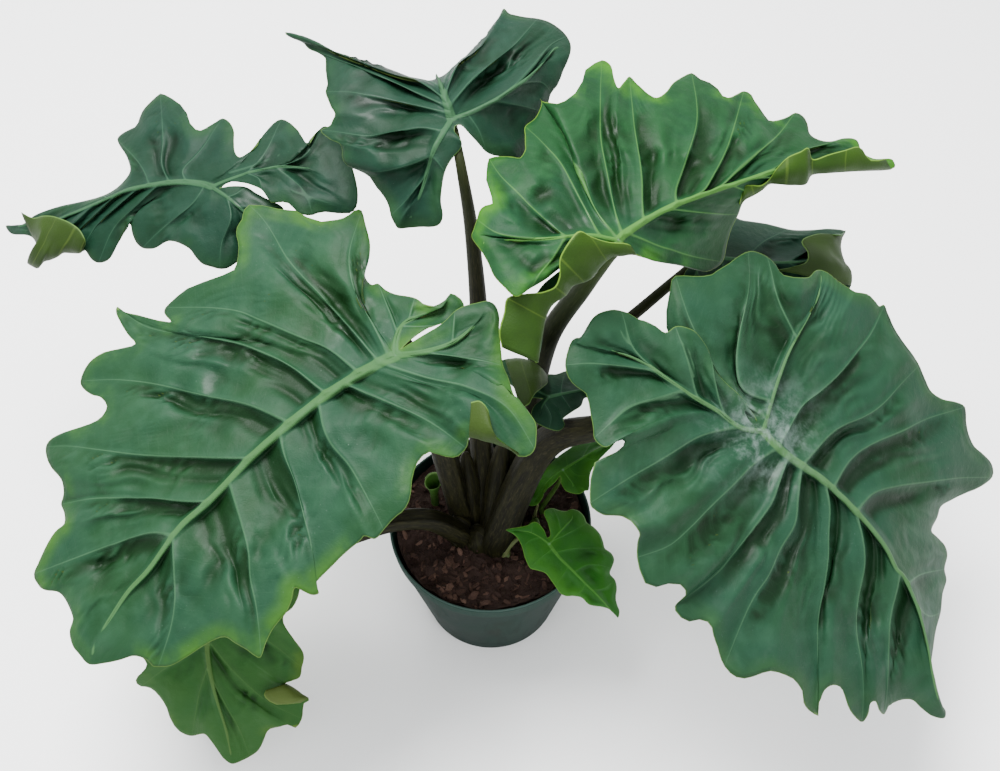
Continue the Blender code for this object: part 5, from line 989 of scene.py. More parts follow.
        # Painted light on the puckers' crests and painted shade in their dips
        self.low = np.clip(self.low - 0.22 * np.clip(pucker / 0.0012, -1, 1), 0, 1)
        billow = settings.billow_height * self.seeded(self.points, 0.11, 2) * fade(along, 0.0, 0.3) * self.strength
        rim = fade(along, 1.0, 0.8)
        vein_crest = settings.vein_height * size * np.exp(-(self.vein / 1.7) ** 2) * rim
        rib_crest = (settings.rib_height * size * np.clip(1 - (self.rib / 1.25) ** 2, 0, 1)
                     * (1 - 0.75 * self.rib_share))
        keel = (settings.keel_depth * size * np.clip(1 - (self.rib / 1.35) ** 2, 0, 1) ** 0.7
                * (1 - 0.85 * self.rib_share)
                + settings.vein_height * 1.5 * size * np.exp(-(self.vein / 1.6) ** 2) * rim)
        return pucker + billow + vein_crest + rib_crest, pucker + billow, keel * fade(along, 1.0, 0.97)

    def from_margin(self):
        """The distance in metres from each point to the free rim."""
        free = np.ones(len(self.points), bool)
        for _, inside in self.flaps:
            free[inside[1:-1]] = False
        rim = self.points[free, -1].astype(np.float32)
        spots = self.points.reshape(-1, 3).astype(np.float32)
        margin = np.concatenate([np.sqrt(np.maximum(0, ((part**2).sum(-1)[:, None] + (rim**2).sum(-1)[None]
                                                        - 2 * part @ rim.T).min(-1)))
                                 for part in np.array_split(spots, 8)]).reshape(self.points.shape[:2])
        margin[:, -1] = np.where(free, 0.0, margin[:, -1])
        return margin

    def marks(self):
        """The numbers that the materials read, on the blade's points."""
        margin = self.from_margin()
        # low, the painted shade and light of the relief, goes to the upper face's colour
        return {
            "vein": self.vein, "rib": self.rib, "margin": margin * 1000, "low": self.low,
            "way": self.along + 0 * margin, "travel": self.travel, "gap": self.gap, "curl": 0 * margin,
            "dust": np.exp(-(self.from_foot / self.looks.get("dust", 1.0)) ** 2),
        }

    def flap_marks(self, points, inside):
        """The same numbers on a flap's points."""
        across = apart(points, points[:, -1:])
        nearest = self.gap[inside, -1] / (self.settings.vein_width * self.size * 0.6)
        margin = 1000 * np.minimum(across, apart(points, points[:, :1]))
        # On a flap the painted shade stands at a middle amount
        return {"vein": nearest[:, None], "rib": FAR, "margin": margin, "low": 0.5, "way": 1, "travel": across,
                "gap": 0.02, "curl": 1, "dust": 0}


def add_leaf(name, settings, slot, materials):
    """A whole leaf blade as a closed skin. The upper face is a grid round the ribs, and a flap's grid goes on
    from its rim. The lower face is the upper one moved in by the leaf's thickness, and down by the keels of its
    ribs and veins, straight along the plane's normal so that a tilted leaf's keels stay under their ribs."""
    leaf = Leaf(name, settings)
    leaf.raise_panels()
    flat, quads = leaf.join_flaps()
    normals = corner_normals(flat, quads)
    leaf.find_veins()
    shift, under, keel = (part.reshape(-1) for part in leaf.fine_relief())
    thick = BLADE_THICKNESS * (0.45 + 0.55 * fade(leaf.along, 1.0, 0.97)) + 0 * leaf.gap
    thick = thick.reshape(-1)
    marks = {key: values.reshape(-1) for key, values in leaf.marks().items()}
    for points, inside in leaf.flaps:
        ripple = (FLAP_RIPPLE * leaf.seeded(points, 0.03, 3)
                  * fade(np.linspace(0, 1, FLAP_COUNT), 0, 0.3)[None, :]).reshape(-1)
        shift, under = np.concatenate([shift, ripple]), np.concatenate([under, ripple])
        thick = np.concatenate([thick, np.full(ripple.size, BLADE_THICKNESS * 0.8)])
        for key, values in leaf.flap_marks(points, inside).items():
            marks[key] = np.concatenate([marks[key], np.broadcast_to(values, points.shape[:2]).reshape(-1)])
    top = flat + normals * shift[:, None]
    bottom = flat + normals * (under - thick)[:, None]
    bottom[:len(keel)] -= leaf.normal * keel[:, None]
    used, quads = np.unique(quads, return_inverse=True)
    points, faces = closed_skin(top[used], bottom[used], quads.reshape(-1, 4))
    both = {key: np.tile(values[used], 2) for key, values in marks.items()}
    return add_piece(name + "_leaf", points, faces, slot, materials, [name], both, (0, 1, 0))


class Link:
    """A node's output with arithmetic: an expression on it adds the Math nodes that it needs."""

    def __init__(self, surface, socket):
        self.surface, self.socket = surface, socket

    def maths(self, operation, other, swapped=False):
        """One Math node on this and another value."""
        first, second = (other, self) if swapped else (self, other)
        return self.surface.node("ShaderNodeMath", {"operation": operation}, {0: first, 1: second})

    def __add__(self, other):
        return self.maths("ADD", other)

    def __sub__(self, other):
        return self.maths("SUBTRACT", other)

    def __rsub__(self, other):
        return self.maths("SUBTRACT", other, True)

    def __mul__(self, other):
        return self.maths("MULTIPLY", other)

    def __pow__(self, other):
        return self.maths("POWER", other)

    __radd__, __rmul__ = __add__, __mul__


class Surface:
    """A material round one Principled shader, its nodes all made by node() and its colour laid on by over(). A
    colour is a value or the name of a paint in the look."""

    def __init__(self, name, colour, look=None, **fixed):
        self.look, self.colour = look, colour
        self.material = bpy.data.materials.new(name)
        self.material.use_nodes = True
        self.tree = self.material.node_tree
        self.shader = self.tree.nodes["Principled BSDF"]
        for socket, value in fixed.items():
            self.shader.inputs[socket.replace("_", " ")].default_value = value

    def node(self, kind, settings=None, inputs=None, output=0):
        """A node of a type with its settings, then the values or links of its sockets."""
        made = self.tree.nodes.new(kind)
        for key, value in (settings or {}).items():
            setattr(made, key, value)
        for key, value in (inputs or {}).items():
            self.feed(made.inputs[key], value)
        return Link(self, made.outputs[output])

    def feed(self, socket, value):
        """Link or set one socket."""
        if isinstance(value, Link):
            self.tree.links.new(value.socket, socket)
        else:
            socket.default_value = value

    def mark(self, name):
        """A number stored on the mesh."""
        return self.node("ShaderNodeAttribute", {"attribute_name": name}, output=2)

    def place(self, *scale):
        """The point of the object, in metres, stretched by a scale along each axis where one is given."""
        place = self.node("ShaderNodeTexCoord", output=3)
        return self.node("ShaderNodeVectorMath", {"operation": "MULTIPLY"}, {0: place, 1: scale}) if scale else place

    def noise(self, scale, detail=3.0, rough=0.5, twist=0.0, vector=None):
        """Noise of about 0 to 1."""
        return self.node("ShaderNodeTexNoise", None, {
            "Vector": vector or self.place(), "Scale": scale, "Detail": detail, "Roughness": rough,
            "Distortion": twist})

    def step(self, value, start, end, low=0.0, high=1.0):
        """A smooth step of the value from low at start to high at end."""
        if start > end:
            start, end, low, high = end, start, high, low
        return self.node("ShaderNodeMapRange", {"interpolation_type": "SMOOTHSTEP"}, {
            "Value": value, "From Min": start, "From Max": end, "To Min": low, "To Max": high})

    def named(self, colour):
        """The look's paint of that name, or the colour itself."""
        return self.look[colour] if isinstance(colour, str) else colour

    def over(self, mask, colour):
        """Lay a colour over what is there, as far as the mask says."""
        self.colour = self.blend(mask, self.colour, colour)

    def blend(self, amount, first, second):
        """A colour part of the way from the first to the second."""
        return self.node("ShaderNodeMix", {"data_type": "RGBA"}, {
            0: amount, 6: self.named(first), 7: self.named(second)}, output=2)

    def cells(self, scale, width):
        """A net of cells: 0 on the lines between them and 1 past the width."""
        edge = self.node("ShaderNodeTexVoronoi", {"feature": "DISTANCE_TO_EDGE"}, {
            "Vector": self.place(), "Scale": scale, "Randomness": 1.0})
        return self.step(edge, 0.0, width)

    def bump(self, height, distance, strength=1.0, **normal):
        """A normal bent by a height, on top of another Normal where one is given."""
        return self.node("ShaderNodeBump", None, {
            "Height": height, "Distance": distance, "Strength": strength, **normal})

    def end(self, **fed):
        """Feed the colour and the shader's other sockets and give the material."""
        for socket, value in {"Base_Color": self.colour, **fed}.items():
            self.feed(self.shader.inputs[socket.replace("_", " ")], value)
        return self.material


def paint(red, green, blue):
    """A colour of the shader from the 0 to 255 of a paint chart, held back for the bright room."""
    chart = np.array([red, green, blue]) / 255
    light = np.where(chart <= 0.04045, chart / 12.92, ((chart + 0.055) / 1.055) ** 2.4) * PAINT_STRENGTH
    return (*[float(part) for part in light], 1.0)


DUST = paint(166, 190, 182)
DRIED_MIX = paint(74, 68, 58)
SCUFF = paint(128, 146, 142)
LIP_EDGE = paint(120, 148, 140)
SPLASH = paint(62, 48, 38)
PALE_FLECK = paint(165, 140, 124)


def leaf_top(name, look, leaf):
    """The upper face: waxy green, with painted shade in the furrows and painted light on the crests, with pale
    veins and midrib, a warm band inside a thin light margin, and the shallow net of the finest veins."""
    s = Surface(name, "top", look, Coat_Roughness=0.34, Specular_IOR_Level=0.08)
    broad, middle, fine = s.noise(9.0, 3.0, 0.55), s.noise(38.0, 3.0, 0.55), s.noise(160.0, 4.0, 0.6)
    vein, rib, margin, low = s.mark("vein"), s.mark("rib"), s.mark("margin"), s.mark("low")
    way, travel, gap = s.mark("way"), s.mark("travel"), s.mark("gap")
    s.over(s.step(broad, 0.36, 0.66), "cool")
    s.over(s.step(middle, 0.45, 0.75) * 0.35, "light")
    # Painted shade: the deep paint where low is high, in the furrows and dents and on the shaded side below the
    # veins. Painted light: the light paint on the crests, where low is small
    s.over(s.step(low, 0.22, 0.88) * 0.85, "deep")
    s.over(s.step(low, 0.34, 0.0) * 0.40, "light")
    s.over(s.step(vein, 7.0, 1.0) * (0.30 - 0.22 * way), "light")
    warm = s.step(margin, 22.0, 1.0) * s.step(broad + 0.35 * middle, 0.58, 0.84)
    s.over(warm * look["warmth"], "warm")
    s.over(s.mark("curl") * 0.6, "warm")
    branch = s.node("ShaderNodeMath", {"operation": "PINGPONG"}, {0: travel * 1.0 + gap * -0.85, 1: 0.0062})
    net = s.step(branch + 0.0012 * middle, 0.0011, 0.0004) * s.step(gap, 0.001, 0.004)
    s.over(net * 0.07, "vein")
    s.over(s.step(vein + 0.25 * fine, 1.55, 0.30) * s.step(way, 1.02, 0.55, 0.30, look["vein_strength"]), "vein")
    s.over(s.step(rib, 1.15, 0.78), s.blend(s.step(middle, 0.3, 0.8) * 0.35, "rib", "vein"))
    s.over(s.step(margin, 1.2, 0.4) * 0.8, "margin")
    s.over(s.step(s.noise(420.0, 2.0, 0.5), 0.70, 0.80) * s.step(broad, 0.50, 0.62) * 0.35, "fleck")
    s.over(s.mark("dust") * s.step(s.noise(42.0, 5.0, 0.7, 0.2), 0.40, 0.70) * 0.75, DUST)
    rough = 0.42 + 0.16 * broad + 0.10 * fine + -0.08 * s.step(low, 0.4, 1.0) + 0.12 * s.step(rib, 1.2, 0.9)
    height = s.cells(330.0, 0.25) * 0.35 + fine * 0.8 + net * -0.5 + s.step(vein, 1.6, 0.4) * 0.9
    normal = s.bump(height, 0.00022, leaf.grain, Normal=s.bump(s.noise(75.0, 3.0, 0.5), 0.0020, 0.55))
    wax = 0.02 + 0.15 * s.step(s.noise(17.0, 3.0, 0.6, 0.8), 0.56, 0.72)
    return s.end(Roughness=rough, Coat_Weight=wax, Normal=normal)


def leaf_under(name, look):
    """The lower face: matte and yellower, its veins standing out pale."""
    s = Surface(name, "under", look, Specular_IOR_Level=0.12)
    broad, fine = s.noise(12.0, 3.0, 0.5), s.noise(140.0, 4.0, 0.6)
    vein, rib, margin = s.mark("vein"), s.mark("rib"), s.mark("margin")
    s.over(s.step(broad, 0.35, 0.68), "under_light")
    s.over(s.step(fine, 0.35, 0.8) * 0.25, "under_light")
    s.over(s.step(vein, 1.7, 0.7) * 0.65, "under_vein")
    s.over(s.step(rib, 1.3, 0.9), "under_vein")
    s.over(s.step(margin, 1.9, 0.8) * 0.9, "margin")
    normal = s.bump(s.cells(300.0, 0.2) * -0.6 + fine * 0.7, 0.00020, 0.8)
    return s.end(Roughness=0.52 + 0.18 * fine, Normal=normal)


def stalk_skin(name, look):
    """A stalk's skin: olive brown with long grey and purple streaks that follow it, darker at the foot."""
    s = Surface(name, "dark", look, Specular_IOR_Level=0.10)
    along, share = s.mark("along"), s.mark("share")
    ring = s.node("ShaderNodeCombineXYZ", None, {"X": s.mark("ring_x"), "Y": s.mark("ring_y"), "Z": along * 9.0})
    streak = s.noise(3.2, 5.0, 0.62, 0.6, ring)
    thin = s.noise(11.0, 4.0, 0.6, 0.3, ring)
    mottle = s.noise(150.0, 3.0, 0.6)
    s.over(s.step(streak, 0.36, 0.66), "body")
    s.over(s.step(thin, 0.48, 0.74) * 0.70, "streak")
    s.over(s.step(mottle, 0.52, 0.78) * 0.35, "dark")
    s.over(s.step(share, 0.55, 1.0) * look["fresh_share"], "fresh")
    rough = 0.50 + 0.22 * mottle
    normal = s.bump(thin * 0.7 + mottle * 0.5, 0.00045, 0.8)
    return s.end(Roughness=rough, Normal=normal)


def pot_plastic(pot):
    """Recycled moulded plastic: dark slate green with faint swirls, scuffs on the lip and dried splashes of the
    mix below it."""
    s = Surface("pot_plastic", (*pot.colour, 1.0), Specular_IOR_Level=0.08)
    height = s.node("ShaderNodeSeparateXYZ", None, {0: s.place()}, output=2)
    broad, fine = s.noise(14.0, 4.0, 0.6, 1.2), s.noise(260.0, 4.0, 0.65)
    drip = s.noise(34.0, 4.0, 0.6, 0.4, s.place(1.0, 1.0, 0.18))
    scuff = s.noise(90.0, 5.0, 0.7, 2.0, s.place(0.35, 0.35, 2.6))
    light = (*pot.lip_colour, 1.0)
    s.over(s.step(broad, 0.35, 0.7) * 0.45, light)
    lip_foot = pot.height - POT_LIP_HEIGHT
    s.over(s.step(height, lip_foot - 0.001, lip_foot + 0.002) * 0.75, light)
    s.over(s.step(drip, 0.56, 0.75) * 0.35, DRIED_MIX)
    s.over(s.step(scuff, 0.62, 0.74) * 0.30, SCUFF)
    s.over(s.step(height, pot.height - 0.0016, pot.height - 0.0003) * 0.45, LIP_EDGE)
    s.over(s.step(s.noise(700.0, 2.0, 0.5), 0.66, 0.72) * 0.4, SPLASH)
    rough = 0.52 + 0.20 * broad + 0.12 * s.step(drip, 0.5, 0.75)
    normal = s.bump(fine * 0.6 + s.step(scuff, 0.6, 0.75) * 0.3 + broad * 0.8, 0.00025, 0.7)
    return s.end(Roughness=rough, Normal=normal)


def bark(soil):
    """Damp bark: near black to red brown from piece to piece, fibres along it, a few pale flecks."""
    dark, chip = (*soil.dark_colour, 1.0), (*soil.chip_colour, 1.0)
    s = Surface("bark", dark, Specular_IOR_Level=0.16)
    tint, fine, grain = s.mark("tint"), s.noise(420.0, 4.0, 0.65), s.noise(120.0, 3.0, 0.6)
    s.over(s.step(tint, 0.0, 0.75), (*soil.colour, 1.0))
    s.over(s.step(tint, 0.76, 1.0) * 0.8, chip)
    s.over(s.step(fine, 0.50, 0.75) * 0.55, dark)
    s.over(s.step(grain, 0.60, 0.78) * 0.35, chip)
    s.over(s.step(s.noise(900.0, 2.0, 0.5), 0.74, 0.78) * 0.6, PALE_FLECK)
    return s.end(Roughness=0.62 + 0.25 * fine, Normal=s.bump(fine + grain * 0.8, 0.0009))


def young_skin(name, low, high, rim):
    """The young shoots' skin: pale at the foot and fresh green above, with fine streaks."""
    s = Surface(name, low, Specular_IOR_Level=0.25)
    share, streak = s.mark("share"), s.noise(160.0, 4.0, 0.6, 0.4, s.place(1.0, 1.0, 0.2))
    s.over(s.step(share, 0.0, 0.8), high)
    s.over(s.step(streak, 0.45, 0.75) * 0.4, rim)
    s.over(s.step(share, 0.93, 0.99) * s.step(share, 1.2, 1.05), rim)
    return s.end(Roughness=0.38 + 0.2 * streak, Normal=s.bump(streak, 0.0003, 0.7))


def floor_paint(stage):
    """The plain pale floor."""
    return Surface("floor_paint", (*stage.floor_colour, 1.0), Roughness=0.9, Specular_IOR_Level=0.1).end()


def finish(paints, **numbers):
    """A finish: its numbers, and its paints from a text of names and 0 to 255 colours."""
    words = paints.split()
    return {**numbers, **{key: paint(*map(int, colour.split(","))) for key, colour in zip(words[::2], words[1::2])}}


# The leaves' finishes, from the colours of the upper face to those of the lower one, and the stalks' finishes.
# A leaf's deep is the colour of its painted shade, and its light is a paler tone that also paints light on
# the crests
LEAF_FINISHES = {
    "big_leaf": finish(warmth=0.65, vein_strength=0.55, paints="""
    top 35,80,44 cool 37,82,56 light 60,106,76 deep 14,49,15 warm 84,140,34 vein 90,138,98 rib 80,130,74
    margin 122,164,76 fleck 150,176,160 under 50,74,20 under_light 66,92,28 under_vein 96,118,50"""),
    "dark_leaf": finish(warmth=0.25, vein_strength=0.6, paints="""
    top 34,78,46 cool 37,82,58 light 62,108,80 deep 12,44,16 warm 80,128,40 vein 90,138,98 rib 88,136,82
    margin 116,156,74 fleck 150,176,170 under 50,74,20 under_light 66,92,28 under_vein 96,118,50"""),
    "blue_leaf": finish(warmth=0.35, vein_strength=0.45, paints="""
    top 23,61,38 cool 25,64,47 light 42,82,63 deep 8,34,15 warm 56,106,40 vein 74,118,88 rib 66,112,74
    margin 104,144,70 fleck 140,168,160 under 42,68,10 under_light 54,84,14 under_vein 80,104,36"""),
    "bright_leaf": finish(warmth=0.95, vein_strength=0.6, paints="""
    top 27,78,38 cool 27,78,50 light 50,109,62 deep 8,45,9 warm 76,150,26 vein 100,160,80 rib 92,152,66
    margin 136,182,62 fleck 118,168,88 under 44,80,8 under_light 58,94,12 under_vein 88,120,34"""),
    "old_leaf": finish(warmth=0.8, vein_strength=0.45, paints="""
    top 52,108,42 cool 48,106,52 light 76,124,62 deep 20,54,18 warm 100,138,34 vein 88,132,68 rib 94,134,68
    margin 122,154,62 fleck 130,130,140 under 76,100,38 under_light 98,120,50 under_vein 124,144,76"""),
    "young_leaf": finish(warmth=0.6, vein_strength=0.4, paints="""
    top 44,116,32 cool 42,106,36 light 62,138,44 deep 12,62,8 warm 78,148,32 vein 76,142,52 rib 86,152,58
    margin 112,168,58 fleck 130,180,110 under 72,126,36 under_light 94,146,48 under_vein 120,166,76"""),
}
STALK_FINISHES = {
    "old_stalk": finish(fresh_share=0.5, paints="""
    dark 22,22,9 body 46,46,20 streak 82,78,48 fresh 54,70,26"""),
    "green_stalk": finish(fresh_share=0.7, paints="""
    dark 20,23,10 body 42,48,20 streak 74,78,46 fresh 66,92,34"""),
    "young_stalk": finish(fresh_share=0.6, paints="""
    dark 74,110,40 body 96,140,56 streak 132,166,84 fresh 100,150,60"""),
}
STALK_LOOKS = {"petiole_upper_right": "green_stalk", "petiole_centre": "green_stalk"}

# Points round and along the tubes and turned shapes, where a stalk's sheath ends, and the dome on a tube's end
# against its radius, in height and in the radii of its rings
STALK_SIDES = 44
STALK_RINGS = 96
YOUNG_SIDES = 20
SHEATH_SIDES = 16
BASE_SIDES = 28
POT_STEPS = 180
SOIL_STEPS = 150
SOIL_RINGS = 46
SHEATH_END = 0.62
DOME_HEIGHT = 0.35
DOME_RINGS = np.array([0.92, 0.72, 0.4])

# The soil's space from the pot, its wall's top and foot, its hub and the heap's height and width. Of the bark's
# chips and crumbs: least and greatest length, thickness against width, sides, seed and range of tints, and of every
# piece the height and the width of its four rings against its own
SOIL_GAP = 0.0006
SOIL_WALL = (0.160, 0.006)
SOIL_HUB = 0.002
HEAP_HEIGHT = 0.004
HEAP_WIDTH = 0.055
BARK_CHIPS = ((0.005, 0.018), 0.34, 7, 1, (0.1, 1.0))
BARK_CRUMBS = ((0.0015, 0.004), 0.7, 5, 2, (0.0, 0.7))
BARK_LEVELS = np.array([-1.0, -0.75, 0.7, 1.0])[:, None]
BARK_WIDTHS = np.array([0.55, 1.0, 0.92, 0.5])[:, None]

# The furled shoot: how often it winds, its grid round and up, and its thickness
SPROUT_TURNS = 1.35
SPROUT_GRID = (60, 26)
SPROUT_WALL = 0.0006

# The floor, the room's light, and each lamp's name, place, aim and size
FLOOR_SIZE = 24.0
FLOOR_DROP = -0.0004
ROOM_LIGHT = (0.96, 0.98, 1.0, 1.0)
LAMPS = [
    ("key_light", (-0.7, 0.8, 3.1), (0.0, 0.0, 0.4), 2.0),
    ("fill_light", (1.4, -2.4, 2.2), (0.0, 0.0, 0.35), 2.4),
]

# The old leaf bases: the two stalks that each stands between, its top's height and its radius
LEAF_BASES = [
    ("petiole_front_right", "petiole_top", 0.305, 0.0140), ("petiole_top", "petiole_front_left", 0.280, 0.0125),
    ("petiole_front_right", "petiole_low_left", 0.198, 0.0190),
    ("petiole_front_right", "petiole_upper_right", 0.280, 0.0130),
    ("petiole_front_left", "petiole_low_left", 0.205, 0.0120),
]

# The sheaths and young stalks at the plant's foot: places as (across, down, height), and half widths at the
# foot and at the tip
SHEATHS = [
    ([(508, 556, 0.176), (503, 548, 0.186), (496, 538, 0.198), (491, 531, 0.208)], 0.0052, 0.0008),
    ([(505, 556, 0.176), (508, 548, 0.188), (515, 541, 0.200), (521, 536, 0.208)], 0.0048, 0.0008),
    ([(516, 534, 0.176), (518, 528, 0.192), (522, 517, 0.212), (527, 507, 0.230)], 0.0040, 0.0012),
    ([(534, 524, 0.176), (534, 519, 0.190), (536, 511, 0.208), (538, 504, 0.224)], 0.0038, 0.0016),
]


def stalk_line(name):
    """The middle line of a stalk and its radii, as the frame's own: straight up out of its hole, then a
    Catmull-Rom curve through its places to just under the blade."""
    blade_name, (x, y), (foot_radius, mid_radius, top_radius), places, seat = STALKS[name]
    foot, normal = blade_plane(BLADES[blade_name])
    bed = np.array([x, y, SOIL_TOP - STALK_DEPTH])
    knots = [bed, bed + (0, 0, STALK_DEPTH + STALK_UPRIGHT)] + [at_height(*place) for place in places]
    arrive = unit(foot - knots[-1])
    tilt = math.sqrt(max(0.0, 1 - (arrive @ normal) ** 2))
    knots = np.array(knots + [foot - normal * (BLADE_THICKNESS + seat + top_radius * tilt)])
    upper = curve_through(knots[1:], np.linspace(0, len(knots) - 2, STALK_RINGS))
    line = np.concatenate([np.linspace(knots[0], knots[1], 5)[:-1], upper])
    radii = np.interp(travelled(line), (0.0, 0.08, STALK_MIDDLE, 1.0),
                      (foot_radius, foot_radius, mid_radius, top_radius))
    return line, radii


def ring_faces(index, first, last):
    """The faces between rings of point numbers (m, n), closed by fans round a first and a last pole."""
    around, hub = np.roll(index, -1, 1), np.zeros_like(index[0])
    fans = [np.stack([hub + first, around[0], index[0]], -1), np.stack([hub + last, index[-1], around[-1]], -1)]
    return [quads_between(index.T, True)[:, ::-1], np.concatenate(fans)]


def facing_out(points, faces):
    """The faces turned so that the closed shape's volume is above zero."""
    volume = 0.0
    for group in faces:
        corner = points[group[:, 0]]
        for k in range(1, group.shape[1] - 1):
            volume += np.einsum("ij,ij->", corner, np.cross(points[group[:, k]], points[group[:, k + 1]]))
    return faces if volume > 0 else [group[:, ::-1] for group in faces]


def joined(shapes):
    """The points and the faces of several shapes, each (points, faces), as one."""
    starts = np.cumsum([0] + [len(points) for points, _ in shapes])
    faces = [group + start for start, (_, groups) in zip(starts, shapes) for group in groups]
    return np.concatenate([points for points, _ in shapes]), faces


def tube(line, radii, sides, profile=None):
    """A closed tube of rings round a line: each ring's point at angle a stands radius x profile(a, s) off the
    line, towards its upper side at angle 0. The far end is closed by a low dome. Returns the points, the faces,
    and for each point its angle and share."""
    share = travelled(line)
    tangent = unit(np.gradient(line, axis=0))
    out = line[-1] - line[0]
    out = unit(np.array([out[0], out[1], 0.0]) + 1e-6)
    upper = -unit(np.cross(np.cross((0.0, 0.0, 1.0), out), tangent))
    side = unit(np.cross(upper, tangent))
    angle = np.linspace(0, 2 * math.pi, sides, endpoint=False)
    scale = np.ones((len(line), sides)) if profile is None else profile(angle[None, :], share[:, None])
    ring = (np.cos(angle)[None, :, None] * upper[:, None, :] + np.sin(angle)[None, :, None] * side[:, None, :])
    rings = line[:, None, :] + ring * (radii[:, None] * scale)[..., None]
    rise = np.sqrt(1 - DOME_RINGS**2) * DOME_HEIGHT
    last = ((line[-1] + tangent[-1] * radii[-1] * rise[:, None])[:, None, :]
            + (rings[-1] - line[-1])[None] * DOME_RINGS[:, None, None])
    index = np.arange((len(line) + len(DOME_RINGS)) * sides).reshape(-1, sides)
    poles = [line[0], line[-1] + tangent[-1] * radii[-1] * DOME_HEIGHT]
    points = np.concatenate([rings.reshape(-1, 3), last.reshape(-1, 3), poles])
    along = np.concatenate([np.repeat(share, sides), np.ones(last[..., 0].size), [0.0, 1.0]])
    turn = np.concatenate([np.tile(angle, len(index)), [0.0, 0.0]])
    return points, facing_out(points, ring_faces(index, index.size, index.size + 1)), turn, along


def add_stalk(name, materials):
    """A leaf stalk: a tapered tube, flattened and grooved on its upper side low down, where the sheath's two
    lips wrap it, with fine ribs along its skin that wander as they go."""
    line, radii = stalk_line(name)
    young = "pup" in name
    start = np.random.default_rng(sum(map(ord, name))).uniform(0, 2 * math.pi, 3)

    def profile(angle, share):
        """1 less a groove at angle 0 plus its lips, both fading out half way up, plus the fine ribs."""
        from_top = np.abs((angle + math.pi) % (2 * math.pi) - math.pi)
        sheath = fade(share, SHEATH_END, SHEATH_END - 0.25)
        groove = 0.16 * np.exp(-(from_top / 0.42) ** 2) * sheath
        lips = 0.09 * np.exp(-((from_top - 0.66) / 0.16) ** 2) * sheath
        ribs = 0.010 * np.sin(13 * angle + 2.0 * np.sin(7 * share + start[0])) + 0.006 * np.sin(29 * angle + start[1])
        knuckle = 0.10 * np.exp(-((share - 0.975) / 0.02) ** 2)
        return 1 - groove + lips + ribs * (1 - share) ** 0.3 + knuckle

    points, faces, turn, along = tube(line, radii, YOUNG_SIDES if young else STALK_SIDES, None if young else profile)
    length = np.linalg.norm(np.diff(line, axis=0), axis=1).sum()
    marks = {"ring_x": np.cos(turn), "ring_y": np.sin(turn), "along": along * length, "share": along}
    return add_piece(name + "_stalk", points, faces, "pup" if young else "petiole", materials, [name], marks)


def turned(profile, steps):
    """A closed profile (n, 2) of radius and height turned about the z axis: points (n, steps, 3) and faces."""
    angle = np.linspace(0, 2 * math.pi, steps, endpoint=False)
    radius, height = profile[:, :1], profile[:, 1:]
    points = np.stack([radius * np.cos(angle), radius * np.sin(angle), height + 0 * angle], -1)
    index = np.arange(len(profile) * steps).reshape(-1, steps)
    return points, [quads_between(np.concatenate([index, index[:1]]).T, True)]


def rounded(profile, radius, steps=4):
    """A profile whose corners are cut back by up to the radius and rounded with a quadratic curve."""
    points = np.array(profile, float)
    before, here, after = points[:-2], points[1:-1], points[2:]
    back, on = before - here, after - here
    reach_back = np.linalg.norm(back, axis=1, keepdims=True)
    reach_on = np.linalg.norm(on, axis=1, keepdims=True)
    cut = np.minimum(radius, 0.45 * np.minimum(reach_back, reach_on))
    start, end = here + back / reach_back * cut, here + on / reach_on * cut
    t = np.linspace(0, 1, steps)[None, :, None]
    arcs = (1 - t) ** 2 * start[:, None] + 2 * t * (1 - t) * here[:, None] + t**2 * end[:, None]
    return arcs.reshape(-1, 2)


def pot_outer_radius(z, pot):
    """The radius of the pot's outer wall at a height."""
    return POT_BASE_RADIUS + (pot.rim_radius - POT_LIP_OUT - POT_BASE_RADIUS) * z / (pot.height - POT_LIP_HEIGHT)


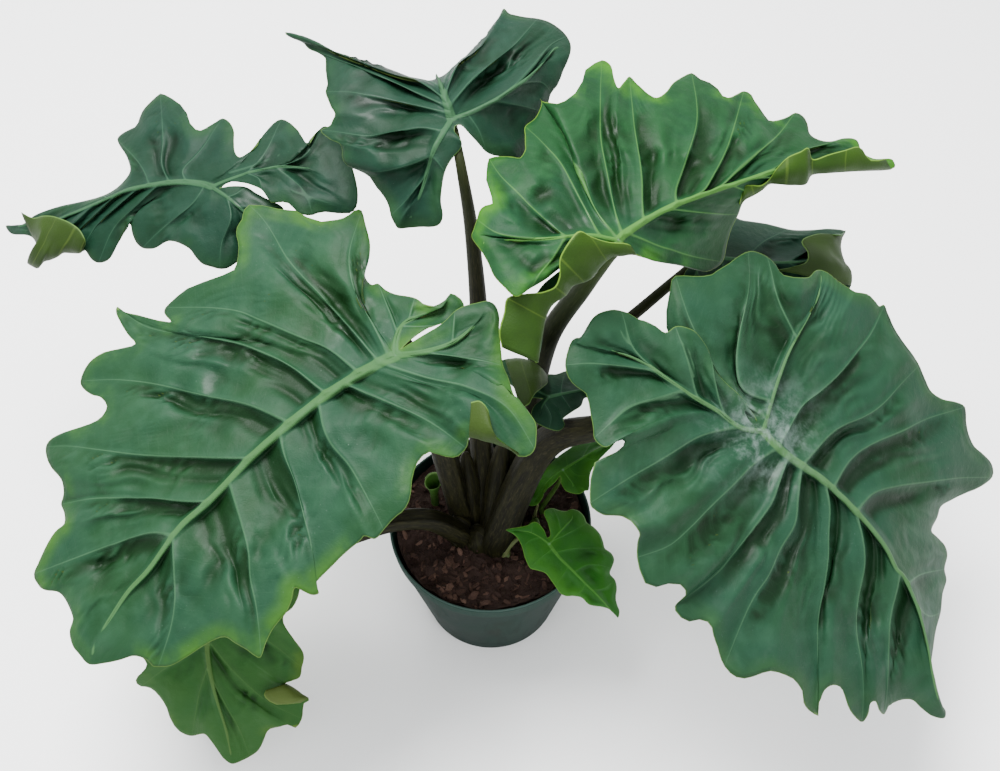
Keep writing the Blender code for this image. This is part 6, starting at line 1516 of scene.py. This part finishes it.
def add_pot(pot, materials):
    """The nursery pot: one profile down the outside, under and up the inside, its corners rounded, turned about
    the z axis and pressed a little out of round at the lip, with its drain holes cut through the base."""
    lip_foot, rim = pot.height - POT_LIP_HEIGHT, pot.rim_radius
    points, faces = turned(rounded([
        (rim - POT_WALL, pot.height - 0.004), (rim - POT_WALL, pot.height), (rim, pot.height),
        (rim + 0.0002, pot.height - 0.0045), (rim - 0.0006, pot.height - 0.006), (rim - POT_LIP_LEAN, lip_foot),
        (pot_outer_radius(lip_foot, pot), lip_foot - 0.0004),
        (pot_outer_radius(lip_foot * 0.93, pot) + 0.0003, lip_foot * 0.93),
        (pot_outer_radius(0.030, pot), 0.030), (pot_outer_radius(0.029, pot) - 0.0007, 0.029),
        (pot_outer_radius(POT_BASE_EDGE, pot), POT_BASE_EDGE), (POT_BASE_RADIUS - 0.0015, 0.0),
        (0.072, 0.0), (0.070, 0.0012), (0.0005, 0.0012), (0.0005, POT_WALL + 0.0006),
        (pot_outer_radius(POT_WALL, pot) - POT_WALL - 0.0015, POT_WALL),
        (pot_outer_radius(lip_foot, pot) - POT_WALL, lip_foot - 0.002),
        (rim - POT_WALL - 0.002, lip_foot + 0.002), (rim - POT_WALL, pot.height - 0.004),
    ], 0.0016), POT_STEPS)
    angle = np.linspace(0, 2 * math.pi, POT_STEPS, endpoint=False)
    wobble = 1 + 0.0022 * np.sin(2 * angle + 0.6) * np.clip(points[..., 2] / pot.height, 0, 1) ** 2
    points[..., :2] *= wobble[..., None]
    points = points.reshape(-1, 3)
    piece = add_piece("nursery_pot", points, facing_out(points, faces), "pot", materials, ["pot"])
    cutters = []
    for turn in 2 * math.pi * (np.arange(DRAIN_HOLES) + 0.5) / DRAIN_HOLES:
        drill, faces = turned(np.array([(0.0003, -0.01), (DRAIN_RADIUS, -0.01), (DRAIN_RADIUS, 0.01),
                                        (0.0003, 0.01)]), 24)
        drill = drill.reshape(-1, 3) + (DRAIN_RING * math.cos(turn), DRAIN_RING * math.sin(turn), 0.0)
        mesh = bpy.data.meshes.new("drill")
        mesh.from_pydata(drill.tolist(), [], facing_out(drill, faces)[0].tolist())
        mesh.shade_smooth()
        cutters.append(bpy.data.objects.new("drill", mesh))
        bpy.context.scene.collection.objects.link(cutters[-1])
        step = piece.modifiers.new("Drain", "BOOLEAN")
        step.operation, step.solver, step.object = "DIFFERENCE", "EXACT", cutters[-1]
    graph = bpy.context.evaluated_depsgraph_get()
    holed = bpy.data.meshes.new_from_object(piece.evaluated_get(graph))
    piece.modifiers.clear()
    piece.data = holed
    for cutter in cutters:
        bpy.data.objects.remove(cutter)
    return piece


def soil_height(x, y, soil):
    """The height of the lumpy bark mix over places of the pot: its level, two sizes of lumps, and a rise where
    it is heaped against the stalks in the middle."""
    flat = np.stack([x, y, 0 * x], -1)
    heap = HEAP_HEIGHT * np.exp(-(x**2 + y**2) / HEAP_WIDTH**2)
    return SOIL_TOP + soil.lump * (0.55 * waves(flat, 0.030, 5) + 0.30 * waves(flat, 0.011, 6)) + heap - 0.001


def add_soil(pot, soil, materials):
    """The bark mix: a closed plug that fills the pot under a lumpy top, with chips and crumbs lying on it."""
    inside, low = (pot_outer_radius(z, pot) - POT_WALL - SOIL_GAP for z in SOIL_WALL)
    angle = np.linspace(0, 2 * math.pi, SOIL_STEPS, endpoint=False)
    radius = np.linspace(SOIL_HUB, inside, SOIL_RINGS)[:, None]
    x, y = radius * np.cos(angle), radius * np.sin(angle)
    walls = [(inside, SOIL_WALL[0]), (low, SOIL_WALL[1]), (SOIL_HUB, SOIL_WALL[1] - 0.0015)]
    rings = np.concatenate([
        np.stack([x, y, soil_height(x, y, soil)], -1),
        [np.stack([r * np.cos(angle), r * np.sin(angle), 0 * angle + z], -1) for r, z in walls]])
    index = np.arange(rings[..., 0].size).reshape(-1, len(angle))
    plug = np.concatenate([rings.reshape(-1, 3), [rings[0].mean(0), rings[-1].mean(0)]])
    shapes = [(plug, facing_out(plug, ring_faces(index, index.size, index.size + 1)))]
    tint = [np.full(len(plug), 0.15)]
    for count, kind in ((soil.chips, BARK_CHIPS), (soil.crumbs, BARK_CRUMBS)):
        pieces, pieces_tint = bark_pieces(count, *kind, inside, soil)
        shapes.append(pieces)
        tint.append(pieces_tint)
    points, faces = joined(shapes)
    marks = {"tint": np.concatenate(tint)}
    return add_piece("bark_mix", points, faces, "soil", materials, ["soil"], marks, flat=True)


def bark_pieces(count, long_range, thick, sides, seed, shade, inside, soil):
    """Pieces of bark strewn over the top: each is a closed lump of four rings whose radii are jittered, long,
    narrow and flat, turned about z, tipped a little and laid on the mix at a seeded place."""
    rng = np.random.default_rng(seed)
    long = rng.uniform(*long_range, count) * rng.uniform(0.6, 1.0, count)
    wide = long * rng.uniform(0.22, 0.65, count)
    high = wide * thick * rng.uniform(0.5, 1.2, count)
    angle = np.linspace(0, 2 * math.pi, sides, endpoint=False)
    jitter = rng.uniform(0.72, 1.2, (count, 4, sides)) * rng.uniform(0.8, 1.15, (count, 1, sides))
    local = np.stack([
        np.cos(angle) * BARK_WIDTHS * jitter * (long / 2)[:, None, None],
        np.sin(angle) * BARK_WIDTHS * jitter * (wide / 2)[:, None, None],
        (BARK_LEVELS + 0.3 * rng.normal(size=(count, 4, sides))) * (high / 2)[:, None, None],
    ], -1).reshape(count, -1, 3)
    poles = np.stack([local[:, :sides].mean(1), local[:, -sides:].mean(1)], 1)
    local = np.concatenate([local, poles], 1)
    spin, tip, tip_way = rng.uniform(0, 2 * math.pi, count), rng.normal(0, 0.28, count), rng.uniform(0, 6.28, count)
    c, s = np.cos(spin)[:, None], np.sin(spin)[:, None]
    x, y = local[..., 0] * c - local[..., 1] * s, local[..., 0] * s + local[..., 1] * c
    z = local[..., 2] + np.tan(tip)[:, None] * (x * np.cos(tip_way)[:, None] + y * np.sin(tip_way)[:, None])
    where = inside * 0.985 * np.sqrt(rng.uniform(0, 1, count))
    bearing = rng.uniform(0, 2 * math.pi, count)
    px, py = where * np.cos(bearing), where * np.sin(bearing)
    keep = 1 - np.clip((np.hypot(px, py) + long / 2 - inside) / np.maximum(where, 1e-6), 0, 1)
    px, py = px * keep, py * keep
    base = soil_height(px, py, soil) + high * 0.15 + rng.uniform(0, 0.0015, count)
    points = np.stack([x + px[:, None], y + py[:, None], z + base[:, None]], -1)
    quads, fans = ring_faces(np.arange(4 * sides).reshape(4, sides), 4 * sides, 4 * sides + 1)
    start = (np.arange(count) * local.shape[1])[:, None, None]
    faces = [(np.roll(quads, 1, 1) + start).reshape(-1, 4), (fans + start).reshape(-1, 3)]
    return (points.reshape(-1, 3), faces), np.repeat(rng.uniform(*shade, count) ** 2, local.shape[1])


def add_sprout(materials):
    """The rolled shoot: a leaf still furled round itself, a sheet that winds outwards as it goes round from 0 to
    SPROUT_TURNS and flares towards its slanting lip with rise^1.6, on a short stalk."""
    x, y = SPROUT_FOOT
    lip = SOIL_TOP + SPROUT_HEIGHT
    turn = np.linspace(0, SPROUT_TURNS, SPROUT_GRID[0])[:, None]
    rise = np.linspace(0, 1, SPROUT_GRID[1])[None, :]
    angle = 2 * math.pi * turn + 0.5
    flare = SPROUT_RADIUS * 0.95 + (SPROUT_LIP - SPROUT_RADIUS) * rise**1.6
    radius = flare * (0.86 + 0.11 * turn) + 0.0010 * rise**8
    height = lip - SPROUT_DEEP + (SPROUT_DEEP + 0.004 * np.sin(angle + 1.0)) * rise
    outer = np.stack([x + radius * np.cos(angle), y + radius * np.sin(angle), height], -1)
    flat = outer.reshape(-1, 3)
    quads = quads_between(np.arange(len(flat)).reshape(outer.shape[:2]), False)
    normals = corner_normals(flat, quads)
    if (normals * (flat - (x, y, 0)) * (1, 1, 0)).sum() < 0:
        normals, quads = -normals, quads[:, ::-1]
    sheet, sheet_faces = closed_skin(flat, flat - normals * SPROUT_WALL, quads)
    heights = np.linspace(SOIL_TOP - STALK_DEPTH, lip - 0.8 * SPROUT_DEEP, 14)
    line = np.stack([0 * heights + x, 0 * heights + y, heights], -1)
    stem, stem_faces, _, _ = tube(line, np.full(len(line), SPROUT_RADIUS), 24)
    points, faces = joined([(sheet, facing_out(sheet, sheet_faces)), (stem, stem_faces)])
    share = np.concatenate([np.tile((rise + 0 * turn).reshape(-1), 2), np.zeros(len(stem))])
    return add_piece("furled_shoot", points, faces, "pup", materials, ["sprout"], {"share": share})


def add_sheaths(materials):
    """The small papery sheaths and young stalks round the foot of the plant: tapered tubes flattened towards
    their tips, along lines given as places with heights. Every other one has a share past 2, which the material
    shows as fresh green all along and without a rim."""
    shapes, share = [], []
    for number, (places, wide, narrow) in enumerate(SHEATHS):
        knots = np.array([at_height(*place) for place in places])
        line = curve_through(knots, np.linspace(0, len(knots) - 1, 30))
        radii = narrow + (wide - narrow) * np.sqrt(np.clip(1 - travelled(line), 0, 1))
        *shape, _, way = tube(line, radii, SHEATH_SIDES, lambda angle, at: 1 - 0.45 * np.abs(np.cos(angle)) * at)
        shapes.append(shape)
        share.append(way + number % 2 * 2)
    return add_piece("base_sheaths", *joined(shapes), "pup", materials, marks={"share": np.concatenate(share)})


def add_leaf_bases(materials):
    """The dark bases of old leaves that close the clump between its stalks: tubes along the middle of two
    stalks' lines at equal heights, their radius going with (1 - along^3)^0.5."""
    shapes, marks = [], []
    for first, second, top, radius in LEAF_BASES:
        height = np.linspace(SOIL_TOP - 0.008, top, 40)
        lines = [stalk_line(name)[0] for name in (first, second)]
        lines = [line[:line[:, 2].argmax() + 1] for line in lines]
        middle = sum(np.stack([np.interp(height, line[:, 2], line[:, k]) for k in (0, 1)], -1) for line in lines) / 2
        line = np.concatenate([middle, height[:, None]], 1)
        *shape, turn, way = tube(line, 0.001 + radius * np.sqrt(1 - travelled(line) ** 3), BASE_SIDES,
                                 lambda angle, at: 1 + 0.05 * np.sin(5 * angle) + 0.03 * np.sin(11 * angle))
        shapes.append(shape)
        marks.append(np.stack([np.cos(turn), np.sin(turn), way * (top - SOIL_TOP), way * 0.5]))
    named = dict(zip(("ring_x", "ring_y", "along", "share"), np.concatenate(marks, 1)))
    return add_piece("old_leaf_bases", *joined(shapes), "petiole", materials, marks=named)


class PotSettings(bpy.types.PropertyGroup):
    """The nursery pot."""
    rim_radius: FloatProperty(
        name="Rim radius", description="Radius over the lip band", default=0.125, min=0.05, subtype="DISTANCE")
    height: FloatProperty(name="Height", description="Height of the pot", default=0.187, min=0.05, subtype="DISTANCE")
    colour: FloatVectorProperty(
        name="Colour", description="Plastic of the body", default=paint(20, 46, 38)[:3], subtype="COLOR")
    lip_colour: FloatVectorProperty(
        name="Lip colour", description="Lighter plastic of the lip", default=paint(34, 70, 58)[:3], subtype="COLOR")


class SoilSettings(bpy.types.PropertyGroup):
    """The bark mix."""
    lump: FloatProperty(
        name="Lumps", description="Height of the lumps of the top", default=0.0042, subtype="DISTANCE")
    chips: IntProperty(name="Chips", description="How many larger pieces of bark", default=900, min=1)
    crumbs: IntProperty(name="Crumbs", description="How many small crumbs", default=1700, min=1)
    colour: FloatVectorProperty(
        name="Colour", description="Most of the bark", default=paint(104, 76, 64)[:3], subtype="COLOR")
    dark_colour: FloatVectorProperty(
        name="Dark colour", description="Wet bark and gaps", default=paint(60, 42, 35)[:3], subtype="COLOR")
    chip_colour: FloatVectorProperty(
        name="Chip colour", description="The lightest pieces", default=paint(138, 106, 90)[:3], subtype="COLOR")


class LeafSettings(bpy.types.PropertyGroup):
    """What the blades share."""
    detail: IntProperty(
        name="Detail", description="Columns of the mesh between two of the drawn ones", default=6, min=1, max=12)
    furrow_depth: FloatProperty(
        name="Furrow depth", description="How far the leaf sinks between veins", default=0.0095, subtype="DISTANCE")
    dent_depth: FloatProperty(
        name="Dent depth", description="How deep the dents along the midrib are", default=0.0040, subtype="DISTANCE")
    pleat_height: FloatProperty(
        name="Pleat height", description="Height of the pleats between veins", default=0.0015, subtype="DISTANCE")
    crumple_depth: FloatProperty(
        name="Crumple depth", description="Depth of the soft crumples", default=0.0014, subtype="DISTANCE")
    ridge_height: FloatProperty(
        name="Ridge height", description="How far it rises to the notches", default=0.0035, subtype="DISTANCE")
    pucker_height: FloatProperty(
        name="Pucker height", description="Height of the puckers", default=0.0016, subtype="DISTANCE")
    pucker_length: FloatProperty(
        name="Pucker length", description="From one pucker to the next", default=0.021, subtype="DISTANCE")
    billow_height: FloatProperty(
        name="Billow height", description="Height of the slow waves", default=0.0016, subtype="DISTANCE")
    vein_width: FloatProperty(
        name="Vein width", description="Half the width of a side vein", default=0.0012, subtype="DISTANCE")
    vein_height: FloatProperty(
        name="Vein height", description="How far side veins stand up", default=0.0011, subtype="DISTANCE")
    rib_height: FloatProperty(
        name="Rib height", description="How far the midrib stands up", default=0.0016, subtype="DISTANCE")
    keel_depth: FloatProperty(
        name="Keel depth", description="How far the midrib stands out below", default=0.0050, subtype="DISTANCE")
    grain: FloatProperty(name="Grain", description="Strength of the finest net of veins", default=0.7, min=0, max=1)


class StageSettings(bpy.types.PropertyGroup):
    """Floor, lights and camera."""
    floor_colour: FloatVectorProperty(
        name="Floor colour", description="The plain pale floor", default=(0.93, 0.93, 0.925), subtype="COLOR")
    key_power: FloatProperty(
        name="Key light", description="Power of the broad light", default=330.0, min=0, unit="POWER")
    fill_power: FloatProperty(
        name="Fill light", description="Power of the light in front", default=45.0, min=0, unit="POWER")
    sky: FloatProperty(name="Room light", description="Strength of the light from all round", default=1.75, min=0)


class AlocasiaSettings(bpy.types.PropertyGroup):
    """All the settings."""
    pot: PointerProperty(type=PotSettings)
    soil: PointerProperty(type=SoilSettings)
    leaf: PointerProperty(type=LeafSettings)
    stage: PointerProperty(type=StageSettings)


class ALOCASIA_OT_pot(bpy.types.Operator):
    """Make the nursery pot"""
    bl_idname = "alocasia.pot"
    bl_label = "Nursery Pot"

    def execute(self, context):
        pot = context.scene.alocasia.pot
        add_pot(pot, [pot_plastic(pot)])
        return {"FINISHED"}


class ALOCASIA_OT_soil(bpy.types.Operator):
    """Make the bark mix that fills the pot"""
    bl_idname = "alocasia.soil"
    bl_label = "Bark Mix"

    def execute(self, context):
        settings = context.scene.alocasia
        add_soil(settings.pot, settings.soil, [bark(settings.soil)])
        return {"FINISHED"}


class ALOCASIA_OT_stalks(bpy.types.Operator):
    """Make every leaf's stalk"""
    bl_idname = "alocasia.stalks"
    bl_label = "Leaf Stalks"

    def execute(self, context):
        skins = {key: stalk_skin(key, look) for key, look in STALK_FINISHES.items()}
        for name in STALKS:
            add_stalk(name, [skins["young_stalk" if "pup" in name else STALK_LOOKS.get(name, "old_stalk")]])
        add_leaf_bases([skins["old_stalk"]])
        return {"FINISHED"}


class ALOCASIA_OT_blades(bpy.types.Operator):
    """Make every leaf blade"""
    bl_idname = "alocasia.blades"
    bl_label = "Leaf Blades"

    def execute(self, context):
        leaf = context.scene.alocasia.leaf
        faces = {key: [leaf_top(key + "_top", look, leaf), leaf_under(key + "_under", look)]
                 for key, look in LEAF_FINISHES.items()}
        for name, looks in LEAF_LOOKS.items():
            add_leaf(name, leaf, "pup" if "pup" in name else "blade", faces[looks["finish"]])
        return {"FINISHED"}


class ALOCASIA_OT_shoots(bpy.types.Operator):
    """Make the furled shoot and the sheaths at the plant's foot"""
    bl_idname = "alocasia.shoots"
    bl_label = "Young Shoots"

    def execute(self, context):
        add_sprout([young_skin("furled_green", paint(74, 112, 44), paint(82, 140, 50), paint(120, 168, 80))])
        add_sheaths([young_skin("sheath_green", paint(96, 124, 60), paint(128, 140, 84), paint(140, 130, 96))])
        return {"FINISHED"}


class ALOCASIA_OT_stage(bpy.types.Operator):
    """Set the floor, the soft studio light and the camera"""
    bl_idname = "alocasia.stage"
    bl_label = "Stage"

    def execute(self, context):
        stage = context.scene.alocasia.stage
        half = FLOOR_SIZE / 2
        mesh = bpy.data.meshes.new("floor")
        mesh.from_pydata([(-half, -half, FLOOR_DROP), (half, -half, FLOOR_DROP), (half, half, FLOOR_DROP),
                          (-half, half, FLOOR_DROP)], [], [(0, 1, 2, 3)])
        floor = bpy.data.objects.new("floor", mesh)
        context.scene.collection.objects.link(floor)
        mesh.materials.append(floor_paint(stage))
        for (name, place, aim, size), power in zip(LAMPS, (stage.key_power, stage.fill_power)):
            data = bpy.data.lights.new(name, "AREA")
            data.energy, data.size, data.shape = power, size, "DISK"
            light = bpy.data.objects.new(name, data)
            light.location = place
            light.rotation_euler = (Vector(aim) - Vector(place)).to_track_quat("-Z", "Y").to_euler()
            context.scene.collection.objects.link(light)
        world = bpy.data.worlds.new("room")
        world.use_nodes = True
        background = world.node_tree.nodes["Background"]
        background.inputs["Color"].default_value = ROOM_LIGHT
        background.inputs["Strength"].default_value = stage.sky
        context.scene.world = world
        data = bpy.data.cameras.new("camera")
        data.sensor_width = SENSOR
        data.lens = FOCAL * SENSOR / PICTURE_WIDTH
        camera = bpy.data.objects.new("camera", data)
        camera.location = EYE
        camera.rotation_euler = (math.pi / 2 - EYE_PITCH, 0.0, 0.0)
        context.scene.collection.objects.link(camera)
        context.scene.camera = camera
        return {"FINISHED"}


OPERATORS = (ALOCASIA_OT_pot, ALOCASIA_OT_soil, ALOCASIA_OT_stalks, ALOCASIA_OT_blades, ALOCASIA_OT_shoots,
             ALOCASIA_OT_stage)


class ALOCASIA_PT_panel(bpy.types.Panel):
    """The plant's settings and its makers"""
    bl_idname = "ALOCASIA_PT_panel"
    bl_label = "Potted Alocasia"
    bl_space_type = "VIEW_3D"
    bl_region_type = "UI"
    bl_category = "Alocasia"

    def draw(self, context):
        settings = context.scene.alocasia
        for group in (settings.pot, settings.soil, settings.leaf, settings.stage):
            box = self.layout.box()
            for key in group.bl_rna.properties.keys():
                if key not in ("name", "rna_type"):
                    box.prop(group, key)
        for operator in OPERATORS:
            self.layout.operator(operator.bl_idname)


CLASSES = (PotSettings, SoilSettings, LeafSettings, StageSettings, AlocasiaSettings, *OPERATORS, ALOCASIA_PT_panel)


def register():
    """Register the classes and hang the settings on the scene."""
    for made in CLASSES:
        bpy.utils.register_class(made)
    bpy.types.Scene.alocasia = PointerProperty(type=AlocasiaSettings)


def unregister():
    """Undo register()."""
    del bpy.types.Scene.alocasia
    for made in reversed(CLASSES):
        bpy.utils.unregister_class(made)


def main():
    """Make every piece in order."""
    register()
    bpy.ops.alocasia.pot()
    bpy.ops.alocasia.soil()
    bpy.ops.alocasia.stalks()
    bpy.ops.alocasia.blades()
    bpy.ops.alocasia.shoots()
    bpy.ops.alocasia.stage()


if __name__ == "__main__":
    main()
